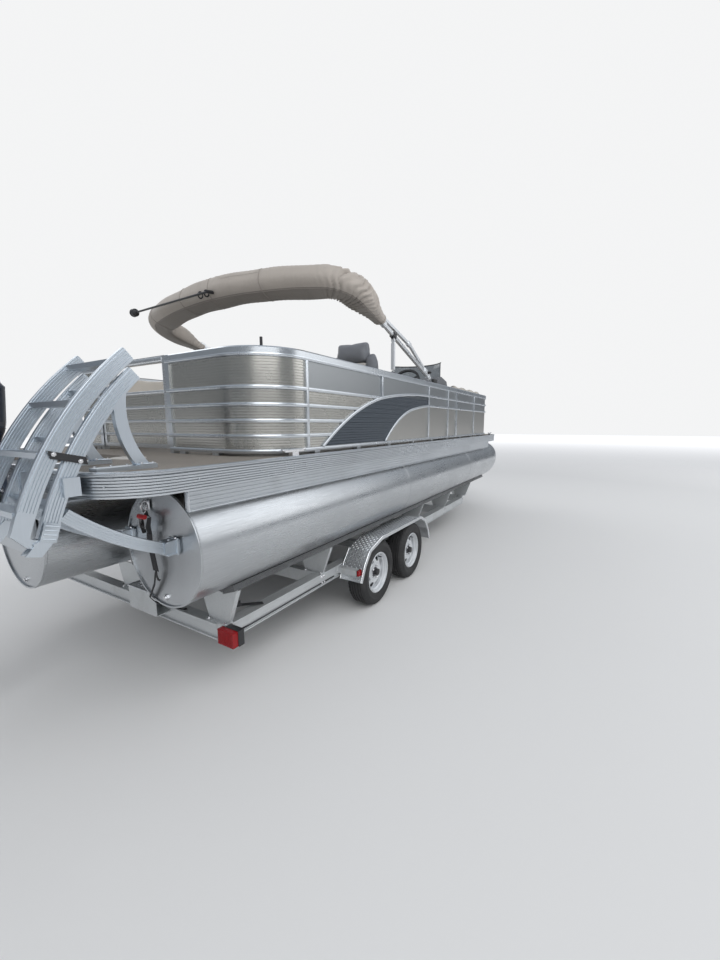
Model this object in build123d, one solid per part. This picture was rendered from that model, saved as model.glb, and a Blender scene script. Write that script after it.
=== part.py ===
from build123d import *
import math
import os

# Pontoon boat with three hull tubes, parked on its tandem-axle trailer.
# Millimetres. Stations (x) run forward from the deck's aft edge, y to port, z up from the ground.
# Every piece is shifted at the end so that the origin is under the middle of the whole.

# Hull tubes
TUBE_R = 317.5
TUBE_Z = 994.0
TUBE_SIDE_Y = 962.0
TUBE_AFT = 418.0
TUBE_CENTRE_AFT = 140.0
TUBE_STRAIGHT_END = 6650.0
CAP_RIM = 8.0
KEEL_DEPTH = 12.0

# Deck
HALF_BEAM = 1295.0
DECK_LENGTH = 7200.0
DECK_TOP = 1445.0
DECK_THICK = 24.0
CORNER_AFT = 300.0
CORNER_BOW = 620.0
SKIRT_THICK = 22.0
SKIRT_BOTTOM = 1340.0
SKIRT_TOP = 1451.0
SKIRT_RIBS = 7
BEAD_H = 20.0
BEARER_BOTTOM = 1346.0
BEARER_COUNT = 15
WELL_END = 630.0
WELL_HALF = 340.0
WELL_CORNER = 150.0

# Side aprons between the skirt and the outer tubes
APRON_Y = 1190.0
APRON_THICK = 10.0
APRON_RIBS = 7

# Fence round the cockpit
FENCE_AFT = 940.0
FENCE_BOW = 6740.0
FENCE_HALF = 1220.0
FENCE_R_AFT = 380.0
FENCE_R_BOW = 610.0
FENCE_TOP = 2121.0
FENCE_DEPTH = 42.0
FOOT_H = 18.0
TOP_RAIL_H = 60.0
BOTTOM_RAIL_H = 26.0
MID_RAIL_H = 24.0
MID_RAIL_OUT = 14.0
SHEET_T = 3.0
MID_RAILS_Z = (1571.0, 1669.0, 1769.0, 1876.0)
FORE_RAILS_Z = (1958.0, 1846.0)
POST_W = 30.0
STERN_GATE = (-290.0, 600.0)
BOW_GATE = (-370.0, 370.0)
PORT_GATE = (3730.0, 4440.0)
GATE_GAP = 8.0
GATE_AXIS = (-4.0, 46.0)
HINGES_Z = (1620.0, 1960.0)

# Accent arch on each side: points in side view (x, z)
ARCH_OUTER = ((1506, 1489), (1850, 1693), (2399, 1875), (2950, 1937), (3550, 1958))
ARCH_INNER = ((2469, 1489), (2722, 1667), (3164, 1806), (3380, 1833), (3550, 1846))
ARCH_TRIM_W = 26.0

# Top (bimini) stowed on its raised struts; distances along the legs from their pivot
TOP_PIVOT = (3580.0, 2160.0)
TOP_PIVOT_Y = 1200.0
TOP_TILT = 17.7
TOP_CORNER_R = 260.0
TOP_STRAIGHT = 1600.0
TOP_REACH = 1990.0
TOP_TUBE = 30.0
BOOT_START = 1235.0
BOOT_W = 250.0
BOOT_H = 170.0
STRUT_ALONG = 976.0
STRUT_DROP = 42.0
STRUT_GAP = 30.0
# Light pole along the boot: clip end and lamp end as distance along the legs, y, height above them
POLE_CLIP = (2143.0, -60.0, -96.0)
POLE_LAMP = (2050.0, 1180.0, -30.0)

# Boarding ladder: side-view arcs (start, middle, end) of the pieces' centre lines
LADDER_Y = (-1080.0, -680.0)
STRINGER_W = 60.0
STRINGER_T = 28.0
FLIP_ARC = ((-206, 1232), (-30, 1625), (247, 1954))
FIXED_ARC = ((-123, 1207), (50, 1600), (267, 1874))
BRACE_ARC = ((196, 1785), (196, 1640), (285, 1447))
STRUT_ARC = ((-60, 1290), (127, 1150), (352, 1036))
LADDER_PIVOT = (-164.0, 1196.0)

# Outboard motor
MOTOR_TILT = (60.0, 1372.0)
MOTOR_STEER_X = -45.0
PROP_Z = 510.0

# Cockpit: lounges as x from, x to, inner y, side of the boat
LOUNGES = (
    (4750.0, 6500.0, 600.0, -1),
    (4750.0, 6500.0, 600.0, 1),
    (1010.0, 2400.0, 600.0, -1),
    (1010.0, 2400.0, 650.0, 1),
)
SEAT_BASE_H = 300.0
SEAT_TOP = 430.0
BACK_ABOVE = 70.0
CHAIRS = ((2950.0, -750.0), (2950.0, 750.0))
CONSOLE = (3750.0, 4450.0, -1150.0, -450.0)
WHEEL_HUB = (3800.0, -800.0, 2150.0)
WHEEL_AXIS = (-0.87, 0.0, 0.5)
WHEEL_RIM_R = 180.0
STERN_LIGHT = (1090.0, -1060.0)

# Trailer fender in side view, aft end first: (x, z)
FENDER_LINE = (
    (1925, 324), (1990, 455), (2080, 560), (2300, 622), (3210, 622), (3340, 560), (3420, 455), (3472, 324)
)
ARMS_X = ((1900.0, 1954.0), (3450.0, 3504.0))

# Trailer
RAIL_Y = 1020.0
RAIL_W = 60.0
RAIL_BOTTOM = 345.0
RAIL_H = 100.0
REAR_BEAM_X = 745.0
CROSS_BEAMS_X = (745.0, 1700.0, 3650.0, 4700.0, 5750.0, 6700.0)
BUNK_FROM = 725.0
BUNK_TO = 6560.0
BUNK_W = 110.0
BUNK_T = 38.0
BUNK_LEAN = 20.0
BUNK_GAP = 0.3
TONGUE_BEND_X = 5600.0
TONGUE_JOIN_X = 7700.0
TONGUE_END_X = 8850.0
BALL_X = 8990.0
BALL_Z = 440.0
BALL_R = 25.4
WHEEL_X = (2280.0, 3026.0)
WHEEL_Y = 1180.0
TYRE_R = 298.0
TYRE_W = 184.0
RIM_R = 186.0
HUB_R = 42.0
SPINDLE_R = 19.0
JACK_X = 8330.0
JACK_Y = 120.0

# Middle of the whole, from the motor's cowl to the coupler
AFT_END = -455.0
FORE_END = 9032.0
MIDDLE_X = (AFT_END + FORE_END) / 2


def block(x0, x1, y0, y1, z0, z1):
    """Box between two corners."""
    size = Box(x1 - x0, y1 - y0, z1 - z0)
    return size.moved(Location(((x0 + x1) / 2, (y0 + y1) / 2, (z0 + z1) / 2)))


def rod(p, q, r):
    """Round bar from point p to point q."""
    p, q = Vector(*p), Vector(*q)
    return extrude(Plane(p, z_dir=q - p) * Circle(r), (q - p).length)


def square_bar(p, q, w, h):
    """Rectangular bar from p to q in a plane along x: w is its width across, h its depth."""
    p, q = Vector(*p), Vector(*q)
    along = (q - p).normalized()
    across = Vector(0, 1, 0)
    return extrude(Plane(p, x_dir=across, z_dir=along) * Rectangle(w, h), (q - p).length)


def mirrored(shape):
    """The same piece on the other side of the centre line."""
    return mirror(shape, about=Plane.XZ)


def both(shape):
    """A piece and its mirror image."""
    return [shape, mirrored(shape)]


def side_plate(outline, y0, y1):
    """Side-view face (drawn as x, z) made a plate from y0 to y1."""
    plane = Plane((0, y1, 0), x_dir=(1, 0, 0), z_dir=(0, -1, 0))
    return extrude(plane * outline, y1 - y0)


def arc_strip(arc, width):
    """Face of constant width along a three-point arc, with square ends."""
    path = ThreePointArc(*arc)
    centre, r = path.arc_center, path.radius

    def at(point, radius):
        """Point moved along its radius."""
        return centre + (Vector(*point) - centre).normalized() * radius

    outer = ThreePointArc(*[at(p, r + width / 2) for p in arc])
    inner = ThreePointArc(*[at(p, r - width / 2) for p in reversed(arc)])
    return make_face(Wire([outer, Line(outer @ 1, inner @ 0), inner, Line(inner @ 1, outer @ 0)]))


def arc_bar(arc, width, y, thick):
    """Curved flat bar in side view, centred on y."""
    return side_plate(arc_strip(arc, width), y - thick / 2, y + thick / 2)


def arc_point(arc, t):
    """Point at share t along a three-point arc in side view."""
    point = ThreePointArc(*arc) @ t
    return point.X, point.Y


def rounded_plan(x0, x1, half, r_aft, r_bow):
    """Plan outline with two rounded aft corners and two rounded bow corners."""
    plan = Pos((x0 + x1) / 2, 0) * Rectangle(x1 - x0, 2 * half)
    corners = plan.vertices().sort_by(Axis.X)
    plan = fillet(corners[:2], r_aft)
    bow = plan.vertices().sort_by(Axis.X)[-2:]
    return fillet(bow, r_bow)


def deck_plan(inset):
    """Deck outline, moved inwards by inset."""
    return rounded_plan(inset, DECK_LENGTH - inset, HALF_BEAM - inset, CORNER_AFT - inset, CORNER_BOW - inset)


def fence_plan(inset):
    """Fence outline, moved inwards by inset."""
    return rounded_plan(
        FENCE_AFT + inset, FENCE_BOW - inset, FENCE_HALF - inset, FENCE_R_AFT - inset, FENCE_R_BOW - inset
    )


def ring(plan, inset0, inset1, z0, z1):
    """Wall that follows a plan between two insets and two heights."""
    face = plan(inset0) - plan(inset1)
    return extrude(Pos(0, 0, z0) * face, z1 - z0)


def well_plan(grow):
    """Motor well cut in the deck's aft edge, open aft."""
    half = WELL_HALF + grow
    end = WELL_END + grow
    well = Pos((end - 300) / 2, 0) * Rectangle(end + 300, 2 * half)
    fore = well.vertices().sort_by(Axis.X)[-2:]
    return fillet(fore, WELL_CORNER + grow)


def hull_tube(y, aft):
    """Hull tube with a flat aft cap and rim, a raised nose cone and a keel strip."""
    sections = [
        (TUBE_STRAIGHT_END, TUBE_R, 0.0),
        (7000.0, 300.0, 12.0),
        (7300.0, 215.0, 60.0),
        (7500.0, 90.0, 125.0),
    ]
    tube = Plane((aft, y, TUBE_Z), x_dir=(0, 1, 0), z_dir=(1, 0, 0)) * Circle(TUBE_R)
    body = extrude(tube, TUBE_STRAIGHT_END - aft)
    rings = []
    for x, r, rise in sections:
        rings.append(Plane((x, y, TUBE_Z + rise), x_dir=(0, 1, 0), z_dir=(1, 0, 0)) * Circle(r))
    nose = loft(rings)
    keel = block(aft + 60, TUBE_STRAIGHT_END, y - 14, y + 14, TUBE_Z - TUBE_R - KEEL_DEPTH, TUBE_Z - TUBE_R + 8)
    return body + nose + cap_rim(y, aft) + keel


def cap_rim(y, aft):
    """Raised rim round a tube's flat aft cap."""
    face = Plane((aft - CAP_RIM, y, TUBE_Z), x_dir=(0, 1, 0), z_dir=(1, 0, 0)) * (
        Circle(TUBE_R) - Circle(TUBE_R - 9)
    )
    return extrude(face, CAP_RIM)


def hull_space(y, start=0.0):
    """Space of a hull tube from a station on, to trim the pieces that stand on it."""
    face = Plane((start, y, TUBE_Z), x_dir=(0, 1, 0), z_dir=(1, 0, 0)) * Circle(TUBE_R)
    return extrude(face, TUBE_STRAIGHT_END)


def deck_riser(y, aft):
    """Pair of full-length riser legs on a tube, with a top flange under the bearers."""
    legs = []
    for side in (-1, 1):
        y0 = y + side * 90
        leg = block(aft, TUBE_STRAIGHT_END, y0 - 4, y0 + 4, TUBE_Z + 250, BEARER_BOTTOM - 6)
        flange = block(aft, TUBE_STRAIGHT_END, y0 - 24, y0 + 24, BEARER_BOTTOM - 6, BEARER_BOTTOM)
        legs.append((leg + flange) - hull_space(y))
    return legs


def apron(side):
    """Ribbed apron plate from under the deck down to the outer tube's flank."""
    top = BEARER_BOTTOM - 2
    low = TUBE_Z + math.sqrt(TUBE_R**2 - (APRON_Y - TUBE_SIDE_Y) ** 2) - 20
    pitch = (top - low) / APRON_RIBS
    points = [(APRON_THICK, low)]
    for i in range(APRON_RIBS):
        z = low + i * pitch
        points += [(0, z), (0, z + pitch * 0.72), (3, z + pitch * 0.78), (3, z + pitch * 0.94)]
    points += [(0, top), (APRON_THICK, top)]
    profile = make_face(Polyline(*points, close=True))
    plane = Plane((TUBE_AFT, -APRON_Y, 0), x_dir=(0, 1, 0), z_dir=(1, 0, 0))
    plate = extrude(plane * profile, TUBE_STRAIGHT_END - TUBE_AFT)
    plate -= hull_space(-TUBE_SIDE_Y)
    return plate if side < 0 else mirrored(plate)


def bearers():
    """Cross bearers under the deck: channels that lie on the risers."""
    pieces = []
    pitch = (DECK_LENGTH - 500) / (BEARER_COUNT - 1)
    half = HALF_BEAM - SKIRT_THICK - 30
    for i in range(BEARER_COUNT):
        x = 330 + i * pitch
        reach = half if x < DECK_LENGTH - CORNER_BOW else half - 240
        web = block(x - 3, x + 3, -reach, reach, BEARER_BOTTOM, DECK_TOP - DECK_THICK)
        web += block(x - 30, x + 30, -reach, reach, BEARER_BOTTOM, BEARER_BOTTOM + 5)
        web += block(x - 30, x + 30, -reach, reach, DECK_TOP - DECK_THICK - 5, DECK_TOP - DECK_THICK)
        if x - 30 < WELL_END + 20:
            web -= block(x - 40, x + 40, -WELL_HALF - 20, WELL_HALF + 20, 1200, 1500)
        pieces += web.solids()
    return pieces


def arch_region(points):
    """Side-view area forward of and below an accent arch."""
    p = points
    top = [ThreePointArc(p[0], p[1], p[2]), ThreePointArc(p[2], p[3], p[4])]
    far = FENCE_BOW + 200
    lines = [
        Line(p[4], (far, p[4][1])),
        Line((far, p[4][1]), (far, 1400)),
        Line((far, 1400), (p[0][0], 1400)),
        Line((p[0][0], 1400), p[0]),
    ]
    return make_face(Wire(top + lines))


def arch_band(points, width):
    """Curved trim bar of an accent arch in side view."""
    p = points
    return [arc_strip(arc, width) for arc in ((p[0], p[1], p[2]), (p[2], p[3], p[4]))]


def gate_gaps():
    """Space of the three gates in the fence."""
    gaps = block(FENCE_AFT - 60, FENCE_AFT + 120, STERN_GATE[0], STERN_GATE[1], 1400, 2300)
    gaps += block(FENCE_BOW - 120, FENCE_BOW + 60, BOW_GATE[0], BOW_GATE[1], 1400, 2300)
    gaps += block(PORT_GATE[0], PORT_GATE[1], FENCE_HALF - 120, FENCE_HALF + 60, 1400, 2300)
    return gaps


def fence_sections(shape):
    """Split a fence solid into starboard and port parts."""
    right = [s for s in shape.solids() if s.center().Y < 0]
    left = [s for s in shape.solids() if s.center().Y >= 0]
    return right, left


def fence_feet():
    """Spacers between the deck and the fence's bottom rail."""
    feet = []
    for i in range(9):
        x = FENCE_AFT + 500 + i * 560
        for side in (-1, 1):
            if side > 0 and PORT_GATE[0] - 40 < x < PORT_GATE[1] + 40:
                continue
            y = side * (FENCE_HALF - FENCE_DEPTH / 2)
            feet.append(block(x - 30, x + 30, y - 16, y + 16, DECK_TOP, DECK_TOP + FOOT_H))
    for y in (-760, -420, 700):
        x = FENCE_AFT + FENCE_DEPTH / 2
        feet.append(block(x - 16, x + 16, y - 30, y + 30, DECK_TOP, DECK_TOP + FOOT_H))
    for y in (-480, 480):
        x = FENCE_BOW - FENCE_DEPTH / 2
        feet.append(block(x - 16, x + 16, y - 30, y + 30, DECK_TOP, DECK_TOP + FOOT_H))
    return feet


def fence_frame():
    """Rails and posts of the whole fence, before the gates are cut."""
    base = DECK_TOP + FOOT_H
    frame = ring(fence_plan, 0, FENCE_DEPTH, FENCE_TOP - TOP_RAIL_H, FENCE_TOP)
    frame = chamfer(frame.faces().sort_by(Axis.Z)[-1].edges(), 9)
    frame += ring(fence_plan, 0, FENCE_DEPTH, base, base + BOTTOM_RAIL_H)
    far = FENCE_BOW + 300
    ahead = side_plate(arch_region(ARCH_OUTER), -1400, 1400)
    for z in MID_RAILS_Z:
        rail = ring(fence_plan, 0, MID_RAIL_OUT, z - MID_RAIL_H / 2, z + MID_RAIL_H / 2)
        frame += rail - ahead
    for z in FORE_RAILS_Z:
        rail = ring(fence_plan, 0, MID_RAIL_OUT, z - MID_RAIL_H / 2, z + MID_RAIL_H / 2)
        frame += rail & block(ARCH_OUTER[4][0], far, -1400, 1400, 1400, 2200)
    for points in (ARCH_OUTER, ARCH_INNER):
        for bar in arch_band(points, ARCH_TRIM_W):
            trim = side_plate(bar, -FENCE_HALF, -FENCE_HALF + MID_RAIL_OUT)
            trim &= block(0, far, -1400, 1400, base, 2200)
            frame += trim
            frame += mirrored(trim)
    # Posts: station, width, lowest point; both sides
    posts = [
        (1337, POST_W, base),
        (2410, POST_W, 1880),
        (3550, POST_W, base),
        (4230, POST_W, base),
        (4590, 60.0, base),
        (5480, POST_W, base),
    ]
    for x, w, low in posts:
        for side in (-1, 1):
            if side > 0 and PORT_GATE[0] - 60 < x < PORT_GATE[1] + 60:
                continue
            y = side * FENCE_HALF
            y_out = y - side * MID_RAIL_OUT
            y_in = y - side * FENCE_DEPTH
            y_mid = y_out - side * SHEET_T
            frame += block(x - w / 2, x + w / 2, min(y, y_out), max(y, y_out), low, FENCE_TOP - 30)
            frame += block(x - w / 2, x + w / 2, min(y_mid, y_in), max(y_mid, y_in), base, FENCE_TOP - 30)
    # End posts beside the gates
    for y in STERN_GATE:
        y0, y1 = (y - 40, y) if y < 0 else (y, y + 40)
        frame += block(FENCE_AFT, FENCE_AFT + FENCE_DEPTH, y0, y1, DECK_TOP, FENCE_TOP - 4)
    for y in BOW_GATE:
        y0, y1 = (y - 40, y) if y < 0 else (y, y + 40)
        frame += block(FENCE_BOW - FENCE_DEPTH, FENCE_BOW, y0, y1, DECK_TOP, FENCE_TOP - 4)
    for x in PORT_GATE:
        x0, x1 = (x - 40, x) if x < 4000 else (x, x + 40)
        frame += block(x0, x1, FENCE_HALF - FENCE_DEPTH, FENCE_HALF, DECK_TOP, FENCE_TOP - 4)
    return frame - gate_gaps()


def fence_sheet():
    """Thin panel sheet of the whole fence, between its posts."""
    low = DECK_TOP + FOOT_H + BOTTOM_RAIL_H
    sheet = ring(fence_plan, MID_RAIL_OUT, MID_RAIL_OUT + SHEET_T, low, FENCE_TOP - TOP_RAIL_H)
    clear = block(FENCE_AFT - 60, FENCE_AFT + 120, STERN_GATE[0] - 40, STERN_GATE[1] + 40, 1400, 2300)
    clear += block(FENCE_BOW - 120, FENCE_BOW + 60, BOW_GATE[0] - 40, BOW_GATE[1] + 40, 1400, 2300)
    clear += block(PORT_GATE[0] - 40, PORT_GATE[1] + 40, FENCE_HALF - 120, FENCE_HALF + 60, 1400, 2300)
    return sheet - clear


def accent_panels():
    """Dark ribbed arch panels that lie on the sheet between the two trims."""
    outer = arch_region(ARCH_OUTER)
    inner = arch_region(ARCH_INNER)
    band = (outer - inner) & (Pos(2515, 1700) * Rectangle(2040, 417))
    plate = side_plate(band, -FENCE_HALF + 5, -FENCE_HALF + MID_RAIL_OUT)
    for points in (ARCH_OUTER, ARCH_INNER):
        for bar in arch_band(points, ARCH_TRIM_W):
            plate -= side_plate(bar, -FENCE_HALF, -FENCE_HALF + MID_RAIL_OUT)
    main = plate.solids().sort_by(SortBy.VOLUME)[-1]
    main -= block(3535, 3700, -1300, -1100, 1400, 2200)
    main -= block(2395, 2425, -1300, -1100, 1880, 2200)
    return main.solids().sort_by(SortBy.VOLUME)[-1]


def hinge_lugs():
    """Fixed half of a gate's two hinges, in the leaf's own axes."""
    x, y = GATE_AXIS
    lugs = []
    for z in HINGES_Z:
        lug = block(-30, x + 6, 36, y + 6, z - 30, z - 18) + block(-30, x + 6, 36, y + 6, z + 18, z + 30)
        lugs.append(lug + rod((x, y, z - 30), (x, y, z + 30), 5))
    return lugs


def gate(width, low_open):
    """Gate leaf drawn from its hinge at the origin, along +x, outer face at y = 0."""
    z0 = DECK_TOP + 30
    z1 = FENCE_TOP
    t = 30.0
    leaf = block(0, width, 0, t, z1 - 45, z1) + block(0, width, 0, t, z0, z0 + 26)
    leaf += block(0, 30, 0, t, z0, z1) + block(width - 30, width, 0, t, z0, z1)
    for z in MID_RAILS_Z:
        leaf += block(0, width, 0, 14, z - MID_RAIL_H / 2, z + MID_RAIL_H / 2)
    top = MID_RAILS_Z[-1] if low_open else z1 - 20
    leaf += block(10, width - 10, 14, 17, z0 + 10, top)
    x, y = GATE_AXIS
    for z in HINGES_Z:
        knuckle = rod((x, y, z - 17), (x, y, z + 17), 9) + block(0, 40, t - 2, y + 4, z - 17, z + 17)
        leaf += knuckle - rod((x, y, z - 20), (x, y, z + 20), 5.3)
    return leaf + block(width - 44, width - 4, t - 2, t + 16, z1 - 130, z1 - 60)


def both_arms():
    """Arms from the trailer's rails out to the fenders' ends."""
    arms = Part()
    for x0, x1 in ARMS_X:
        for side in (-1, 1):
            y0, y1 = sorted((side * RAIL_Y, side * (HALF_BEAM - 45)))
            arms += block(x0, x1, y0, y1, RAIL_BOTTOM + 40, RAIL_BOTTOM + 90)
    return arms


def fender():
    """Starboard tandem fender: bent tread plate, rolled outer edge and end plates."""
    path = FilletPolyline(*FENDER_LINE, radius=60)
    y_out, y_in = -HALF_BEAM + 8, -1066.0
    plate = side_plate(trace(path, line_width=5), y_out, y_in)
    lip = side_plate(trace(path, line_width=26), y_out, y_out + 12)
    return plate + lip - both_arms()


def both_fenders():
    """Space of the two fenders."""
    one = fender()
    return one + mirrored(one)


def tyre(x, y):
    """Trailer tyre, solid of revolution about its axle."""
    w = TYRE_W / 2
    # Half section: distance from the middle plane, radius
    points = [
        (-w * 0.80, RIM_R), (-w, RIM_R + 45), (-w * 0.98, TYRE_R - 42), (-w * 0.78, TYRE_R - 7),
        (-w * 0.5, TYRE_R), (w * 0.5, TYRE_R), (w * 0.78, TYRE_R - 7), (w * 0.98, TYRE_R - 42),
        (w, RIM_R + 45), (w * 0.80, RIM_R),
    ]
    face = make_face(Polyline(*points, close=True))
    solid = revolve(face, axis=Axis.X)
    turn = Plane((x, y, TYRE_R), x_dir=(0, 1, 0), z_dir=(0, 0, 1))
    return solid.moved(turn.location)


def rim(x, y):
    """Spoked steel wheel with a dished disc, window holes and a hub cap, in its tyre."""
    side = -1 if y < 0 else 1
    w = TYRE_W / 2 * 0.80
    # Half section of the rim barrel and disc: offset outboard, radius
    barrel = [
        (-w, RIM_R - 0.3), (-w, RIM_R - 12), (-w * 0.5, RIM_R - 30), (w * 0.5, RIM_R - 30), (w * 0.9, RIM_R - 16),
        (w, RIM_R - 8), (w, RIM_R - 0.3),
    ]
    disc = [
        (18, RIM_R - 28), (26, 128), (40, 98), (34, 74), (34, HUB_R), (26, HUB_R), (26, 76), (32, 96),
        (18, 126), (10, RIM_R - 28),
    ]
    wheel = revolve(make_face(Polyline(*barrel, close=True)), axis=Axis.X)
    wheel += revolve(make_face(Polyline(*disc, close=True)), axis=Axis.X)
    window = Plane((0, 0, 0), x_dir=(0, 1, 0), z_dir=(1, 0, 0)) * (Pos(124, 0) * RectangleRounded(30, 40, 10))
    cut = extrude(window, 80)
    for i in range(8):
        wheel -= cut.rotate(Axis.X, i * 45)
    hub = Plane((-20, 0, 0), x_dir=(0, 1, 0), z_dir=(1, 0, 0)) * Circle(HUB_R)
    cap = Plane((26, 0, 0), x_dir=(0, 1, 0), z_dir=(1, 0, 0)) * Circle(30)
    wheel += extrude(hub, 60) + extrude(cap, 42)
    spindle = Plane((-22, 0, 0), x_dir=(0, 1, 0), z_dir=(1, 0, 0)) * Circle(SPINDLE_R + 0.3)
    wheel -= extrude(spindle, 28)
    turn = Plane((x, y, TYRE_R), x_dir=(0, side, 0), z_dir=(0, 0, 1))
    return wheel.moved(turn.location)


def trailer_frame():
    """Side rails bent in to the tongue, cross beams, fender arms and the rear box step."""
    top = RAIL_BOTTOM + RAIL_H
    join_y = 60.0
    start = REAR_BEAM_X - 30
    frame = block(TONGUE_BEND_X - 500, TONGUE_END_X, -40, 40, RAIL_BOTTOM, top)
    for side in (-1, 1):
        y = side * RAIL_Y
        frame += block(start, TONGUE_BEND_X, y - RAIL_W / 2, y + RAIL_W / 2, RAIL_BOTTOM, top)
        inward = Polyline(
            (TONGUE_BEND_X - 8, y - RAIL_W / 2), (TONGUE_BEND_X - 8, y + RAIL_W / 2),
            (TONGUE_JOIN_X, side * join_y + RAIL_W / 2), (TONGUE_JOIN_X, side * join_y - RAIL_W / 2), close=True,
        )
        frame += extrude(Pos(0, 0, RAIL_BOTTOM) * make_face(inward), RAIL_H)
    for x in CROSS_BEAMS_X:
        reach = RAIL_Y if x < TONGUE_BEND_X else RAIL_Y * (TONGUE_JOIN_X - x) / (TONGUE_JOIN_X - TONGUE_BEND_X) + 60
        frame += block(x - 30, x + 30, -reach, reach, RAIL_BOTTOM, top)
    frame += both_arms()
    # Rear box step: top plate with an oval hole, rear plate and bottom plate
    step = block(610, 715, -520, -215, 565 - 6, 565) + block(610, 616, -520, -215, 410, 565)
    step += block(610, 715, -520, -215, 410, 416) + block(709, 715, -520, -215, 410, 565)
    step -= extrude(Pos(655, -290, 500) * SlotOverall(60, 34, rotation=90), 100)
    return frame + step


def bunk_set():
    """Carpeted bunk boards: two under each tube, leaned to its round."""
    boards = []
    for y in (-TUBE_SIDE_Y, 0, TUBE_SIDE_Y):
        for side in (-1, 1):
            a = math.radians(BUNK_LEAN * side)
            r = TUBE_R + BUNK_GAP + BUNK_T / 2
            middle = (BUNK_FROM, y + r * math.sin(a), TUBE_Z - r * math.cos(a))
            plane = Plane(middle, x_dir=(0, math.cos(a), math.sin(a)), z_dir=(1, 0, 0))
            boards.append(extrude(plane * Rectangle(BUNK_W, BUNK_T), BUNK_TO - BUNK_FROM))
    return boards


def bunk_brackets():
    """V-shaped brackets that carry the bunk boards on the cross beams."""
    top = RAIL_BOTTOM + RAIL_H
    a = math.radians(BUNK_LEAN)
    r = TUBE_R + BUNK_GAP + BUNK_T
    half = BUNK_W / 2
    inner = (r * math.sin(a) - half * math.cos(a), TUBE_Z - r * math.cos(a) - half * math.sin(a))
    outer = (r * math.sin(a) + half * math.cos(a), TUBE_Z - r * math.cos(a) + half * math.sin(a))
    right = [(88, top), outer, inner]
    left = [(-u, v) for u, v in reversed(right)]
    face = make_face(Polyline(*right, *left, close=True))
    pieces = []
    for x in CROSS_BEAMS_X[:-1]:
        for y in (-TUBE_SIDE_Y, 0, TUBE_SIDE_Y):
            plane = Plane((x - 4, y, 0), x_dir=(0, 1, 0), z_dir=(1, 0, 0))
            foot = block(x - 28, x + 28, y - 88, y + 88, top, top + 6)
            pieces.append(extrude(plane * face, 8) + foot)
    return pieces


def axle(x):
    """Torsion axle: square beam under the rails, arms, spindles and drums."""
    beam = block(x - 130 - 38, x - 130 + 38, -RAIL_Y - 30, RAIL_Y + 30, RAIL_BOTTOM - 76, RAIL_BOTTOM)
    for side in (-1, 1):
        y0, y1 = sorted((side * (RAIL_Y + 30), side * (RAIL_Y + 55)))
        beam += block(x - 165, x + 30, y0, y1, TYRE_R - 32, TYRE_R + 32)
        tip = side * (WHEEL_Y + 4)
        beam += rod((x, side * (RAIL_Y + 40), TYRE_R), (x, tip, TYRE_R), SPINDLE_R)
        beam += rod((x, side * (RAIL_Y + 55), TYRE_R), (x, side * (RAIL_Y + 100), TYRE_R), 115)
    return beam


def coupler():
    """Ball coupler at the tongue's end: a socket for a 50.8 mm ball, with its latch."""
    top = RAIL_BOTTOM + RAIL_H
    body = block(TONGUE_END_X - 130, TONGUE_END_X, -48, 48, top, top + 6)
    body += block(TONGUE_END_X, BALL_X - 30, -34, 34, RAIL_BOTTOM + 40, BALL_Z + 42)
    body += block(TONGUE_END_X - 130, TONGUE_END_X + 40, -34, 34, top, BALL_Z + 42)
    head = Plane((BALL_X, 0, BALL_Z - 30), z_dir=(0, 0, 1)) * Circle(42)
    body += extrude(head, 72)
    bore = Plane((BALL_X, 0, BALL_Z - 60), z_dir=(0, 0, 1)) * Circle(BALL_R + 0.3)
    body -= extrude(bore, 84)
    return body + block(TONGUE_END_X - 60, TONGUE_END_X + 90, -9, 9, BALL_Z + 42, BALL_Z + 62)


def winch_stand():
    """Winch post with its brace, winch drum and bow stop on the tongue."""
    top = RAIL_BOTTOM + RAIL_H
    stand = block(7960, 8036, -38, 38, top, 1180)
    stand += square_bar((7700, 0, top + 2), (7975, 0, 800), 50, 50) & block(7400, 8100, -60, 60, top, 1200)
    stand += block(7570, 7970, -22, 22, 1085, 1130)
    stand += square_bar((7590, 0, 1088), (7970, 0, 960), 30, 30)
    stand += block(7520, 7580, -78, -70, 1085, 1130) + block(7520, 7580, 70, 78, 1085, 1130)
    stand += block(7570, 7590, -78, 78, 1085, 1130)
    stand += rod((7542, -78, 1108), (7542, 78, 1108), 8) + rod((7542, -62, 1108), (7542, 62, 1108), 34)
    stand += block(7925, 8065, -60, -52, 1180, 1290) + block(7925, 8065, 52, 60, 1180, 1290)
    stand += block(7925, 8065, -60, 60, 1172, 1180)
    stand += rod((7990, -62, 1240), (7990, 62, 1240), 36)
    stand += rod((7990, 60, 1240), (7990, 100, 1240), 9)
    stand += block(7980, 8000, 92, 104, 1080, 1250) + rod((7990, 104, 1090), (7990, 190, 1090), 13)
    return stand


def jack_mount():
    """Clamp plate and pivot stub on the tongue that carry the swivel jack."""
    mount = block(JACK_X - 70, JACK_X + 70, 40, 50, RAIL_BOTTOM, RAIL_BOTTOM + RAIL_H)
    mount += rod((JACK_X, 50, RAIL_BOTTOM + 50), (JACK_X, 78, RAIL_BOTTOM + 50), 26)
    return mount


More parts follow.
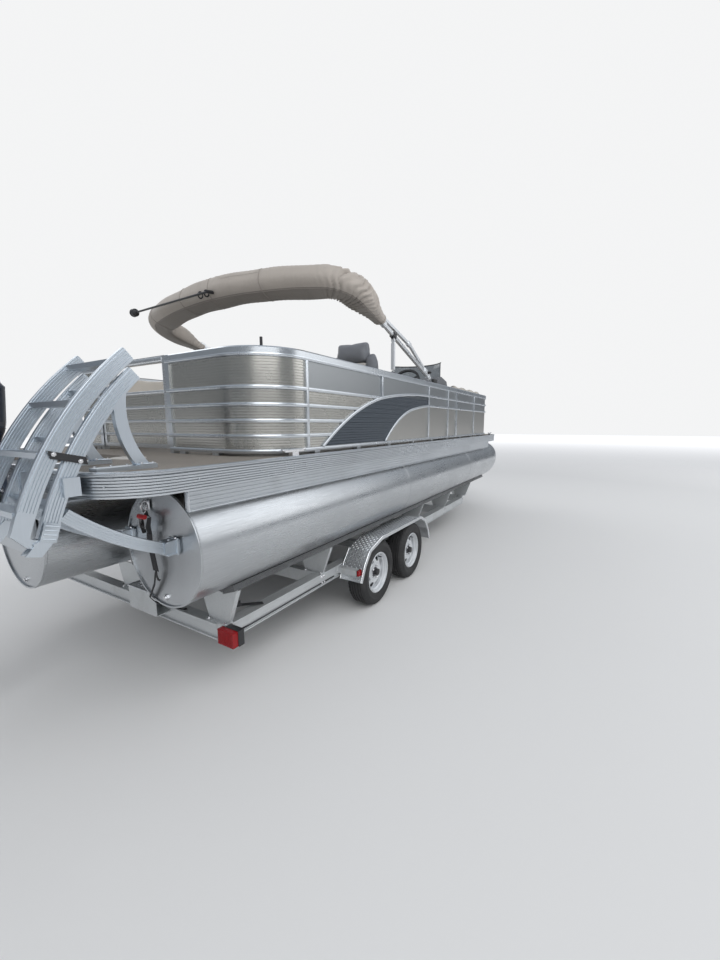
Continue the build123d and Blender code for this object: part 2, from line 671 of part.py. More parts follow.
def jack():
    """Swivel tongue jack, down on its foot plate: tubes, foot, crank handle."""
    y = JACK_Y + 10
    post = rod((JACK_X, y, 150), (JACK_X, y, 780), 29)
    post += rod((JACK_X, y, 8), (JACK_X, y, 160), 23)
    post += block(JACK_X - 80, JACK_X + 80, y - 70, y + 70, 0, 8)
    post += block(JACK_X - 45, JACK_X + 45, 79, y - 10, RAIL_BOTTOM + 5, RAIL_BOTTOM + 95)
    post += rod((JACK_X, y, 780), (JACK_X, y, 822), 33)
    post += rod((JACK_X, y + 20, 800), (JACK_X, y + 150, 800), 8)
    post += rod((JACK_X, y + 142, 800), (JACK_X, y + 142, 900), 12)
    return post


def trailer_lamps():
    """Red tail lamps on the rear beam's ends and small side markers at the fenders."""
    lamps = []
    for side in (-1, 1):
        y0, y1 = sorted((side * (RAIL_Y + 10), side * (RAIL_Y + 140)))
        lamp = block(REAR_BEAM_X - 72, REAR_BEAM_X - 30, y0, y1, RAIL_BOTTOM + 6, RAIL_BOTTOM + 96)
        y0, y1 = sorted((side * (RAIL_Y + 30), side * (RAIL_Y + 140)))
        lamps.append(lamp + block(REAR_BEAM_X - 32, REAR_BEAM_X + 10, y0, y1, RAIL_BOTTOM + 6, RAIL_BOTTOM + 96))
        for x0, x1 in ARMS_X:
            y0, y1 = sorted((side * (HALF_BEAM - 45), side * (HALF_BEAM - 27)))
            lamps.append(block(x0 + 2, x1 - 2, y0, y1, RAIL_BOTTOM + 42, RAIL_BOTTOM + 88) - both_fenders())
    return lamps


def deck():
    """Floor panel with rounded corners and the motor well."""
    face = deck_plan(SKIRT_THICK) - well_plan(0)
    return extrude(Pos(0, 0, DECK_TOP - DECK_THICK) * face, DECK_THICK)


def deck_skirt():
    """Ribbed edge extrusion round the deck with a raised bead, open at the motor well."""
    skirt = ring(deck_plan, 10, SKIRT_THICK, SKIRT_BOTTOM, DECK_TOP)
    low = SKIRT_TOP - BEAD_H
    pitch = (low - SKIRT_BOTTOM) / SKIRT_RIBS
    for i in range(SKIRT_RIBS):
        z = SKIRT_BOTTOM + i * pitch
        skirt += ring(deck_plan, 6, 10, z, z + pitch - 4)
    bead = ring(deck_plan, 0, SKIRT_THICK, low, SKIRT_TOP)
    bead = chamfer(bead.faces().sort_by(Axis.Z)[-1].edges() + bead.faces().sort_by(Axis.Z)[0].edges(), 5)
    skirt += bead + ring(deck_plan, 12, SKIRT_THICK + 8, DECK_TOP, SKIRT_TOP)
    return skirt - extrude(Pos(0, 0, SKIRT_BOTTOM - 10) * well_plan(0), 200)


def ladder_fixed():
    """Fixed half of the boarding ladder: stringers, treads, deck braces, base rails, struts."""
    pieces = Part()
    y0, y1 = LADDER_Y
    for y in LADDER_Y:
        t = STRINGER_T
        pieces += arc_bar(FIXED_ARC, STRINGER_W, y, t)
        pieces += arc_bar(BRACE_ARC, 52, y, t) & block(100, 500, y - 50, y + 50, DECK_TOP + 17, 1900)
        pieces += block(64, 330, y - 32, y + 32, DECK_TOP, DECK_TOP + 18)
        pieces += arc_bar(STRUT_ARC, 52, y, t)
        pieces += block(340, TUBE_AFT, y - 25, y + 25, 1004, 1068)
        pieces += block(-60, 0, y - 34, y + 34, 1362, 1438)
        for side in (-1, 1):
            e0, e1 = sorted((y + side * (t / 2 + 1.5), y + side * (t / 2 + 7.5)))
            ear = side_plate(
                make_face(Polyline((-201, 1160), (-150, 1145), (-88, 1215), (-128, 1236), close=True)), e0, e1
            )
            boss = block(-132, -100, *sorted((y + side * t / 2, e0 if side > 0 else e1)), 1200, 1226)
            pieces += ear + boss
        pin0, pin1 = y - t / 2 - 7.5, y + t / 2 + 7.5
        pieces += rod((LADDER_PIVOT[0], pin0, LADDER_PIVOT[1]), (LADDER_PIVOT[0], pin1, LADDER_PIVOT[1]), 8)
    for share in (0.16, 0.52, 0.86):
        x, z = arc_point(FIXED_ARC, share)
        pieces += block(x - 26, x + 34, y0 + 10, y1 - 10, z - 11, z + 11)
    return pieces - cap_rim(-TUBE_SIDE_Y, TUBE_AFT) - block(0, 60, y0 - 40, y1 + 40, SKIRT_BOTTOM, SKIRT_TOP)


def ladder_flip():
    """Flip-down half of the ladder, folded up against the fixed half."""
    pieces = Part()
    y0, y1 = LADDER_Y
    x0, z0 = FLIP_ARC[0]
    px, pz = LADDER_PIVOT
    for y in LADDER_Y:
        t = STRINGER_T
        pieces += arc_bar(FLIP_ARC, STRINGER_W, y, t)
        lug = make_face(Polyline((x0 - 28, z0 + 12), (px - 24, pz - 8), (px + 22, pz), (x0 + 28, z0 - 8), close=True))
        pieces += side_plate(lug, y - t / 2, y + t / 2)
        pieces += rod((px, y - t / 2, pz), (px, y + t / 2, pz), 19)
    for y in LADDER_Y:
        pieces -= rod((px, y - 40, pz), (px, y + 40, pz), 8.3)
    for share in (0.10, 0.37, 0.65, 0.93):
        x, z = arc_point(FLIP_ARC, share)
        pieces += block(x - 34, x + 26, y0 + 10, y1 - 10, z - 11, z + 11)
    return pieces


def ladder_latch():
    """Black latch straps beside the stringers, bolted to the fixed half."""
    straps = []
    for side, y in ((-1, LADDER_Y[0]), (1, LADDER_Y[1])):
        face = y + side * STRINGER_T / 2
        a0, a1 = sorted((face + side * 6, face + side * 12))
        strap = side_plate(make_face(Polyline((-95, 1548), (-88, 1516), (38, 1484), (31, 1516), close=True)), a0, a1)
        b0, b1 = sorted((face, face + side * 7))
        straps.append(strap + rod((8, b0, 1505), (8, b1, 1505), 11))
    return straps


def top_point(along, y, lift=0.0):
    """Point of the stowed top: distance along the legs, y, height above the legs' plane."""
    t = math.radians(TOP_TILT)
    x = TOP_PIVOT[0] - along * math.cos(t) + lift * math.sin(t)
    z = TOP_PIVOT[1] + along * math.sin(t) + lift * math.cos(t)
    return Vector(x, y, z)


def bow_line(start):
    """Path of the top's bow from one leg round to the other."""
    r = TOP_CORNER_R
    y = TOP_PIVOT_Y
    yc = y - r
    ahead = TOP_REACH - TOP_STRAIGHT
    # Crown circle that meets both corner circles smoothly
    big = (yc**2 + ahead**2 - r**2) / (2 * (ahead - r))
    reach = math.hypot(big - ahead, yc)
    px = TOP_STRAIGHT + r * (big - ahead) / reach
    py = yc + r * yc / reach
    half = (math.pi / 2 + math.atan2(py - yc, px - TOP_STRAIGHT)) / 2
    mx, my = TOP_STRAIGHT + r * math.cos(half), yc + r * math.sin(half)
    points = [(start, y), (TOP_STRAIGHT, y), (mx, my), (px, py), (TOP_REACH, 0)]
    a, b, c, d, e = [top_point(*p) for p in points]
    a2, b2, c2, d2 = [top_point(u, -v) for u, v in points[:4]]
    return Wire([
        Line(a, b), ThreePointArc(b, c, d), ThreePointArc(d, e, d2), ThreePointArc(d2, c2, b2), Line(b2, a2)
    ])


def bow_section(start):
    """Plane square to the leg at the start of the bow line."""
    t = math.radians(TOP_TILT)
    return Plane(top_point(start, TOP_PIVOT_Y), x_dir=(0, 1, 0), z_dir=(-math.cos(t), 0, math.sin(t)))


def top_frame():
    """Legs and bow of the top's frame, of square tube."""
    frame = sweep(bow_section(0) * Rectangle(TOP_TUBE, TOP_TUBE), path=bow_line(0))
    t = math.radians(TOP_TILT)
    for side in (-1, 1):
        y = side * TOP_PIVOT_Y
        plane = Plane((TOP_PIVOT[0], y, TOP_PIVOT[1]), x_dir=(-math.cos(t), 0, math.sin(t)), z_dir=(0, 1, 0))
        foot = extrude(plane.offset(-TOP_TUBE / 2) * Rectangle(24, TOP_TUBE), TOP_TUBE)
        # Second leg: distance along, height above the first
        second = Polyline((140, 24), (620, 90), (1240, 44))
        frame += foot + extrude(plane.offset(-13) * trace(second, line_width=26), 26)
        lug = top_point(STRUT_ALONG, y)
        for e in (-1, 1):
            e0, e1 = sorted((y + e * 11, y + e * 15))
            frame += block(lug.X - 14, lug.X + 14, e0, e1, lug.Z - STRUT_DROP - 14, lug.Z)
        pin_z = lug.Z - STRUT_DROP
        frame += rod((lug.X, y - 15, pin_z), (lug.X, y + 15, pin_z), 5)
        frame -= rod((TOP_PIVOT[0], y - 40, TOP_PIVOT[1]), (TOP_PIVOT[0], y + 40, TOP_PIVOT[1]), 6.3)
    return frame


def top_boot():
    """Rolled canvas in its boot round the frame's bow, hollow where the frame runs."""
    section = RectangleRounded(BOOT_W, BOOT_H, 70) - Rectangle(TOP_TUBE + 0.4, TOP_TUBE + 0.4)
    return sweep(bow_section(BOOT_START) * section, path=bow_line(BOOT_START)) - top_frame()


def top_light():
    """All-round light pole clipped along the boot, with its round lamp."""
    clip, lamp = top_point(*POLE_CLIP), top_point(*POLE_LAMP)
    pole = rod(clip, lamp, 9) + Sphere(34).moved(Location(lamp))
    near, tip = top_point(2080, -60, -60), top_point(2150, -60, -96)
    return pole + rod(near, tip, 14) - top_boot()


def top_mounts():
    """Pivot brackets and strut feet on the fence's top rail, both sides."""
    pieces = []
    for side in (-1, 1):
        y = side * TOP_PIVOT_Y
        x, z = TOP_PIVOT
        base = block(x - 45, x + 45, y - 20, y + 20, FENCE_TOP, FENCE_TOP + 6)
        for e in (-1, 1):
            e0, e1 = sorted((y + e * 16.5, y + e * 20))
            base += block(x - 24, x + 24, e0, e1, FENCE_TOP, z + 18)
        base += rod((x, y - 20, z), (x, y + 20, z), 6)
        pieces.append(base)
        fx = top_point(STRUT_ALONG, y).X
        foot = block(fx - 40, fx + 40, y - 20, y + 20, FENCE_TOP, FENCE_TOP + 6)
        foot += rod((fx, y, FENCE_TOP), (fx, y, FENCE_TOP + 22), 12)
        pieces.append(foot)
    return pieces


def top_struts():
    """Two short struts that hang from the legs and stand on the feet."""
    struts = []
    for side in (-1, 1):
        y = side * TOP_PIVOT_Y
        lug = top_point(STRUT_ALONG, y)
        x, z = lug.X, lug.Z - STRUT_DROP
        bar = block(x - 15, x + 15, y - 15, y + 15, FENCE_TOP + STRUT_GAP, z - 26)
        bar += block(x - 10, x + 10, y - 10, y + 10, z - 30, z + 10)
        bar -= rod((x, y - 30, z), (x, y + 30, z), 5.3)
        struts.append(bar)
    return struts


def lounge_plan(x0, x1, inner, side, inset):
    """Plan of a lounge, kept inside the fence."""
    y0, y1 = sorted((side * (inner + inset), side * HALF_BEAM))
    box = Pos((x0 + x1) / 2, (y0 + y1) / 2) * Rectangle(x1 - x0 - 2 * inset, y1 - y0)
    return box & fence_plan(FENCE_DEPTH + 8 + inset)


def lounge_bases():
    """Moulded lounge bases on the deck, with a toe recess."""
    bases = []
    for x0, x1, inner, side in LOUNGES:
        low = extrude(Pos(0, 0, DECK_TOP) * lounge_plan(x0, x1, inner + 50, side, 0), 80)
        high = extrude(Pos(0, 0, DECK_TOP + 70) * lounge_plan(x0, x1, inner, side, 0), SEAT_BASE_H - 70)
        bases.append(low + high)
    return bases


def lounge_cushions():
    """Seat cushions on the bases."""
    pads = []
    for x0, x1, inner, side in LOUNGES:
        plan = lounge_plan(x0, x1, inner, side, 6)
        pads.append(extrude(Pos(0, 0, DECK_TOP + SEAT_BASE_H) * plan, SEAT_TOP - SEAT_BASE_H))
    return pads


def lounge_backs():
    """Backrests along the fence, leaned a little, on the seat cushions."""
    low = DECK_TOP + SEAT_TOP
    top = FENCE_TOP + BACK_ABOVE
    backs = []
    for x0, x1, inner, side in LOUNGES:
        reach = FENCE_HALF - FENCE_DEPTH - 14
        outline = Polyline(
            (side * reach, low), (side * reach, top - 50), (side * (reach - 50), top),
            (side * (reach - 120), top - 20), (side * (reach - 190), low), close=True,
        )
        a0 = max(x0 + 6, 1330.0)
        a1 = min(x1 - 6, 6050.0)
        plane = Plane((a0, 0, 0), x_dir=(0, 1, 0), z_dir=(1, 0, 0))
        backs.append(extrude(plane * make_face(outline), a1 - a0))
        # Arm rest at the inner end
        e0, e1 = (x0 + 6, x0 + 176) if x0 > 3000 else (x1 - 176, x1 - 6)
        y0, y1 = sorted((side * (reach - 192), side * (inner + 12)))
        backs.append(block(e0, e1, y0, y1, low, low + 300))
    return backs


def chair_pedestals():
    """Pedestals of the two captain's chairs, with their floor flanges."""
    posts = []
    for x, y in CHAIRS:
        post = rod((x, y, DECK_TOP), (x, y, DECK_TOP + 12), 150)
        posts.append(post + rod((x, y, DECK_TOP + 10), (x, y, DECK_TOP + 230), 38))
    return posts


def chair(x, y):
    """Captain's chair: slide plate, seat, wrapped back with head rest and two arms."""
    z = DECK_TOP + 231
    seat = block(x - 150, x + 150, y - 150, y + 150, z, z + 40)
    pad = block(x - 240, x + 260, y - 250, y + 250, z + 40, z + 190)
    seat += fillet(pad.edges().filter_by(Axis.Z), 60)
    back = Polyline((-270, 60), (-170, 60), (-205, 560), (-240, 774), (-315, 765), (-335, 540), close=True)
    plate = side_plate(make_face(back).moved(Location((x, z, 0))), y - 250, y + 250)
    for side in (-1, 1):
        y0, y1 = sorted((y + side * 180, y + side * 260))
        plate -= block(x - 400, x, y0, y1, z + 610, z + 800)
    seat += plate
    for side in (-1, 1):
        y0, y1 = sorted((y + side * 250, y + side * 310))
        seat += block(x - 250, x + 130, y0, y1, z + 280, z + 340)
        seat += block(x - 240, x - 170, y0, y1, z + 90, z + 340)
    return seat


def console():
    """Moulded helm console with a raked dash and the steering column."""
    x0, x1, y0, y1 = CONSOLE
    z = DECK_TOP
    outline = Polyline(
        (x0 + 60, z), (x1, z), (x1 - 20, z + 560), (x1 - 110, z + 745), (x0 + 380, z + 790),
        (x0 + 120, z + 640), (x0 + 20, z + 520), (x0 + 60, z + 480), close=True,
    )
    hub = Vector(*WHEEL_HUB)
    axis = Vector(*WHEEL_AXIS).normalized()
    return side_plate(make_face(outline), y0, y1) + rod(hub - axis * 17, hub - axis * 150, 24)


def windscreen():
    """Low smoked windscreen curved round the console's front."""
    x0, x1, y0, y1 = CONSOLE
    mid = (y0 + y1) / 2
    outer = ThreePointArc((x0 + 400, y0 + 20), (x1 - 130, mid), (x0 + 400, y1 - 20))
    inner = ThreePointArc((x0 + 400, y1 - 26), (x1 - 136, mid), (x0 + 400, y0 + 26))
    face = make_face(Wire([outer, Line(outer @ 1, inner @ 0), inner, Line(inner @ 1, outer @ 0)]))
    return extrude(Pos(0, 0, DECK_TOP + 740) * face, 225) - console()


def steering_wheel():
    """Three-spoke steering wheel on its hub."""
    hub_plane = Plane(WHEEL_HUB, x_dir=(0, 1, 0), z_dir=WHEEL_AXIS)
    rim_ring = hub_plane.offset(-11) * (Circle(WHEEL_RIM_R + 13) - Circle(WHEEL_RIM_R - 13))
    wheel = extrude(rim_ring, 22)
    wheel += extrude(hub_plane.offset(-14) * Circle(38), 30)
    for i in range(3):
        spoke = Pos(WHEEL_RIM_R / 2, 0) * Rectangle(WHEEL_RIM_R, 24)
        wheel += extrude(hub_plane.offset(-5) * spoke.rotate(Axis.Z, 90 + i * 120), 10)
    return wheel


def transom():
    """Motor transom on the centre tube's aft end, with side gussets."""
    x1 = TUBE_CENTRE_AFT - CAP_RIM
    plate = block(x1 - 40, x1, -250, 250, 930, 1330)
    for side in (-1, 1):
        y0, y1 = sorted((side * 230, side * 240))
        outline = make_face(Polyline((x1 - 2, 960), (x1 - 2, 1326), (620, 1345), (620, 1250), close=True))
        plate += side_plate(outline, y0, y1) - hull_space(0, TUBE_CENTRE_AFT - CAP_RIM)
    return plate


def motor_clamp():
    """Clamp brackets hooked over the transom, with the tilt tube between them."""
    x1 = TUBE_CENTRE_AFT - CAP_RIM - 40
    tx, tz = MOTOR_TILT
    clamp = Part()
    for side in (-1, 1):
        y0, y1 = sorted((side * 92, side * 120))
        clamp += block(x1 - 40, x1, y0, y1, 1120, 1330)
        clamp += block(x1 - 60, x1 + 52, y0, y1, 1330, tz + 28)
    clamp += rod((tx, -120, tz), (tx, 120, tz), 15)
    return clamp


def motor_swivel():
    """Swivel bracket: tilt hub, arm and the steering tube behind it."""
    tx, tz = MOTOR_TILT
    sx = MOTOR_STEER_X
    body = rod((tx, -84, tz), (tx, 84, tz), 27)
    arm = Polyline((tx + 5, tz - 26), (tx + 5, tz + 26), (sx, tz + 18), (sx, 1090), (sx + 36, 1090), close=True)
    body += side_plate(make_face(arm), -70, 70)
    body += rod((sx, 0, 1084), (sx, 0, tz + 18), 44)
    body -= rod((sx, 0, 1000), (sx, 0, 1500), 24.4)
    body -= rod((tx, -130, tz), (tx, 130, tz), 15.4)
    return body


def motor_leg():
    """Steering pin, yokes, drive-shaft housing, ventilation plate, gear case and skeg."""
    sx = MOTOR_STEER_X
    leg = rod((sx, 0, 1048), (sx, 0, 1424), 24)
    leg += block(sx - 190, sx + 28, -62, 62, 1402, 1430)
    leg += block(sx - 150, sx + 28, -46, 46, 1046, 1074)
    # Housing sections: middle x, height, length, width
    rows = [(-265.0, 1442.0, 320.0, 190.0), (-215.0, 1180.0, 200.0, 130.0), (-185.0, 720.0, 200.0, 84.0)]
    faces = [Pos(x, 0, z) * Ellipse(a / 2, b / 2) for x, z, a, b in rows]
    leg += loft(faces)
    leg += block(-300, -90, -26, 26, 540, 730)
    leg += extrude(Pos(-215, 0, 705) * Ellipse(215, 100), 12)
    case = Polyline((0, 0), (20, 26), (80, 48), (240, 52), (300, 40), (300, 0), close=True)
    nose = Plane((-30, 0, PROP_Z), x_dir=(-1, 0, 0), z_dir=(0, 0, 1))
    leg += revolve(make_face(case), axis=Axis.X).moved(nose.location)
    skeg = Polyline((-90, PROP_Z - 30), (-260, PROP_Z - 30), (-270, 318), (-190, 300), close=True)
    leg += side_plate(make_face(skeg), -6, 6)
    return leg


def motor_cowl():
    """Engine cover, a loft of rounded sections."""
    # Section: middle x, height, length, width, corner radius
    rows = [
        (-165.0, 1442.0, 420.0, 260.0, 90.0),
        (-165.0, 1620.0, 560.0, 380.0, 120.0),
        (-160.0, 1860.0, 590.0, 400.0, 130.0),
        (-175.0, 2030.0, 430.0, 300.0, 110.0),
    ]
    faces = [Pos(x, 0, z) * RectangleRounded(a, b, r) for x, z, a, b, r in rows]
    return loft(faces, ruled=True)


def propeller():
    """Three-blade propeller on its hub."""
    x = -332.0
    hub = Plane((x, 0, PROP_Z), x_dir=(0, 1, 0), z_dir=(-1, 0, 0))
    prop = extrude(hub * Circle(40), 120)
    for i in range(3):
        blade = Plane((x - 60, 0, PROP_Z), x_dir=(0, 1, 0), z_dir=(-1, 0, 0)) * (Pos(105, 0) * Ellipse(72, 58))
        solid = extrude(blade, 7).rotate(Axis((x - 60, 0, PROP_Z), (0, 1, 0)), 24)
        prop += solid.rotate(Axis((x, 0, PROP_Z), (1, 0, 0)), i * 120)
    return prop


def cleats():
    """Four horn cleats on the deck's edge."""
    horns = []
    for x in (1150.0, 6450.0):
        for side in (-1, 1):
            y = side * 1248.0
            horn = block(x - 30, x + 30, y - 16, y + 16, SKIRT_TOP, SKIRT_TOP + 22)
            horn += block(x - 90, x + 90, y - 9, y + 9, SKIRT_TOP + 22, SKIRT_TOP + 36)
            horns.append(horn)
    return horns


def stern_light():
    """Short socket post of the stern light on the fence's aft corner."""
    x, y = STERN_LIGHT
    return rod((x, y, FENCE_TOP), (x, y, FENCE_TOP + 60), 9) + rod((x, y, FENCE_TOP), (x, y, FENCE_TOP + 8), 16)


def gate_places():
    """Place of each gate leaf's own axes when it is closed."""
    stern = Plane((FENCE_AFT + 6, STERN_GATE[1] - GATE_GAP, 0), x_dir=(0, -1, 0), z_dir=(0, 0, 1))
    bow = Plane((FENCE_BOW - 6, BOW_GATE[0] + GATE_GAP, 0), x_dir=(0, 1, 0), z_dir=(0, 0, 1))
    side = Plane((PORT_GATE[1] - GATE_GAP, FENCE_HALF - 6, 0), x_dir=(-1, 0, 0), z_dir=(0, 0, 1))
    return [stern.location, bow.location, side.location]


def build_all():
    """Every piece by its node name."""
    parts = {}
    parts["trailer_frame"] = trailer_frame() + jack_mount()
    parts["coupler"] = coupler()
    parts["winch_stand"] = winch_stand()
    parts["tongue_jack"] = jack()
    parts["trailer_lamps"] = trailer_lamps()
    parts["bunk_boards"] = bunk_set()
    parts["bunk_brackets"] = bunk_brackets()
    parts["fenders"] = both(fender())
    parts["axles"] = [axle(x) for x in WHEEL_X]
    for axle_name, x in zip(("rear", "front"), WHEEL_X):
        for side_name, y in (("right", -WHEEL_Y), ("left", WHEEL_Y)):
            parts[f"tyre_{axle_name}_{side_name}"] = tyre(x, y)
            parts[f"rim_{axle_name}_{side_name}"] = rim(x, y)
    parts["pontoon_right"] = hull_tube(-TUBE_SIDE_Y, TUBE_AFT)
    parts["pontoon_left"] = hull_tube(TUBE_SIDE_Y, TUBE_AFT)
    parts["pontoon_centre"] = hull_tube(0, TUBE_CENTRE_AFT)
    parts["deck_risers"] = (
        deck_riser(-TUBE_SIDE_Y, TUBE_AFT + 20) + deck_riser(0, WELL_END) + deck_riser(TUBE_SIDE_Y, TUBE_AFT + 20)
    )
    parts["side_aprons"] = [apron(-1), apron(1)]
    parts["deck_bearers"] = bearers()
    parts["deck"] = deck()
    parts["deck_skirt"] = deck_skirt()
    right, left = fence_sections(fence_frame())
    parts["fence_frame_right"] = right + [f for f in fence_feet() if f.center().Y < 0]
    parts["fence_frame_left"] = left + [f for f in fence_feet() if f.center().Y > 0]
    right, left = fence_sections(fence_sheet())
    parts["fence_panel_right"] = right
    parts["fence_panel_left"] = left
    parts["accent_panels"] = both(accent_panels())
    spans = (STERN_GATE, BOW_GATE, PORT_GATE)
    lugs = []
    for name, place, span in zip(("stern", "bow", "side"), gate_places(), spans):
        parts[f"gate_{name}"] = gate(span[1] - span[0] - 2 * GATE_GAP, name == "stern").moved(place)
        lugs += [lug.moved(place) for lug in hinge_lugs()]
    parts["gate_hinges"] = lugs
    parts["top_frame"] = top_frame()
    parts["top_boot"] = top_boot()
    parts["top_light"] = top_light()
    parts["top_mounts"] = top_mounts()
    parts["top_strut_right"], parts["top_strut_left"] = top_struts()
    parts["ladder_fixed"] = ladder_fixed()
    parts["ladder_flip"] = ladder_flip()
    parts["ladder_latch"] = ladder_latch()
    parts["lounge_bases"] = lounge_bases()
    parts["lounge_cushions"] = lounge_cushions()
    parts["lounge_backs"] = lounge_backs()
    parts["chair_pedestals"] = chair_pedestals()
    parts["chair_helm"] = chair(*CHAIRS[0])
    parts["chair_guest"] = chair(*CHAIRS[1])
    parts["console"] = console()
    parts["windscreen"] = windscreen()
    parts["steering_wheel"] = steering_wheel()
    parts["transom"] = transom()
    parts["motor_clamp"] = motor_clamp()
    parts["motor_swivel"] = motor_swivel()
    parts["motor_leg"] = motor_leg()
    parts["motor_cowl"] = motor_cowl()
    parts["propeller"] = propeller()
    parts["cleats"] = cleats()
    parts["stern_light"] = stern_light()
    return parts


if __name__ == "__main__":
    os.makedirs("parts", exist_ok=True)
    for name, shape in build_all().items():
        solids = []
        for piece in shape if isinstance(shape, list) else [shape]:
            solids += [solid.moved(Location((-MIDDLE_X, 0, 0))) for solid in piece.solids()]
        export_step(solids[0] if len(solids) == 1 else Compound(solids), f"parts/{name}.step")
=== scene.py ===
"""Looks of a three-tube pontoon boat parked on its tandem trailer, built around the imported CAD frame."""

import logging
import math
from dataclasses import dataclass, field
from enum import Enum
from typing import Any, Iterable, Sequence

import bmesh
import bpy
import numpy as np
from mathutils import Matrix, Vector
from mathutils.bvhtree import BVHTree

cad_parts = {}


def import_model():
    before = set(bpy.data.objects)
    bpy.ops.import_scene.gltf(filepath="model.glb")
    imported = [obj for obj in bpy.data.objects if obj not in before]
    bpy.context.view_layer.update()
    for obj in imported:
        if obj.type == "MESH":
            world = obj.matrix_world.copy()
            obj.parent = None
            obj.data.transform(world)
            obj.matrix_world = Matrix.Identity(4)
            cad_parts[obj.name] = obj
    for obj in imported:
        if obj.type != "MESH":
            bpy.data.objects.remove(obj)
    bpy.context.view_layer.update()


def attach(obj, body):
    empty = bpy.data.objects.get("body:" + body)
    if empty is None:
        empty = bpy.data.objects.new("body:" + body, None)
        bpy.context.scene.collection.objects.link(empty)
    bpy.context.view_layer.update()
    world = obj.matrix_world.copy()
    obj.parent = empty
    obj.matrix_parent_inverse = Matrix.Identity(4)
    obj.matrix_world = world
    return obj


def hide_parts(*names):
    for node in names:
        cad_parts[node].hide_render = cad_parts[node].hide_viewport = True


LOG = logging.getLogger("boatyard")
MIDDLE = 4.2885  # station of the frame's origin, metres from the deck's aft edge
ROOT = "boat_on_trailer"
PAST_BOW = 9000.0  # a station ahead of the whole boat, in millimetres
Point = Sequence[float]
Pair = tuple[float, float]
Colour = tuple[float, float, float]
Mesh = bpy.types.Mesh
Sockets = dict[str | int, Any]  # values or links by socket name or number


def at(x: float, y: float, z: float) -> Vector:
    """Point of the record frame, from a station, a distance to port and a height in millimetres."""
    return Vector((x / 1000 - MIDDLE, y / 1000, z / 1000))


def mm(value: float) -> float:
    """Millimetres as metres."""
    return value / 1000


def toned(colour: Colour, factor: float, lift: float = 0.0) -> Colour:
    """A colour made darker or lighter, then lifted, no channel over 1."""
    red, green, blue = (min(1.0, c * factor + lift) for c in colour)
    return red, green, blue


def between_sides(side: int, near: float, far: float) -> Pair:
    """Two distances from the centre line on one side of it, as low and high."""
    low, high = sorted((side * near, side * far))
    return low, high


def corners(u0: float, v0: float, u1: float, v1: float) -> tuple[Pair, ...]:
    """The four corners of a flat rectangle, in order round it."""
    return (u0, v0), (u1, v0), (u1, v1), (u0, v1)


def lattice(rows: int, around: int, closed: bool = False) -> list[tuple[int, ...]]:
    """Faces between rows of points that each close on themselves.

    Args:
        rows: how many rows there are.
        around: points in each row.
        closed: whether the last row meets the first.

    Returns:
        The faces, as point numbers.
    """
    faces: list[tuple[int, ...]] = []
    for r in range(rows if closed else rows - 1):
        s = (r + 1) % rows
        for i in range(around):
            j = (i + 1) % around
            faces.append((r * around + i, r * around + j, s * around + j, s * around + i))
    return faces


class Level(Enum):
    """How strongly a metal face shows its rolling streaks."""

    TRACE = 0.1
    FAINT = 0.35
    PLAIN = 1.0
    STRONG = 1.7


class Grain(Enum):
    """Which way a metal's streaks run, as stretch of the noise along x, y and z."""

    ALONG = (1.2, 38.0, 38.0)
    ACROSS = (38.0, 1.2, 38.0)
    UPRIGHT = (34.0, 34.0, 1.0)
    EVEN = (14.0, 14.0, 14.0)


class Value:
    """A shader or geometry socket that Python operators turn into Math nodes."""

    def __init__(self, graph: "Graph", socket: bpy.types.NodeSocket) -> None:
        """Keep the graph and the output socket."""
        self.graph = graph
        self.socket = socket

    def __add__(self, other: "Value | float") -> "Value":
        """Sum."""
        return self.graph.math("ADD", self, other)

    def __radd__(self, other: "Value | float") -> "Value":
        """Sum with a number on the left."""
        return self.graph.math("ADD", other, self)

    def __sub__(self, other: "Value | float") -> "Value":
        """Difference."""
        return self.graph.math("SUBTRACT", self, other)

    def __rsub__(self, other: "Value | float") -> "Value":
        """Difference with a number on the left."""
        return self.graph.math("SUBTRACT", other, self)

    def __mul__(self, other: "Value | float") -> "Value":
        """Product."""
        return self.graph.math("MULTIPLY", self, other)

    def __rmul__(self, other: "Value | float") -> "Value":
        """Product with a number on the left."""
        return self.graph.math("MULTIPLY", other, self)

    def __truediv__(self, other: "Value | float") -> "Value":
        """Quotient."""
        return self.graph.math("DIVIDE", self, other)

    def apply(self, operation: str, *others: "Value | float") -> "Value":
        """Any other Math operation with this value as its first operand."""
        return self.graph.math(operation, self, *others)

    def clipped(self) -> "Value":
        """The value kept between 0 and 1."""
        return Value(self.graph, self.graph.node("ShaderNodeClamp", {}, {"Value": self}).outputs[0])


class Graph:
    """A node tree with one method that makes every node."""

    def __init__(self, tree: bpy.types.NodeTree) -> None:
        """Keep the tree."""
        self.tree = tree

    def node(
        self, kind: str, settings: dict[str, Any] | None = None, sockets: Sockets | None = None
    ) -> bpy.types.Node:
        """Make a node, set it and feed its sockets.

        Args:
            kind: the node's type.
            settings: its own options, such as an operation.
            sockets: values or links by socket name or number.

        Returns:
            The node.
        """
        made = self.tree.nodes.new(kind)
        for key, value in (settings or {}).items():
            setattr(made, key, value)
        for key, value in (sockets or {}).items():
            if isinstance(value, Value):
                self.tree.links.new(value.socket, made.inputs[key])
            else:
                made.inputs[key].default_value = value
        return made

    def out(self, made: bpy.types.Node, name: str | int = 0) -> Value:
        """An output of a node as a value."""
        return Value(self, made.outputs[name])

    def math(self, operation: str, *operands: Value | float) -> Value:
        """A Math node on values and numbers."""
        return self.out(self.node("ShaderNodeMath", {"operation": operation}, dict(enumerate(operands))))


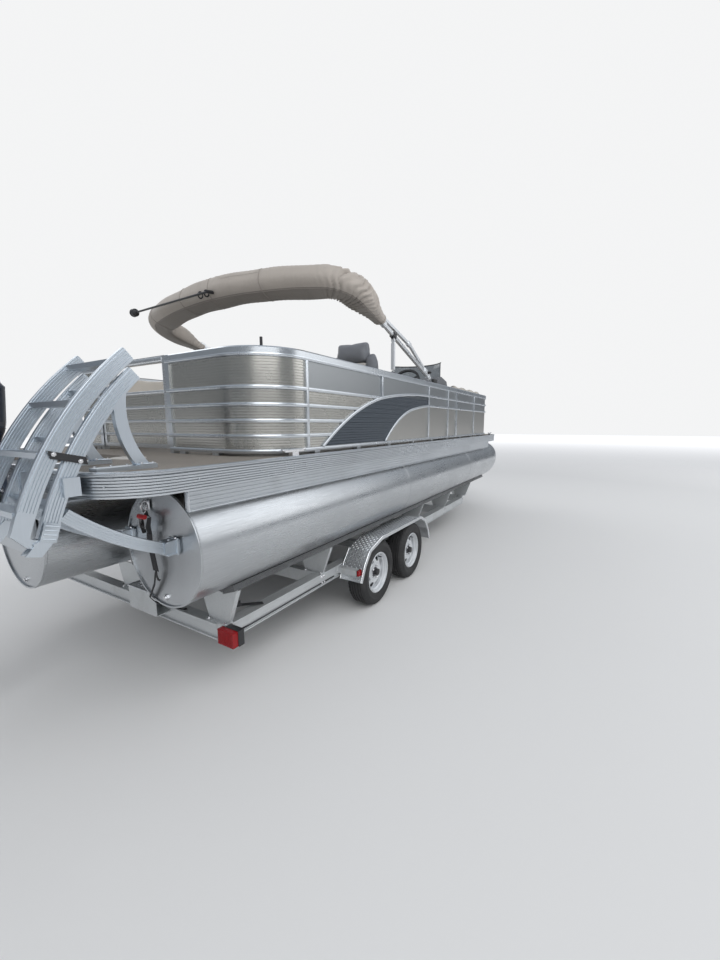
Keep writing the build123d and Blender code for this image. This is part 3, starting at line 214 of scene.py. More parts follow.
class Skin(Graph):
    """A material's shader tree."""

    def __init__(self, name: str) -> None:
        """Start an empty material of that name."""
        self.material = bpy.data.materials.new(name)
        self.material.use_nodes = True
        super().__init__(self.material.node_tree)
        self.tree.nodes.clear()
        self.place = self.out(self.node("ShaderNodeTexCoord"), "Object")

    def stretched(self, scale: Point) -> Value:
        """Coordinates scaled on each axis."""
        return self.out(self.node("ShaderNodeMapping", {}, {"Vector": self.place, "Scale": tuple(scale)}))

    def axis(self, name: str) -> Value:
        """One axis of the coordinates, in metres."""
        return self.out(self.node("ShaderNodeSeparateXYZ", {}, {0: self.place}), name)

    def noise(
        self, scale: float, stretch: Point = (1, 1, 1), detail: float = 3.0, rough: float = 0.5
    ) -> Value:
        """Noise from 0 to 1 on stretched object coordinates."""
        sockets = {"Vector": self.stretched(stretch), "Scale": scale, "Detail": detail, "Roughness": rough}
        return self.out(self.node("ShaderNodeTexNoise", {}, sockets))

    def cells(self, scale: float) -> Value:
        """Distance to the nearest cell centre."""
        sockets = {"Vector": self.stretched((1, 1, 1)), "Scale": scale}
        return self.out(self.node("ShaderNodeTexVoronoi", {}, sockets), "Distance")

    def spread(
        self, value: Value, low: float, high: float, start: float = 0.25, end: float = 0.75
    ) -> Value:
        """A noise value remapped to a range, kept inside it."""
        sockets = {"Value": value, "From Min": start, "From Max": end, "To Min": low, "To Max": high}
        return self.out(self.node("ShaderNodeMapRange", {}, sockets))

    def blend(self, factor: Value | float, first: Value | Colour, second: Value | Colour) -> Value:
        """Mix of two colours."""
        made = self.node("ShaderNodeMix", {"data_type": "RGBA"})
        for index, value in ((0, factor), (6, first), (7, second)):
            if isinstance(value, Value):
                self.tree.links.new(value.socket, made.inputs[index])
            elif index == 0:
                made.inputs[0].default_value = value
            else:
                made.inputs[index].default_value = (*value, 1.0)
        return Value(self, made.outputs[2])

    def bump(
        self, height: Value, distance: float, strength: float = 1.0, under: Value | None = None
    ) -> Value:
        """A normal from a height, over an earlier normal if there is one."""
        sockets: Sockets = {"Height": height, "Distance": distance, "Strength": strength}
        if under is not None:
            sockets["Normal"] = under
        return self.out(self.node("ShaderNodeBump", {}, sockets))

    def ridges(self, position: Value, pitch: float, groove: float) -> Value:
        """Height of flat ribs with narrow round grooves between them, from 0 to 1."""
        turn = (position / pitch).apply("FRACT")
        away = (turn - 0.5).apply("ABSOLUTE") * 2
        return self.spread(away, 1.0, 0.0, 1 - groove, 1.0)

    def surface(self, **sockets: Any) -> bpy.types.Material:
        """Principled surface from socket values, with underscores for blanks.

        Args:
            sockets: values or links by socket name, such as Base_Color.

        Returns:
            The material.
        """
        named = {key.replace("_", " "): value for key, value in sockets.items()}
        for key, value in named.items():
            if isinstance(value, tuple) and len(value) == 3:
                named[key] = (*value, 1.0)
        shader = self.node("ShaderNodeBsdfPrincipled", {}, named)
        self.node("ShaderNodeOutputMaterial", {}, {"Surface": self.out(shader)})
        return self.material


@dataclass(frozen=True)
class Finish:
    """What every finish has: the record's material slot that it stands for, and its colour."""

    slot: str
    colour: Colour

    def paint(self, name: str) -> bpy.types.Material:
        """Build the material, in the way of each kind of finish."""
        raise NotImplementedError(name)


@dataclass(frozen=True)
class Metal(Finish):
    """Bare or plated metal with rolling streaks, cloudy patches and light grime, and painted shade in its
    rib grooves where it has ribs.
    """

    rough: float
    grain: Grain = Grain.ALONG
    streaks: Level = Level.PLAIN
    metallic: float = 1.0
    grime: float = 0.12
    ribs: float = 0.0
    rib_start: float = 0.0
    # how far the rib grooves are darkened, as painted shade
    painted_groove_shade: float = 0.25

    def paint(self, name: str) -> bpy.types.Material:
        """Build the material."""
        s = Skin(name)
        streak = s.noise(6.0, self.grain.value, 4.0, 0.6)
        cloud = s.noise(1.7)
        spots = s.noise(42.0, detail=2.0)
        level = self.streaks.value
        dark = toned(self.colour, 0.80)
        bright = toned(self.colour, 1.07)
        factor = (s.spread(streak, 0.0, 0.6 * level) + s.spread(cloud, 0.0, min(0.45, level))).clipped()
        tint = s.blend(factor, bright, dark)
        dirt = s.spread(s.noise(3.1, (1, 1, 0.6), 5.0, 0.65), 0.0, self.grime, 0.55, 0.8)
        tint = s.blend(dirt, tint, (0.20, 0.18, 0.15))
        rough = (
            s.spread(streak, self.rough - 0.05 * level, self.rough + 0.08 * level)
            + s.spread(cloud, -0.03, 0.05 * level)
        )
        rough = (rough + dirt * 0.8).clipped()
        height = streak * 0.7 + spots * 0.3
        normal = s.bump(height, 0.00022 * level, 0.4)
        if self.ribs:
            lines = s.ridges(s.axis("Z") - self.rib_start, self.ribs, 0.30)
            normal = s.bump(lines, 0.0022, 1.0, normal)
            # painted shade: the colour is darkened in the grooves between the ribs
            tint = s.blend(s.spread(lines, self.painted_groove_shade, 0.0, 0.0, 0.6), tint, toned(self.colour, 0.35))
        return s.surface(Base_Color=tint, Metallic=self.metallic, Roughness=rough, Normal=normal)


@dataclass(frozen=True)
class Floor(Finish):
    """Woven vinyl flooring: crossed yarns of two near colours, a little walked on."""

    yarn: float = 0.0045

    def paint(self, name: str) -> bpy.types.Material:
        """Build the material."""
        s = Skin(name)
        warp = ((s.axis("X") / self.yarn * math.pi).apply("SINE")).apply("ABSOLUTE")
        weft = ((s.axis("Y") / self.yarn * math.pi).apply("SINE")).apply("ABSOLUTE")
        over = ((s.axis("X") / self.yarn).apply("FLOOR") + (s.axis("Y") / self.yarn).apply("FLOOR")) * 0.5
        pick = over.apply("FRACT").apply("GREATER_THAN", 0.25)
        height = pick * warp + (1 - pick) * weft
        streak = s.spread(s.noise(9.0, (1.0, 26.0, 1.0), 3.0), 0.0, 0.8)
        worn = s.spread(s.noise(1.3, detail=4.0), 0.0, 0.5)
        light = toned(self.colour, 1.25)
        dark = toned(self.colour, 0.62)
        tint = s.blend(pick * 0.5 + streak * 0.5, light, dark)
        tint = s.blend(worn * 0.5, tint, (0.46, 0.42, 0.37))
        return s.surface(
            Base_Color=tint, Roughness=s.spread(worn, 0.62, 0.78, 0.0, 0.5),
            Normal=s.bump(height, 0.0012, 0.8)
        )


@dataclass(frozen=True)
class Vinyl(Finish):
    """Grained upholstery vinyl, with sewn pleats along the boat where a pitch is given, their seams
    darkened as painted shade.
    """

    pleat: float = 0.0
    rough: float = 0.5

    def paint(self, name: str) -> bpy.types.Material:
        """Build the material."""
        s = Skin(name)
        pores = s.cells(420.0)
        painted_crease_shades = s.noise(60.0, detail=4.0, rough=0.6)
        soft = s.spread(s.noise(2.4), 0.0, 0.5)
        tint = s.blend(soft, self.colour, toned(self.colour, 0.86))
        rub = s.spread(s.noise(5.0, (1, 1, 2.0), 5.0), 0.0, 0.25, 0.55, 0.8)
        tint = s.blend(rub, tint, toned(self.colour, 1.12))
        normal = s.bump(pores * 0.6 + painted_crease_shades * 0.7, 0.0009, 0.55)
        if self.pleat:
            seam = s.ridges(s.axis("X"), self.pleat, 0.10)
            normal = s.bump(seam, 0.006, 0.9, normal)
            # painted shade: the colour is darkened in the pleats' seam grooves
            tint = s.blend(s.spread(seam, 0.35, 0.0, 0.0, 0.7), tint, toned(self.colour, 0.55))
        rough = s.spread(painted_crease_shades, self.rough - 0.06, self.rough + 0.1)
        return s.surface(Base_Color=tint, Roughness=rough, Normal=normal, Specular_IOR_Level=0.42)


class Canvas(Finish):
    """Acrylic boat canvas: plain weave, faded on top, creased and a little stained, with painted shade in
    its folds.
    """

    def paint(self, name: str) -> bpy.types.Material:
        """Build the material."""
        s = Skin(name)
        turns = math.pi / 0.0018  # a yarn every 1.8 mm
        across = ((s.axis("X") + s.axis("Z")) * turns).apply("SINE")
        along = (s.axis("Y") * turns).apply("SINE")
        weave = (across * along) * 0.5 + 0.5
        fade = s.spread(s.noise(1.6, detail=4.0), 0.0, 0.7)
        stain = s.spread(s.noise(4.2, (1, 1, 0.5), 5.0, 0.65), 0.0, 0.45, 0.52, 0.78)
        crumple = s.noise(22.0, detail=5.0, rough=0.6)
        tint = s.blend(fade, self.colour, toned(self.colour, 1.2))
        tint = s.blend(stain, tint, toned(self.colour, 0.72))
        tint = s.blend(weave * 0.22, tint, toned(self.colour, 0.6))
        # painted shade: the colour is darkened in the folds' valleys, by an attribute that the boot sets
        painted_crease_shade = s.out(s.node("ShaderNodeAttribute", {"attribute_name": "painted_crease_shade"}), "Fac")
        tint = s.blend(painted_crease_shade * 0.6, tint, toned(self.colour, 0.35))
        normal = s.bump(crumple, 0.004, 0.5)
        normal = s.bump(weave, 0.0005, 0.5, normal)
        return s.surface(
            Base_Color=tint, Roughness=s.spread(crumple, 0.82, 0.95), Normal=normal, Sheen_Weight=0.2
        )


@dataclass(frozen=True)
class Moulding(Finish):
    """Moulded plastic with an orange-peel face and fine scuffs."""

    rough: float = 0.45
    peel: float = 0.0004

    def paint(self, name: str) -> bpy.types.Material:
        """Build the material."""
        s = Skin(name)
        peel = s.noise(260.0, detail=2.0)
        scuff = s.spread(s.noise(11.0, (1, 3.0, 1), 6.0, 0.7), 0.0, 0.35, 0.56, 0.75)
        tint = s.blend(scuff, self.colour, toned(self.colour, 1.6, 0.03))
        rough = s.spread(peel, self.rough - 0.05, self.rough + 0.08) + scuff * 0.3
        return s.surface(Base_Color=tint, Roughness=rough, Normal=s.bump(peel, self.peel, 0.5))


@dataclass(frozen=True)
class Gloss(Finish):
    """Sprayed paint under clear coat, with a fine flake and a light film of dust."""

    flake: float = 0.4
    metallic: float = 0.25

    def paint(self, name: str) -> bpy.types.Material:
        """Build the material."""
        s = Skin(name)
        fleck = s.spread(s.noise(900.0, detail=1.0), 0.0, self.flake, 0.5, 0.8)
        dust = s.spread(s.noise(2.2, (1, 1, 0.5), 5.0), 0.0, 0.22, 0.5, 0.8)
        tint = s.blend(fleck, self.colour, toned(self.colour, 2.2, 0.02))
        tint = s.blend(dust, tint, (0.34, 0.32, 0.29))
        coat = 1 - dust * 2.0
        return s.surface(
            Base_Color=tint, Metallic=self.metallic, Roughness=0.28 + dust, Coat_Weight=coat,
            Coat_Roughness=0.06
        )


class Rubber(Finish):
    """Tyre rubber: near black, chalky where it flexes."""

    def paint(self, name: str) -> bpy.types.Material:
        """Build the material."""
        s = Skin(name)
        chalk = s.spread(s.noise(7.0, detail=5.0, rough=0.65), 0.0, 0.35, 0.45, 0.8)
        fine = s.noise(300.0)
        tint = s.blend(chalk, self.colour, (0.11, 0.105, 0.10))
        return s.surface(Base_Color=tint, Roughness=0.72 + chalk * 0.4, Normal=s.bump(fine, 0.0005, 0.6))


class Carpet(Finish):
    """Looped bunk carpet, matted and speckled."""

    def paint(self, name: str) -> bpy.types.Material:
        """Build the material."""
        s = Skin(name)
        loops = s.cells(260.0)
        mat = s.spread(s.noise(6.0, detail=4.0), 0.0, 0.7)
        tint = s.blend(mat, self.colour, toned(self.colour, 2.1))
        tint = s.blend(s.spread(loops, 0.5, 0.0, 0.1, 0.6), tint, (0.3, 0.3, 0.29))
        return s.surface(
            Base_Color=tint, Roughness=0.95, Normal=s.bump(loops, 0.003, 0.9), Sheen_Weight=0.25
        )


@dataclass(frozen=True)
class Lens(Finish):
    """Moulded lamp lens with fine prisms, its colour lighter on the prisms as a painted reflection of a
    reflector behind it.
    """

    prism: float = 0.006

    def paint(self, name: str) -> bpy.types.Material:
        """Build the material."""
        s = Skin(name)
        rows = (s.axis("Z") * (math.pi / self.prism)).apply("SINE")
        lines = (s.axis("Y") * (math.pi / self.prism)).apply("SINE")
        cut = (rows * lines).apply("ABSOLUTE")
        # painted reflection: the colour is lighter on the prisms, standing in for a reflector behind the
        # lens
        tint = s.blend(cut, toned(self.colour, 0.45), self.colour)
        film = s.spread(s.noise(12.0, detail=4.0), 0.08, 0.24)
        return s.surface(
            Base_Color=tint, Roughness=film, Normal=s.bump(cut, 0.0012, 0.7), Specular_IOR_Level=0.35
        )


class Smoked(Finish):
    """Smoked acrylic sheet with a thin film of dust."""

    def paint(self, name: str) -> bpy.types.Material:
        """Build the material."""
        s = Skin(name)
        dust = s.spread(s.noise(4.0, (1, 1, 2.5), 5.0), 0.03, 0.16)
        ripple = s.noise(3.0, detail=2.0)
        return s.surface(
            Base_Color=self.colour, Roughness=dust, Transmission_Weight=0.85, IOR=1.49,
            Normal=s.bump(ripple, 0.002, 0.3),
        )


class Webbing(Finish):
    """Flat polyester strap, or heavy thread, with a diagonal rib weave."""

    def paint(self, name: str) -> bpy.types.Material:
        """Build the material."""
        s = Skin(name)
        lean = s.axis("X") + s.axis("Y") * 1.3 + s.axis("Z")
        rib = (lean * (math.pi / 0.0022)).apply("SINE") * 0.5 + 0.5
        fuzz = s.noise(90.0, detail=4.0)
        tint = s.blend(rib * 0.5 + fuzz * 0.3, self.colour, toned(self.colour, 1.9, 0.01))
        return s.surface(
            Base_Color=tint, Roughness=s.spread(fuzz, 0.7, 0.9), Normal=s.bump(rib, 0.0007, 0.8)
        )


FINISHES: dict[str, Finish] = {
    "hull_mill": Metal("mill_aluminium", (0.57, 0.59, 0.61), 0.27, Grain.ALONG, Level.PLAIN, grime=0.07),
    "hull_cap": Metal("mill_aluminium", (0.58, 0.60, 0.62), 0.30, Grain.UPRIGHT, Level.STRONG, grime=0.2),
    "apron_mill": Metal("mill_aluminium", (0.55, 0.58, 0.61), 0.32, Grain.ALONG, Level.FAINT),
    "edge_trim": Metal("brushed_trim", (0.64, 0.67, 0.70), 0.26, Grain.ALONG, Level.FAINT, grime=0.08),
    # painted shade darkens the grooves of its ribs
    "skirt_trim": Metal(
        "brushed_trim", (0.58, 0.61, 0.64), 0.29, Grain.ALONG, Level.FAINT, grime=0.1, ribs=0.013,
        rib_start=1.338
    ),
    "frame_trim": Metal("brushed_trim", (0.62, 0.65, 0.68), 0.29, Grain.ALONG, Level.TRACE, grime=0.08),
    "gate_trim": Metal("brushed_trim", (0.68, 0.70, 0.72), 0.28, Grain.ACROSS, Level.FAINT, grime=0.08),
    "ladder_trim": Metal("brushed_trim", (0.60, 0.65, 0.70), 0.32, Grain.UPRIGHT, Level.FAINT, grime=0.1),
    "top_trim": Metal(
        "brushed_trim", (0.78, 0.80, 0.82), 0.34, Grain.ALONG, Level.FAINT, metallic=0.7, grime=0.1
    ),
    "trailer_metal": Metal(
        "trailer_aluminium", (0.62, 0.64, 0.65), 0.42, Grain.ALONG, Level.PLAIN, metallic=0.6, grime=0.25
    ),
    "fender_metal": Metal(
        "brushed_trim", (0.62, 0.64, 0.66), 0.32, Grain.ALONG, Level.FAINT, metallic=0.8, grime=0.2
    ),
    "fender_lip": Metal("brushed_trim", (0.82, 0.83, 0.84), 0.18, Grain.ALONG, Level.FAINT, grime=0.1),
    "panel_ribbed": Metal(
        "panel_champagne", (0.55, 0.54, 0.505), 0.28, Grain.ALONG, Level.TRACE, grime=0.06
    ),
    "panel_smooth": Metal(
        "panel_champagne", (0.36, 0.375, 0.385), 0.36, Grain.ALONG, Level.TRACE, grime=0.06
    ),
    "panel_plain": Metal(
        "panel_champagne", (0.44, 0.43, 0.405), 0.36, Grain.ALONG, Level.TRACE, grime=0.06
    ),
    # painted shade darkens the grooves of its ribs strongly
    "accent_ribbed": Metal(
        "accent_charcoal", (0.10, 0.118, 0.14), 0.32, Grain.ALONG, Level.TRACE, metallic=0.7, ribs=0.02,
        painted_groove_shade=0.7
    ),
    "zinc": Metal("zinc_steel", (0.50, 0.51, 0.52), 0.46, Grain.EVEN, Level.STRONG, grime=0.35),
    "bright_steel": Metal("stainless", (0.74, 0.74, 0.75), 0.16, Grain.EVEN, Level.FAINT, grime=0.05),
    "prop_polish": Metal("prop_steel", (0.68, 0.68, 0.69), 0.14, Grain.EVEN, Level.FAINT, grime=0.08),
    "wheel_paint": Metal(
        "wheel_silver", (0.62, 0.64, 0.66), 0.42, Grain.EVEN, Level.FAINT, metallic=0.25, grime=0.3
    ),
    "hub_dark": Metal(
        "zinc_steel", (0.10, 0.10, 0.11), 0.45, Grain.EVEN, Level.PLAIN, metallic=0.7, grime=0.3
    ),
    "deck_weave": Floor("deck_vinyl", (0.20, 0.178, 0.155)),
    "seat_cover": Vinyl("seat_vinyl", (0.60, 0.56, 0.50), pleat=0.145),
    "back_cover": Vinyl("seat_vinyl", (0.45, 0.42, 0.375)),
    "seat_piping": Vinyl("seat_vinyl", (0.20, 0.20, 0.21), rough=0.42),
    "chair_dark": Vinyl("chair_vinyl", (0.19, 0.20, 0.22)),
    "chair_light": Vinyl("chair_vinyl", (0.56, 0.51, 0.45)),
    "base_moulding": Moulding("moulding_grey", (0.50, 0.48, 0.45), 0.42),
    "console_moulding": Moulding("moulding_grey", (0.13, 0.135, 0.145), 0.40),
    "console_pale": Moulding("moulding_grey", (0.46, 0.44, 0.41), 0.36),
    "black_plastic": Moulding("black_plastic", (0.022, 0.022, 0.024), 0.42),
    "dial_face": Moulding("black_plastic", (0.012, 0.012, 0.014), 0.2, 0.0001),
    "dial_mark": Moulding("moulding_grey", (0.75, 0.75, 0.74), 0.5, 0.0001),
    "smoked": Smoked("smoked_screen", (0.20, 0.22, 0.24)),
    "boot_canvas": Canvas("canvas_taupe", (0.40, 0.362, 0.325)),
    # painted shade: a darker copy of the canvas for the boot's underside
    "boot_underside_shade": Canvas("canvas_taupe", (0.22, 0.20, 0.18)),
    "boot_seam": Canvas("canvas_taupe", (0.27, 0.245, 0.22)),
    "bunk_carpet": Carpet("carpet_grey", (0.045, 0.048, 0.052)),
    "tyre": Rubber("tyre_rubber", (0.022, 0.022, 0.023)),
    "lens_red": Lens("lamp_red", (0.36, 0.004, 0.008)),
    "motor_paint": Gloss("motor_navy", (0.018, 0.026, 0.045)),
    "motor_grey": Gloss("motor_navy", (0.09, 0.10, 0.12), 0.2, 0.5),
    "strap_black": Webbing("black_plastic", (0.018, 0.018, 0.02)),
    "handle_red": Moulding("lamp_red", (0.42, 0.015, 0.02), 0.38),
    "thread": Webbing("seat_vinyl", (0.34, 0.32, 0.29))
}


class Bench:
    """Keeps the finishes, turns point lists into meshes and hands each piece to the frame."""

    def __init__(self) -> None:
        """Start with no finish painted."""
        self.painted: dict[str, bpy.types.Material] = {}
        self.slots: dict[str, str] = {}
        self.trees = PathTools(self)

    def skin(self, finish: str) -> bpy.types.Material:
        """The material of a finish, painted once."""
        if finish not in self.painted:
            made = FINISHES[finish].paint(finish)
            self.painted[finish] = made
            self.slots[made.name] = FINISHES[finish].slot
        return self.painted[finish]

    def mesh(self, points: Iterable[Point], faces: Iterable[Sequence[int]], finish: str) -> Mesh:
        """A mesh from points in metres and faces, with its finish."""
        made = bpy.data.meshes.new("stock")
        made.from_pydata([tuple(p) for p in points], [], [tuple(f) for f in faces])
        made.materials.append(self.skin(finish))
        made.update()
        return made

    def solid(self, tool: bmesh.types.BMesh, finish: str) -> Mesh:
        """A mesh from a bmesh, normals outward, with its finish."""
        bmesh.ops.remove_doubles(tool, verts=tool.verts, dist=1e-6)
        bmesh.ops.recalc_face_normals(tool, faces=tool.faces)
        made = bpy.data.meshes.new("stock")
        tool.to_mesh(made)
        tool.free()
        made.materials.append(self.skin(finish))
        return made

    def shell(self, points: Iterable[Point], faces: Iterable[Sequence[int]], finish: str) -> Mesh:
        """A mesh from points and faces, its doubles joined and its normals outward."""
        tool = bmesh.new()
        tool.from_mesh(self.mesh(points, faces, finish))
        return self.solid(tool, finish)

    def box(self, low: Point, high: Point, finish: str, round_edge: float = 0.0) -> Mesh:
        """A bar or plate between two corners in metres, with rounded edges.

        Args:
            low: lowest corner.
            high: highest corner.
            finish: name of its finish.
            round_edge: radius of its edges in metres.

        Returns:
            The mesh.
        """
        tool = bmesh.new()
        size = Vector(high) - Vector(low)
        middle = (Vector(high) + Vector(low)) / 2
        bmesh.ops.create_cube(
            tool, size=1.0, matrix=Matrix.Translation(middle) @ Matrix.Diagonal((*size, 1.0))
        )
        if round_edge:
            bmesh.ops.bevel(
                tool, geom=tool.edges[:], offset=round_edge, segments=3, profile=0.5, affect="EDGES"
            )
        return self.solid(tool, finish)

    def spun(
        self, profile: Sequence[Pair], centre: Point, axis: Point, finish: str, steps: int = 32,
        closed: bool = False,
    ) -> Mesh:
        """A turned piece.

        Args:
            profile: pairs of distance along the axis and radius, in metres.
            centre: point the distances start from.
            axis: direction of the axis.
            finish: name of its finish.
            steps: facets round it.
            closed: whether the profile is a loop that doesn't meet the axis.

        Returns:
            The mesh.
        """
        turn = Vector(axis).normalized().to_track_quat("Z", "Y").to_matrix()
        points: list[Vector] = []
        for along, radius in profile:
            for i in range(steps):
                a = 2 * math.pi * i / steps
                local = Vector((radius * math.cos(a), radius * math.sin(a), along))
                points.append(Vector(centre) + turn @ local)
        faces = lattice(len(profile), steps, closed)
        if not closed:
            faces += [tuple(range(steps - 1, -1, -1)), tuple(range(len(points) - steps, len(points)))]
        return self.shell(points, faces, finish)

    def plate(self, outline: Sequence[Point], depth: Vector, finish: str, round_edge: float = 0.0) -> Mesh:
        """A flat outline of points pushed along a vector, with rounded edges."""
        tool = bmesh.new()
        near = [tool.verts.new(Vector(p)) for p in outline]
        far = [tool.verts.new(Vector(p) + depth) for p in outline]
        tool.faces.new(near)
        tool.faces.new(far)
        for i in range(len(near)):
            j = (i + 1) % len(near)
            tool.faces.new((near[i], near[j], far[j], far[i]))
        bmesh.ops.recalc_face_normals(tool, faces=tool.faces)
        if round_edge:
            sharp = [e for e in tool.edges if len(e.link_faces) == 2 and e.calc_face_angle(0) > 0.5]
            bmesh.ops.bevel(tool, geom=sharp, offset=round_edge, segments=2, profile=0.5, affect="EDGES")
        return self.solid(tool, finish)

    def piece(
        self, name: str, parts: Sequence[Mesh], body: str = ROOT, replaces: Sequence[str] = (),
        sharp: float = 32.0,
    ) -> bpy.types.Object:
        """Join meshes into one named piece that rides on a body.

        Args:
            name: the piece's name.
            parts: meshes in the record frame, each with its finish.
            body: the body it rides on.
            replaces: CAD nodes it stands for.
            sharp: angle in degrees above which an edge stays crisp.

        Returns:
            The object.
        """
        tool = bmesh.new()
        skins: list[bpy.types.Material] = []
        for part in parts:
            start = len(tool.faces)
            tool.from_mesh(part)
            tool.faces.ensure_lookup_table()
            links = []
            for skin in part.materials:
                if skin not in skins:
                    skins.append(skin)
                links.append(skins.index(skin))
            for face in tool.faces[start:]:
                face.material_index = links[face.material_index] if links else 0
        made = bpy.data.meshes.new(name)
        tool.to_mesh(made)
        tool.free()
        for skin in skins:
            made.materials.append(skin)
        made.shade_smooth()
        made.set_sharp_from_angle(angle=math.radians(sharp))
        thing = bpy.data.objects.new(name, made)
        bpy.context.scene.collection.objects.link(thing)
        return self.hand_over(thing, body, replaces)

    def hand_over(
        self, thing: bpy.types.Object, body: str, replaces: Sequence[str] = ()
    ) -> bpy.types.Object:
        """Let a finished object ride on its body and hide the CAD nodes it replaces."""
        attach(thing, body)
        if replaces:
            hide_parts(*replaces)
        LOG.info("%s on %s, %d faces", thing.name, body, len(thing.data.polygons))
        return thing


class PathTools:
    """The geometry trees that sweep a section along paths and set copies on points."""

    def __init__(self, bench: Bench) -> None:
        """Build the two trees once."""
        self.bench = bench
        self.sweep_tree, self.sweep_keys = self.build_sweep()
        self.copy_tree, self.copy_keys = self.build_copies()

    @staticmethod
    def sockets(tree: bpy.types.NodeTree, inputs: Sequence[tuple[str, str]]) -> dict[str, str]:
        """Declare a tree's geometry in and out and its named inputs; return their identifiers by name."""
        tree.interface.new_socket(name="Geometry", in_out="OUTPUT", socket_type="NodeSocketGeometry")
        tree.interface.new_socket(name="Geometry", in_out="INPUT", socket_type="NodeSocketGeometry")
        made = {}
        for name, kind in inputs:
            made[name] = tree.interface.new_socket(name=name, in_out="INPUT", socket_type=kind).identifier
        return made

    def build_sweep(self) -> tuple[bpy.types.NodeTree, dict[str, str]]:
        """Tree that carries a section along every path of a wire mesh, its width kept level."""
        tree = bpy.data.node_groups.new("section_along_path", "GeometryNodeTree")
        keys = self.sockets(
            tree, [("Section", "NodeSocketObject"), ("Section Scale", "NodeSocketFloat"),
                   ("Capped", "NodeSocketBool"), ("Finish", "NodeSocketMaterial")],
        )
        g = Graph(tree)
        into = g.node("NodeGroupInput")
        path = g.node("GeometryNodeMeshToCurve", {}, {0: g.out(into, "Geometry")})
        level = g.node("GeometryNodeSetCurveNormal", {"mode": "Z_UP"}, {0: g.out(path)})
        held = g.node("GeometryNodeObjectInfo", {}, {0: g.out(into, "Section")})
        section = g.node("GeometryNodeMeshToCurve", {}, {0: g.out(held, "Geometry")})
        swept = g.node(
            "GeometryNodeCurveToMesh", {},
            {0: g.out(level), 1: g.out(section), "Scale": g.out(into, "Section Scale"),
             "Fill Caps": g.out(into, "Capped")},
        )
        real = g.node("GeometryNodeRealizeInstances", {}, {0: g.out(swept)})
        done = g.node("GeometryNodeSetMaterial", {}, {0: g.out(real), "Material": g.out(into, "Finish")})
        g.node("NodeGroupOutput", {}, {0: g.out(done)})
        return tree, keys

    def build_copies(self) -> tuple[bpy.types.NodeTree, dict[str, str]]:
        """Tree that sets a copy of one small piece on every point, turned by the point's own turn."""
        tree = bpy.data.node_groups.new("copies_on_points", "GeometryNodeTree")
        keys = self.sockets(
            tree,
            [
                ("Copy", "NodeSocketObject"), ("Copy Size", "NodeSocketFloat"),
                ("Size Spread", "NodeSocketFloat"), ("Seed", "NodeSocketInt"),
                ("Finish", "NodeSocketMaterial")
            ],
        )
        g = Graph(tree)
        into = g.node("NodeGroupInput")
        held = g.node("GeometryNodeObjectInfo", {}, {0: g.out(into, "Copy")})
        turn = g.node("GeometryNodeInputNamedAttribute", {"data_type": "FLOAT_VECTOR"}, {"Name": "turn"})
        spin = g.node("FunctionNodeEulerToRotation", {}, {0: g.out(turn)})
        low = 1 - g.out(into, "Size Spread")
        high = 1 + g.out(into, "Size Spread")
        vary = g.node("FunctionNodeRandomValue", {"data_type": "FLOAT"}, {"Seed": g.out(into, "Seed")})
        pick = [s for s in vary.inputs if s.enabled and s.name in ("Min", "Max")]
        tree.links.new(low.socket, pick[0])
        tree.links.new(high.socket, pick[1])
        drawn = next(s for s in vary.outputs if s.enabled)
        size = Value(g, drawn) * g.out(into, "Copy Size")
        copies = g.node(
            "GeometryNodeInstanceOnPoints", {},
            {
                "Points": g.out(into, "Geometry"), "Instance": g.out(held, "Geometry"),
                "Rotation": g.out(spin), "Scale": size
            },
        )
        real = g.node("GeometryNodeRealizeInstances", {}, {0: g.out(copies)})
        done = g.node("GeometryNodeSetMaterial", {}, {0: g.out(real), "Material": g.out(into, "Finish")})
        g.node("NodeGroupOutput", {}, {0: g.out(done)})
        return tree, keys

    def wire(self, loops: Sequence[Sequence[Point]], closed: bool) -> bpy.types.Object:
        """A wire object from point lists, linked so that the trees can read it."""
        points: list[tuple[float, ...]] = []
        edges: list[tuple[int, int]] = []
        for loop in loops:
            start = len(points)
            points += [tuple(p) if len(p) == 3 else (p[0], p[1], 0.0) for p in loop]
            edges += [(start + i, start + i + 1) for i in range(len(loop) - 1)]
            if closed:
                edges.append((len(points) - 1, start))
        made = bpy.data.meshes.new("wire")
        made.from_pydata(points, edges, [])
        thing = bpy.data.objects.new("wire", made)
        bpy.context.scene.collection.objects.link(thing)
        return thing

    def run(
        self, base: bpy.types.Object, tree: bpy.types.NodeTree, values: dict[str, Any],
        helper: bpy.types.Object
    ) -> Mesh:
        """Evaluate a tree on a base object, keep the mesh and clear the helpers away."""
        modifier = base.modifiers.new("tree", "NODES")
        modifier.node_group = tree
        for key, value in values.items():
            modifier[key] = value
        graph = bpy.context.evaluated_depsgraph_get()
        made = bpy.data.meshes.new_from_object(base.evaluated_get(graph), depsgraph=graph)
        for thing in (base, helper):
            old = thing.data
            bpy.data.objects.remove(thing)
            bpy.data.meshes.remove(old)
        return made

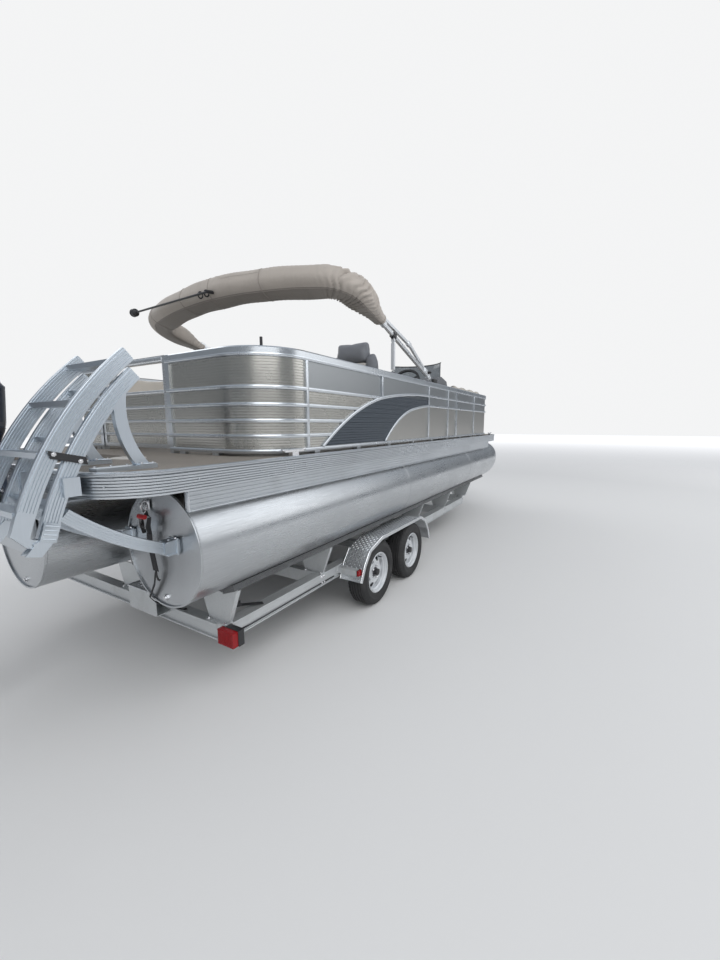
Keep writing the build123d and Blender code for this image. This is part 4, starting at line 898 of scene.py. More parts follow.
    def sweep(
        self, paths: Sequence[Sequence[Point]], sections: Sequence[Sequence[Pair]], finish: str,
        closed: bool = False, capped: bool = True,
    ) -> Mesh:
        """Carry closed sections along paths.

        Args:
            paths: point lists in metres.
            sections: loops of (to the right of travel, up) in metres.
            finish: name of the finish.
            closed: whether each path is a loop.
            capped: whether open ends are filled.

        Returns:
            The swept mesh.
        """
        loops = []
        for section in sections:
            area = sum(a[0] * b[1] - b[0] * a[1] for a, b in zip(section, [*section[1:], section[0]]))
            flat = [(right, -up) for right, up in section]
            loops.append(flat[::-1] if area > 0 else flat)
        helper = self.wire(loops, True)
        base = self.wire(paths, closed)
        k = self.sweep_keys
        values = {
            k["Section"]: helper, k["Section Scale"]: 1.0, k["Capped"]: capped,
            k["Finish"]: self.bench.skin(finish)
        }
        return self.run(base, self.sweep_tree, values, helper)

    def tube(
        self, paths: Sequence[Sequence[Point]], radius: float, finish: str, closed: bool = False,
        steps: int = 12, flat: float = 1.0,
    ) -> Mesh:
        """Round or oval bar along paths: radius across and flat times radius in height."""
        ring = [
            (radius * math.cos(2 * math.pi * i / steps), flat * radius * math.sin(2 * math.pi * i / steps))
            for i in range(steps)
        ]
        return self.sweep(paths, [ring], finish, closed)

    def copies(
        self, shape: Mesh, places: Sequence[tuple[Point, Point, float]], finish: str, size: float = 1.0,
        spread: float = 0.0, seed: int = 7,
    ) -> Mesh:
        """Set copies of a small shape, drawn along +Z, on places.

        Args:
            shape: the mesh to copy, its foot at the origin.
            places: point, outward direction and turn about it in degrees.
            finish: name of the finish.
            size: scale of each copy.
            spread: random share by which the size varies.
            seed: seed of that variation.

        Returns:
            The joined copies.
        """
        base = self.wire([[p] for p, _, _ in places], False)
        turns = base.data.attributes.new("turn", "FLOAT_VECTOR", "POINT")
        flat: list[float] = []
        for _, out, angle in places:
            quat = Vector(out).normalized().to_track_quat("Z", "X")
            spin = (quat.to_matrix() @ Matrix.Rotation(math.radians(angle), 3, "Z")).to_euler()
            flat += [spin.x, spin.y, spin.z]
        turns.data.foreach_set("vector", flat)
        helper = bpy.data.objects.new("copy", shape)
        bpy.context.scene.collection.objects.link(helper)
        k = self.copy_keys
        values = {
            k["Copy"]: helper, k["Copy Size"]: size, k["Size Spread"]: spread, k["Seed"]: seed,
            k["Finish"]: self.bench.skin(finish),
        }
        return self.run(base, self.copy_tree, values, helper)


class Fastener(Enum):
    """The small fixings, as profiles of height and radius in metres, with their facets round."""

    HEX_BOLT = ((0.0, 0.013), (0.0016, 0.013), (0.0017, 0.0092), (0.0082, 0.0092), (0.0095, 0.0078)), 6
    PAN_SCREW = ((0.0, 0.0062), (0.0014, 0.006), (0.0028, 0.0044), (0.0034, 0.002)), 12
    RIVET = ((0.0, 0.0048), (0.0012, 0.0044), (0.0021, 0.0026)), 10
    WHEEL_NUT = ((0.0, 0.0135), (0.004, 0.0135), (0.005, 0.0105), (0.017, 0.0105), (0.021, 0.0065)), 6

    def draw(self, bench: Bench, finish: str) -> Mesh:
        """The fixing standing on the origin along +Z."""
        profile, steps = self.value
        return bench.spun(profile, (0, 0, 0), (0, 0, 1), finish, steps)

    def set_out(
        self, bench: Bench, places: Sequence[tuple[Point, Point, float]], size: float = 1.0,
        finish: str = "bright_steel", spread: float = 0.0, seed: int = 7,
    ) -> Mesh:
        """Copies of the fixing on places.

        Args:
            bench: the bench that makes the mesh.
            places: point, outward direction and turn about it in degrees.
            size: scale of each fixing.
            finish: name of its finish.
            spread: random share by which the size varies.
            seed: seed of that variation.

        Returns:
            The joined fixings.
        """
        return bench.trees.copies(self.draw(bench, finish), places, finish, size, spread, seed)


@dataclass
class Studio:
    """Camera at the photograph's place, pale floor, soft lamps and a plain pale world."""

    eye: Point = (-5.0485, -2.88, 1.645)
    right: Point = (0.513764, -0.857928, -0.002574)
    up: Point = (0.122475, 0.070372, 0.989974)
    ahead: Point = (0.849145, 0.508928, -0.141230)
    lens: float = 14.692
    floor_tone: Colour = (0.72, 0.72, 0.715)

    def camera(self) -> None:
        """Set up the scene's camera."""
        data = bpy.data.cameras.new("photo_camera")
        data.lens = self.lens
        data.sensor_width = 36.0
        data.sensor_fit = "AUTO"
        data.clip_start = 0.05
        data.clip_end = 300.0
        thing = bpy.data.objects.new("photo_camera", data)
        turn = Matrix((self.right, self.up, tuple(-v for v in self.ahead))).transposed()
        thing.matrix_world = Matrix.Translation(self.eye) @ turn.to_4x4()
        bpy.context.scene.collection.objects.link(thing)
        bpy.context.scene.camera = thing

    def floor(self) -> None:
        """Wide pale floor, faintly mottled, with a painted glow that grows towards its far edge."""
        points = [(-60, -60, 0), (60, -60, 0), (60, 60, 0), (-60, 60, 0)]
        made = bpy.data.meshes.new("studio_floor")
        made.from_pydata(points, [], [(0, 1, 2, 3)])
        s = Skin("floor_pale")
        cloud = s.spread(s.noise(0.7), 0.0, 0.12)
        tint = s.blend(cloud, self.floor_tone, toned(self.floor_tone, 0.94))
        x, y = s.axis("X"), s.axis("Y")
        # painted glow: the floor emits more light the farther it is from the middle
        far = s.spread((x * x + y * y).apply("SQRT"), 0.0, 1.0, 9.0, 34.0)
        glow = s.blend(far, (0.0, 0.0, 0.0), (0.62, 0.62, 0.63))
        made.materials.append(
            s.surface(Base_Color=tint, Roughness=0.9, Emission_Color=glow, Emission_Strength=1.0)
        )
        thing = bpy.data.objects.new("studio_floor", made)
        bpy.context.scene.collection.objects.link(thing)

    def lamp(self, name: str, place: Point, aim: Point, size: float, power: float) -> None:
        """A soft square lamp that points at a spot."""
        data = bpy.data.lights.new(name, "AREA")
        data.shape = "SQUARE"
        data.size = size
        data.energy = power
        thing = bpy.data.objects.new(name, data)
        look = (Vector(aim) - Vector(place)).to_track_quat("-Z", "Y")
        thing.matrix_world = Matrix.Translation(place) @ look.to_matrix().to_4x4()
        bpy.context.scene.collection.objects.link(thing)

    def world(self) -> None:
        """Pale backdrop for what is seen directly or in metal and glass, dimmer for the light itself."""
        world = bpy.data.worlds.new("studio_world")
        world.use_nodes = True
        bpy.context.scene.world = world
        g = Graph(world.node_tree)
        g.tree.nodes.clear()
        rays = g.node("ShaderNodeLightPath")
        pale = g.node("ShaderNodeBackground", {}, {"Color": (0.95, 0.955, 0.96, 1.0), "Strength": 0.95})
        soft = g.node("ShaderNodeBackground", {}, {"Color": (0.92, 0.95, 1.0, 1.0), "Strength": 0.62})
        heading = g.node("ShaderNodeSeparateXYZ", {}, {0: g.out(g.node("ShaderNodeTexCoord"), "Generated")})
        height = g.out(heading, "Z")
        sky = g.node("ShaderNodeMapRange", {"interpolation_type": "SMOOTHSTEP"}, {
            0: height, "From Min": 0.02, "From Max": 0.62, "To Min": 0.20, "To Max": 0.56,
        })
        mirror = g.node(
            "ShaderNodeBackground", {}, {"Color": (0.84, 0.91, 1.0, 1.0), "Strength": g.out(sky)}
        )
        straight = g.out(rays, "Is Camera Ray") + g.out(rays, "Is Transmission Ray")
        inner = g.node(
            "ShaderNodeMixShader", {}, {0: g.out(rays, "Is Glossy Ray"), 1: g.out(soft), 2: g.out(mirror)}
        )
        both = g.node(
            "ShaderNodeMixShader", {}, {0: straight.apply("MINIMUM", 1.0), 1: g.out(inner), 2: g.out(pale)}
        )
        g.node("ShaderNodeOutputWorld", {}, {"Surface": g.out(both)})

    def build(self) -> None:
        """Set up everything that isn't the object."""
        self.camera()
        self.floor()
        self.world()
        self.lamp("key_lamp", (-9.0, -9.0, 9.5), (-1.0, -0.5, 1.0), 12.0, 900.0)
        self.lamp("fill_lamp", (7.0, -11.0, 8.0), (1.0, 0.0, 1.0), 11.0, 430.0)
        self.lamp("rim_lamp", (2.0, 12.0, 9.0), (0.0, 0.0, 1.2), 11.0, 520.0)
        bpy.context.scene.view_settings.view_transform = "Standard"


@dataclass
class NodeDressing:
    """Finishes of the CAD nodes that stay as they are."""

    finishes: dict[str, tuple[str, ...]] = field(
        default_factory=lambda: {
            "hull_mill": ("pontoon_right", "pontoon_left", "pontoon_centre"),
            "apron_mill": ("side_aprons", "deck_risers", "deck_bearers", "transom"),
            "skirt_trim": ("deck_skirt",),
            "frame_trim": ("fence_frame_right", "fence_frame_left", "chair_pedestals"),
            "gate_trim": ("gate_stern", "gate_bow", "gate_side"),
            "panel_smooth": ("fence_panel_right", "fence_panel_left"),
            "accent_ribbed": ("accent_panels",),
            "bright_steel": ("gate_hinges", "top_mounts", "cleats"),
            "top_trim": ("top_frame", "top_strut_right", "top_strut_left"),
            "ladder_trim": ("ladder_fixed", "ladder_flip"),
            "black_plastic": ("ladder_latch", "steering_wheel", "top_light", "stern_light"),
            "deck_weave": ("deck",),
            "base_moulding": ("lounge_bases",),
            "console_moulding": ("console",),
            "smoked": ("windscreen",),
            "seat_cover": ("lounge_cushions",),
            "back_cover": ("lounge_backs",),
            "chair_dark": ("chair_helm", "chair_guest"),
            "boot_canvas": ("top_boot",),
            "trailer_metal": ("trailer_frame", "bunk_brackets"),
            "zinc": ("coupler", "winch_stand", "tongue_jack", "axles"),
            "fender_metal": ("fenders",),
            "lens_red": ("trailer_lamps",),
            "bunk_carpet": ("bunk_boards",),
            "motor_paint": ("motor_clamp", "motor_swivel", "motor_leg", "motor_cowl"),
            "prop_polish": ("propeller",),
        }
    )

    def build(self, bench: Bench) -> None:
        """Paint every node, wheels among them."""
        for finish, names in self.finishes.items():
            for name in names:
                self.dress(name, bench.skin(finish))
        for axle in ("rear", "front"):
            for side in ("right", "left"):
                self.dress(f"tyre_{axle}_{side}", bench.skin("tyre"))
                self.dress(f"rim_{axle}_{side}", bench.skin("wheel_paint"))

    @staticmethod
    def dress(name: str, skin: bpy.types.Material) -> None:
        """Put one material on a node's object."""
        thing = bpy.data.objects[name]
        if thing.material_slots:
            for slot in thing.material_slots:
                slot.material = skin
        else:
            thing.data.materials.append(skin)


@dataclass(frozen=True)
class RoundedPlan:
    """Plan outline with round aft and bow corners, in millimetres, counter-clockwise from above."""

    aft: float
    bow: float
    half: float
    r_aft: float
    r_bow: float

    def starboard(
        self, inset: float, z: float, stern_y: float = 0.0, bow_y: float = 0.0, steps: int = 20
    ) -> list[Vector]:
        """Starboard half as a path from the stern to the bow.

        Args:
            inset: distance inside the outline.
            z: height.
            stern_y: distance from the centre line where it starts.
            bow_y: distance from the centre line where it ends.
            steps: points round each corner.

        Returns:
            The path's points.
        """
        x0, x1, half = self.aft + inset, self.bow - inset, self.half - inset
        ra, rb = self.r_aft - inset, self.r_bow - inset
        turns = [math.pi / 2 * i / steps for i in range(steps + 1)]
        path = [at(x0, -stern_y, z)]
        path += [at(x0 + ra - ra * math.cos(a), -(half - ra) - ra * math.sin(a), z) for a in turns]
        path += [at(x1 - rb + rb * math.sin(a), -(half - rb) - rb * math.cos(a), z) for a in turns]
        return [*path, at(x1, -bow_y, z)]

    def port(self, inset: float, z: float, stern_y: float = 0.0, bow_y: float = 0.0) -> list[Vector]:
        """Port half as a path from the bow to the stern."""
        return [Vector((p.x, -p.y, p.z)) for p in reversed(self.starboard(inset, z, stern_y, bow_y))]


FENCE = RoundedPlan(940.0, 6740.0, 1220.0, 380.0, 610.0)
DECK = RoundedPlan(0.0, 7200.0, 1295.0, 300.0, 620.0)


def between(path: Sequence[Vector], low: float, high: float) -> list[Vector]:
    """Part of a path between two stations in millimetres."""
    near, far = mm(low) - MIDDLE, mm(high) - MIDDLE
    kept: list[Vector] = []
    for p, q in zip(path, path[1:]):
        if max(p.x, q.x) < near or min(p.x, q.x) > far:
            continue
        run = q.x - p.x
        shares = [0.0, 1.0] if abs(run) < 1e-9 else sorted(((near - p.x) / run, (far - p.x) / run))
        for share in (max(0.0, shares[0]), min(1.0, shares[1])):
            point = p.lerp(q, share)
            if not kept or (point - kept[-1]).length > 1e-6:
                kept.append(point)
    return kept


class Arc:
    """Circular arc through three side-view points of station and height, in millimetres."""

    def __init__(self, start: Pair, middle: Pair, end: Pair) -> None:
        """Work out the circle and the angles of its ends."""
        (ax, az), (bx, bz), (cx, cz) = start, middle, end
        d = 2 * (ax * (bz - cz) + bx * (cz - az) + cx * (az - bz))
        sums = [x * x + z * z for x, z in (start, middle, end)]
        self.x = (sums[0] * (bz - cz) + sums[1] * (cz - az) + sums[2] * (az - bz)) / d
        self.z = (sums[0] * (cx - bx) + sums[1] * (ax - cx) + sums[2] * (bx - ax)) / d
        self.radius = math.hypot(ax - self.x, az - self.z)
        self.start, pass_by, self.end = [
            math.atan2(z - self.z, x - self.x) for x, z in (start, middle, end)
        ]
        if not min(self.start, self.end) <= pass_by <= max(self.start, self.end):
            self.end += 2 * math.pi if self.end < self.start else -2 * math.pi

    def spot(self, share: float) -> Pair:
        """Station and height at a share of the arc."""
        a = self.start + (self.end - self.start) * share
        return self.x + self.radius * math.cos(a), self.z + self.radius * math.sin(a)

    def path(self, y: float, low: float = 0.0, high: float = 1.0, steps: int = 24) -> list[Vector]:
        """Points along part of the arc at a distance to port."""
        spots = [self.spot(low + (high - low) * i / steps) for i in range(steps + 1)]
        return [at(x, y, z) for x, z in spots]

    def height(self, x: float) -> float:
        """Height of the arc's upper side at a station."""
        return self.z + math.sqrt(max(0.0, self.radius**2 - (x - self.x) ** 2))

    def heading(self, share: float) -> Vector:
        """Unit direction of travel at a share of the arc."""
        (x0, z0), (x1, z1) = self.spot(share - 0.001), self.spot(share + 0.001)
        return Vector((x1 - x0, 0.0, z1 - z0)).normalized()


def crown(low: float, high: float, out: float, rise: float, steps: int = 6) -> list[Pair]:
    """Section of a rounded bead on a face, between two heights, at a distance out, bulging by its rise."""
    middle, half = (low + high) / 2, (high - low) / 2
    points = [(mm(out) - 0.0006, mm(low)), (mm(out) - 0.0006, mm(high))]
    for i in range(steps + 1):
        a = math.pi / 2 - math.pi * i / steps
        points.append((mm(out + rise * math.cos(a)), mm(middle + half * math.sin(a))))
    return points


def rib_section(low: float, high: float, pitch: float, out: float, back: float, rise: float) -> list[Pair]:
    """Section of a ribbed sheet between two heights: flat ribs with narrow grooves between them."""
    points = [(mm(out), mm(low))]
    count = round((high - low) / pitch)
    step = (high - low) / count
    for i in range(count):
        z = low + i * step
        for share, proud in ((0.10, 0.0), (0.20, rise), (0.86, rise), (0.96, 0.0)):
            points.append((mm(out + proud), mm(z + share * step)))
    points.append((mm(out), mm(high)))
    return [*points, (mm(out - back), mm(high)), (mm(out - back), mm(low))]


def strip(low: float, high: float, out: float, back: float) -> list[Pair]:
    """Section of a plain sheet between two heights."""
    return [(mm(out), mm(low)), (mm(out), mm(high)), (mm(out - back), mm(high)), (mm(out - back), mm(low))]


@dataclass
class Fence:
    """Ribbed and plain fence sheets, rounded rail faces, arch ribs and small fixings."""

    sheet_inset: float = 14.0
    sheet_low: float = 1489.0
    sheet_high: float = 2061.0
    upper_bay: float = 1876.0
    rib_pitch: float = 18.0
    rib_rise: float = 3.6
    thick: float = 2.6
    corner_post: float = 1337.0
    plain_from: float = 2460.0
    arch_start: float = 1495.0
    inner_start: float = 2469.0
    arch_end: float = 3550.0
    arch_pitch: float = 13.5
    arch_margin: float = 17.0
    port_gate: Pair = (3690.0, 4480.0)
    stern_edge: Pair = (330.0, 640.0)
    bow_edge: float = 410.0
    rails: tuple[float, ...] = (1571.0, 1669.0, 1769.0, 1876.0)
    fore_rails: tuple[float, ...] = (1846.0, 1958.0)
    posts: tuple[Pair, ...] = ((1337, 1495), (2410, 1892), (3550, 1495), (4230, 1495), (5480, 1495))
    outer: tuple[Arc, Arc] = (
        Arc((1506, 1489), (1850, 1693), (2399, 1875)), Arc((2399, 1875), (2950, 1937), (3550, 1958))
    )
    inner: tuple[Arc, Arc] = (
        Arc((2469, 1489), (2722, 1667), (3164, 1806)), Arc((3164, 1806), (3380, 1833), (3550, 1846))
    )

    @staticmethod
    def rail_crown(z: float) -> list[Pair]:
        """Section of a mid rail's rounded face at a height."""
        return crown(z - 11, z + 11, 0, 4)

    def faces_port_gate(self, x: float) -> bool:
        """Whether a station is where the port side has its gate, and so no post."""
        aft, fore = self.port_gate
        return aft - 20 < x < fore + 20

    def outer_height(self, x: float) -> float:
        """Height of the arch's outer edge."""
        return self.outer[0 if x < 2399 else 1].height(x)

    def inner_height(self, x: float) -> float:
        """Height of the arch's inner edge."""
        return self.inner[0 if x < 3164 else 1].height(x)

    def sheets(self, bench: Bench, path: Sequence[Vector], aft: bool) -> list[Mesh]:
        """Sheets along one run of the fence; only the aft part has ribs."""
        sweep = bench.trees.sweep
        corner = between(path, 0, self.corner_post)
        middle = between(path, self.corner_post, self.plain_from)
        ahead = between(path, self.plain_from, PAST_BOW)
        made = []
        if aft:
            full = rib_section(
                self.sheet_low, self.sheet_high, self.rib_pitch, 0, self.thick, self.rib_rise
            )
            below = rib_section(
                self.sheet_low, self.upper_bay, self.rib_pitch, 0, self.thick, self.rib_rise
            )
            made.append(sweep([corner], [full], "panel_ribbed"))
            made.append(sweep([middle], [below], "panel_ribbed"))
            made.append(
                sweep([middle], [strip(self.upper_bay, self.sheet_high, 0, self.thick)], "panel_smooth")
            )
        for low, high, finish in (
            (self.sheet_low, self.fore_rails[0], "panel_plain"),
            (self.fore_rails[0], self.sheet_high, "panel_smooth")
        ):
            made.append(sweep([ahead], [strip(low, high, 0, self.thick)], finish))
        return made

    def crowns(self, bench: Bench, path: Sequence[Vector]) -> list[Mesh]:
        """Rounded faces on the rails of one run, the lower four stopped at the arch."""
        sweep = bench.trees.sweep
        made = []
        for z in self.rails:
            stop = next((x for x in range(1500, 3550, 5) if self.outer_height(x) > z - 10), 3550) - 16
            run = between(path, 0, stop)
            if len(run) > 1:
                made.append(sweep([run], [self.rail_crown(z)], "frame_trim"))
        for z in self.fore_rails:
            run = between(path, self.arch_end, PAST_BOW)
            if len(run) > 1:
                made.append(sweep([run], [self.rail_crown(z)], "frame_trim"))
        return [
            *made,
            *(sweep([path], [crown(*span, 0, 3)], "frame_trim") for span in ((2064, 2080), (1465, 1487)))
        ]

    def arch_trims(self, bench: Bench) -> list[Mesh]:
        """Rounded faces of the two curved trims, drawn for the starboard side."""
        made = []
        for arc in (*self.outer, *self.inner):
            path = arc.path(-1220, steps=22)
            made.append(bench.trees.sweep([path], [crown(-12, 12, 0, 5)], "frame_trim"))
        return made

    def arch_ribs(self, bench: Bench) -> Mesh:
        """Level ribs on the dark arch panel, cut off at its trims."""
        paths = []
        section = [(0.0, mm(-4.0)), (mm(2.4), mm(-2.6)), (mm(2.4), mm(2.6)), (0.0, mm(4.0))]
        z = 1502.0
        while z < 1940:
            run: list[float] = []
            for x in range(int(self.arch_start), int(self.arch_end) - 10, 5):
                inside = x > self.inner_start
                slope_out = self.outer_height(x + 1) - self.outer_height(x)
                slope_in = self.inner_height(x + 1) - self.inner_height(x) if inside else 0.0
                below = (self.outer_height(x) - z) / math.hypot(1, slope_out) > self.arch_margin
                above = (
                    x < self.inner_start
                    or (z - self.inner_height(x)) / math.hypot(1, slope_in) > self.arch_margin
                )
                post = 2390 < x < 2430 and z > 1875
                if below and above and not post:
                    run.append(x)
                elif run:
                    paths.append([at(run[0], -1215, z), at(run[-1], -1215, z)])
                    run = []
            if run:
                paths.append([at(run[0], -1215, z), at(run[-1], -1215, z)])
            z += self.arch_pitch
        paths = [p for p in paths if (p[0] - p[1]).length > 0.02]
        return bench.trees.sweep(paths, [section], "accent_ribbed")

    def post_faces(self, bench: Bench) -> list[Mesh]:
        """Rounded faces of the posts on the starboard side, drawn there and mirrored where no gate is."""
        made = []
        for x, low in self.posts:
            face = bench.box(at(x - 13, -1224, low), at(x + 13, -1219, 2062), "frame_trim", 0.0024)
            made.append(face)
            if not self.faces_port_gate(x):
                made.append(mirrored(face))
        return made

    def screws(self, bench: Bench) -> Mesh:
        """Screws in the posts beside each rail."""
        places = []
        for x, low in self.posts:
            for z in (*self.rails, 2040.0, 1510.0):
                if z > low:
                    places.append((at(x, -1224, z), (0, -1, 0), 0.0))
                    if not self.faces_port_gate(x):
                        places.append((at(x, 1224, z), (0, 1, 0), 0.0))
        return Fastener.PAN_SCREW.set_out(bench, places, 0.8)

    def gate_faces(self, bench: Bench) -> None:
        """Ribbed face of the stern gate's low sheet, its rails' rounded faces, the other gates' sheets."""
        face = self.sheet_inset + 946
        run = [at(face, 580, 0), at(face, -270, 0)]
        sheet = rib_section(1502, self.upper_bay - 8, self.rib_pitch, 0.2, 0.8, self.rib_rise)
        made = [bench.trees.sweep([run], [sheet], "panel_ribbed")]
        edge = [at(946, 560, 0), at(946, -250, 0)]
        for z in self.rails:
            made.append(bench.trees.sweep([edge], [self.rail_crown(z)], "gate_trim"))
        made.append(bench.trees.sweep([edge], [crown(2080, 2116, 0, 4)], "gate_trim"))
        bench.piece("stern_gate_face", made, "gate_stern")
        sides = (
            ("gate_side", at(4400, 1200, 0), at(3770, 1200, 0)),
            ("gate_bow", at(6720, -330, 0), at(6720, 330, 0))
        )
        for body, start, end in sides:
            low = bench.trees.sweep(
                [[start, end]], [strip(1502, self.fore_rails[0], 0.8, 0.6)], "panel_plain"
            )
            high = bench.trees.sweep(
                [[start, end]], [strip(self.fore_rails[0], 2076, 0.8, 0.6)], "panel_smooth"
            )
            bench.piece(f"{body}_face", [low, high], body)

    def latches(self, bench: Bench) -> None:
        """A paddle latch on each gate's free edge, with its knob."""
        spots = (
            ("gate_stern", at(963, -262, 2000), Vector((1, 0, 0)), Vector((0, 1, 0))),
            ("gate_bow", at(6722, 340, 2000), Vector((1, 0, 0)), Vector((0, -1, 0))),
            ("gate_side", at(3760, 1202, 2000), Vector((0, 1, 0)), Vector((1, 0, 0))),
        )
        for body, place, out, inward in spots:
            face = place + out * 0.013
            plate = [face + inward * u + Vector((0, 0, v)) for u, v in corners(-0.02, -0.04, 0.03, 0.04)]
            made = [bench.plate(plate, out * 0.005, "black_plastic", 0.0015)]
            knob = ((0.0, 0.008), (0.012, 0.008), (0.014, 0.015), (0.022, 0.016), (0.026, 0.011))
            made.append(bench.spun(knob, face + out * 0.004, out, "black_plastic", 18))
            bench.piece(f"{body}_latch", made, body)

    def build(self, bench: Bench) -> None:
        """Replace the fence's sheets and dress its rails."""
        stern, port_stern = self.stern_edge
        right = FENCE.starboard(self.sheet_inset, 0.0, stern, self.bow_edge)
        left = FENCE.port(self.sheet_inset, 0.0, port_stern, self.bow_edge)
        gate_aft, gate_fore = self.port_gate
        bench.piece("fence_sheets_right", self.sheets(bench, right, True), replaces=["fence_panel_right"])
        aft = self.sheets(bench, between(left, 0, self.plain_from), True)[:3]
        fore = [
            mesh
            for low, high in ((self.plain_from, gate_aft), (gate_fore, PAST_BOW))
            for mesh in self.sheets(bench, between(left, low, high), False)
        ]
        bench.piece("fence_sheets_left", aft + fore, replaces=["fence_panel_left"])
        right = FENCE.starboard(0.0, 0.0, stern - 40, self.bow_edge - 40)
        left = FENCE.port(0.0, 0.0, port_stern - 40, self.bow_edge - 40)
        runs = [right, between(left, 0, gate_aft), between(left, gate_fore, PAST_BOW)]
        faces = [mesh for run in runs for mesh in self.crowns(bench, run)]
        bench.piece("fence_rail_faces", faces + self.post_faces(bench) + [self.screws(bench)])
        trims = self.arch_trims(bench)
        bench.piece("arch_trim_faces", trims + [mirrored(mesh) for mesh in trims])
        ribs = self.arch_ribs(bench)
        bench.piece("arch_ribs", [ribs, mirrored(ribs)])
        self.gate_faces(bench)
        self.latches(bench)
        # Painted shade: dark strips set in the gaps between the stern and bow gates and their posts, where
        # there is only shade.
        gap_shade_strips = ((950, -289.6, 974, -287.4), (6706, -369.6, 6728, -367.4))
        bench.piece(
            "gate_seals",
            [
                bench.box(at(x0, y0, 1484), at(x1, y1, 2112), "black_plastic", 0.0006)
                for x0, y0, x1, y1 in gap_shade_strips
            ]
        )


def mirrored(source: Mesh) -> Mesh:
    """The same mesh on the other side of the centre line, its faces still outward."""
    made = source.copy()
    made.transform(Matrix.Diagonal((1.0, -1.0, 1.0, 1.0)))
    made.flip_normals()
    return made


@dataclass
class Ladder:
    """Grooved faces, tread grips, link bolts, clamps and feet of the boarding ladder."""

    stringers_y: Pair = (-1080.0, -680.0)
    half_thick: float = 14.0
    flip: Arc = Arc((-206, 1232), (-30, 1625), (247, 1954))
    fixed: Arc = Arc((-123, 1207), (50, 1600), (267, 1874))
    strut: Arc = Arc((-60, 1290), (127, 1150), (352, 1036))
    grooves: int = 5
    groove_pitch: float = 10.5

    def ridges(self, half_width: float, count: int) -> list[list[Pair]]:
        """Sections of the long ridges on both side faces and the rounded narrow edges."""
        sections = []
        for side in (-1, 1):
            face = side * self.half_thick
            for i in range(count):
                up = (i - (count - 1) / 2) * self.groove_pitch
                near, far = mm(face - side * 0.6), mm(face + side * 3.2)
                sections.append([
                    (near, mm(up - 3.6)), (far, mm(up - 2.6)), (far, mm(up + 2.6)), (near, mm(up + 3.6))
                ])
            edge = side * half_width
            flat = self.half_thick - 1.5
            sections.append(
                [
                    (mm(-flat), mm(edge - side)), (mm(-flat + 4), mm(edge + side * 2.6)),
                    (mm(flat - 4), mm(edge + side * 2.6)), (mm(flat), mm(edge - side))
                ]
            )
        return sections

    def grips(
        self, bench: Bench, arc: Arc, shares: Sequence[float], aft: float, fore: float
    ) -> list[Mesh]:
        """Raised lines on the treads, across the ladder."""
        paths = []
        for share in shares:
            x, z = arc.spot(share)
            for i in range(6):
                along = x + aft + 6 + i * (fore - aft - 12) / 5
                paths.append([at(along, -1064, z + 11), at(along, -696, z + 11)])
        section = [(-0.0022, -0.0005), (-0.0014, 0.0016), (0.0014, 0.0016), (0.0022, -0.0005)]
        return [bench.trees.sweep(paths, [section], "ladder_trim")]

    def clamps(self, bench: Bench) -> list[Mesh]:
        """Box clamps at the struts' lower ends, with their flanges and bolts, and the braces' feet."""
        made = []
        bolts = []
        for y in self.stringers_y:
            for z in (1066, 999):
                made.append(bench.box(at(348, y - 33, z), at(404, y + 33, z + 7), "ladder_trim", 0.0015))
            made.append(bench.box(at(398, y - 36, 992), at(409, y + 36, 1080), "ladder_trim", 0.002))
            for out in (-24, 24):
                bolts.append((at(398, y + out, 1078 - 94 * (out > 0) + 2), (-1, 0, 0), 20.0))
            bolts.append((at(376, y, 1073), (0, 0, 1), 10.0))
            made.append(bench.box(at(248, y - 36, 1463), at(322, y + 36, 1469), "ladder_trim", 0.0015))
            bolts += [(at(x, y + out, 1469), (0, 0, 1), 15.0) for x in (258, 312) for out in (-27, 27)]
            for x in (84, 150, 220):
                bolts.append((at(x, y + 26, 1463), (0, 0, 1), 30.0))
        made.append(Fastener.HEX_BOLT.set_out(bench, bolts, 0.62))
        return made

    def hinge_cheeks(self, bench: Bench) -> list[Mesh]:
        """Ribbed cheek plates over the fold's hinge, outboard of each stringer."""
        made = []
        along = self.fixed.heading(0.05)
        across = Vector((-along.z, 0.0, along.x))
        for y, side in ((self.stringers_y[0], -1), (self.stringers_y[1], 1)):
            middle = at(-118, y + side * 21.6, 1226)
            cheek = [middle + along * u + across * v for u, v in corners(-0.03, -0.028, 0.045, 0.028)]
            made.append(bench.plate(cheek, Vector((0, side * 0.004, 0)), "ladder_trim", 0.001))
            for i in range(4):
                start = middle + along * (-0.018 + 0.017 * i) + Vector((0, side * 0.004, 0))
                line = [start - across * 0.022, start + across * 0.022]
                made.append(bench.trees.tube([line], 0.003, "ladder_trim", steps=8))
        return made

    def build(self, bench: Bench) -> None:
        """Add the ladder's details to its two halves."""
        sweep = bench.trees.sweep
        fixed = [
            sweep(
                [self.fixed.path(y) for y in self.stringers_y], self.ridges(30, self.grooves), "ladder_trim"
            ),
            sweep([self.strut.path(y) for y in self.stringers_y], self.ridges(26, 4), "ladder_trim")
        ]
        fixed += self.grips(bench, self.fixed, (0.16, 0.52, 0.86), -26, 34)
        fixed += self.clamps(bench) + self.hinge_cheeks(bench)
        bench.piece("ladder_fixed_details", fixed)
        paths = [self.flip.path(y, 0.11) for y in self.stringers_y]
        flip = [sweep(paths, self.ridges(30, self.grooves), "ladder_trim")]
        flip += self.grips(bench, self.flip, (0.10, 0.37, 0.65, 0.93), -34, 26)
        bench.piece("ladder_flip_details", flip, "ladder_flip")
        bolts = []
        for y, side in ((self.stringers_y[0], -1), (self.stringers_y[1], 1)):
            for x, z in ((12, 1500), (-78, 1534)):
                bolts.append((at(x, y + side * (self.half_thick + 12), z), (0, side, 0), 12.0))
        bench.piece("ladder_link_bolts", [Fastener.HEX_BOLT.set_out(bench, bolts, 0.75)])


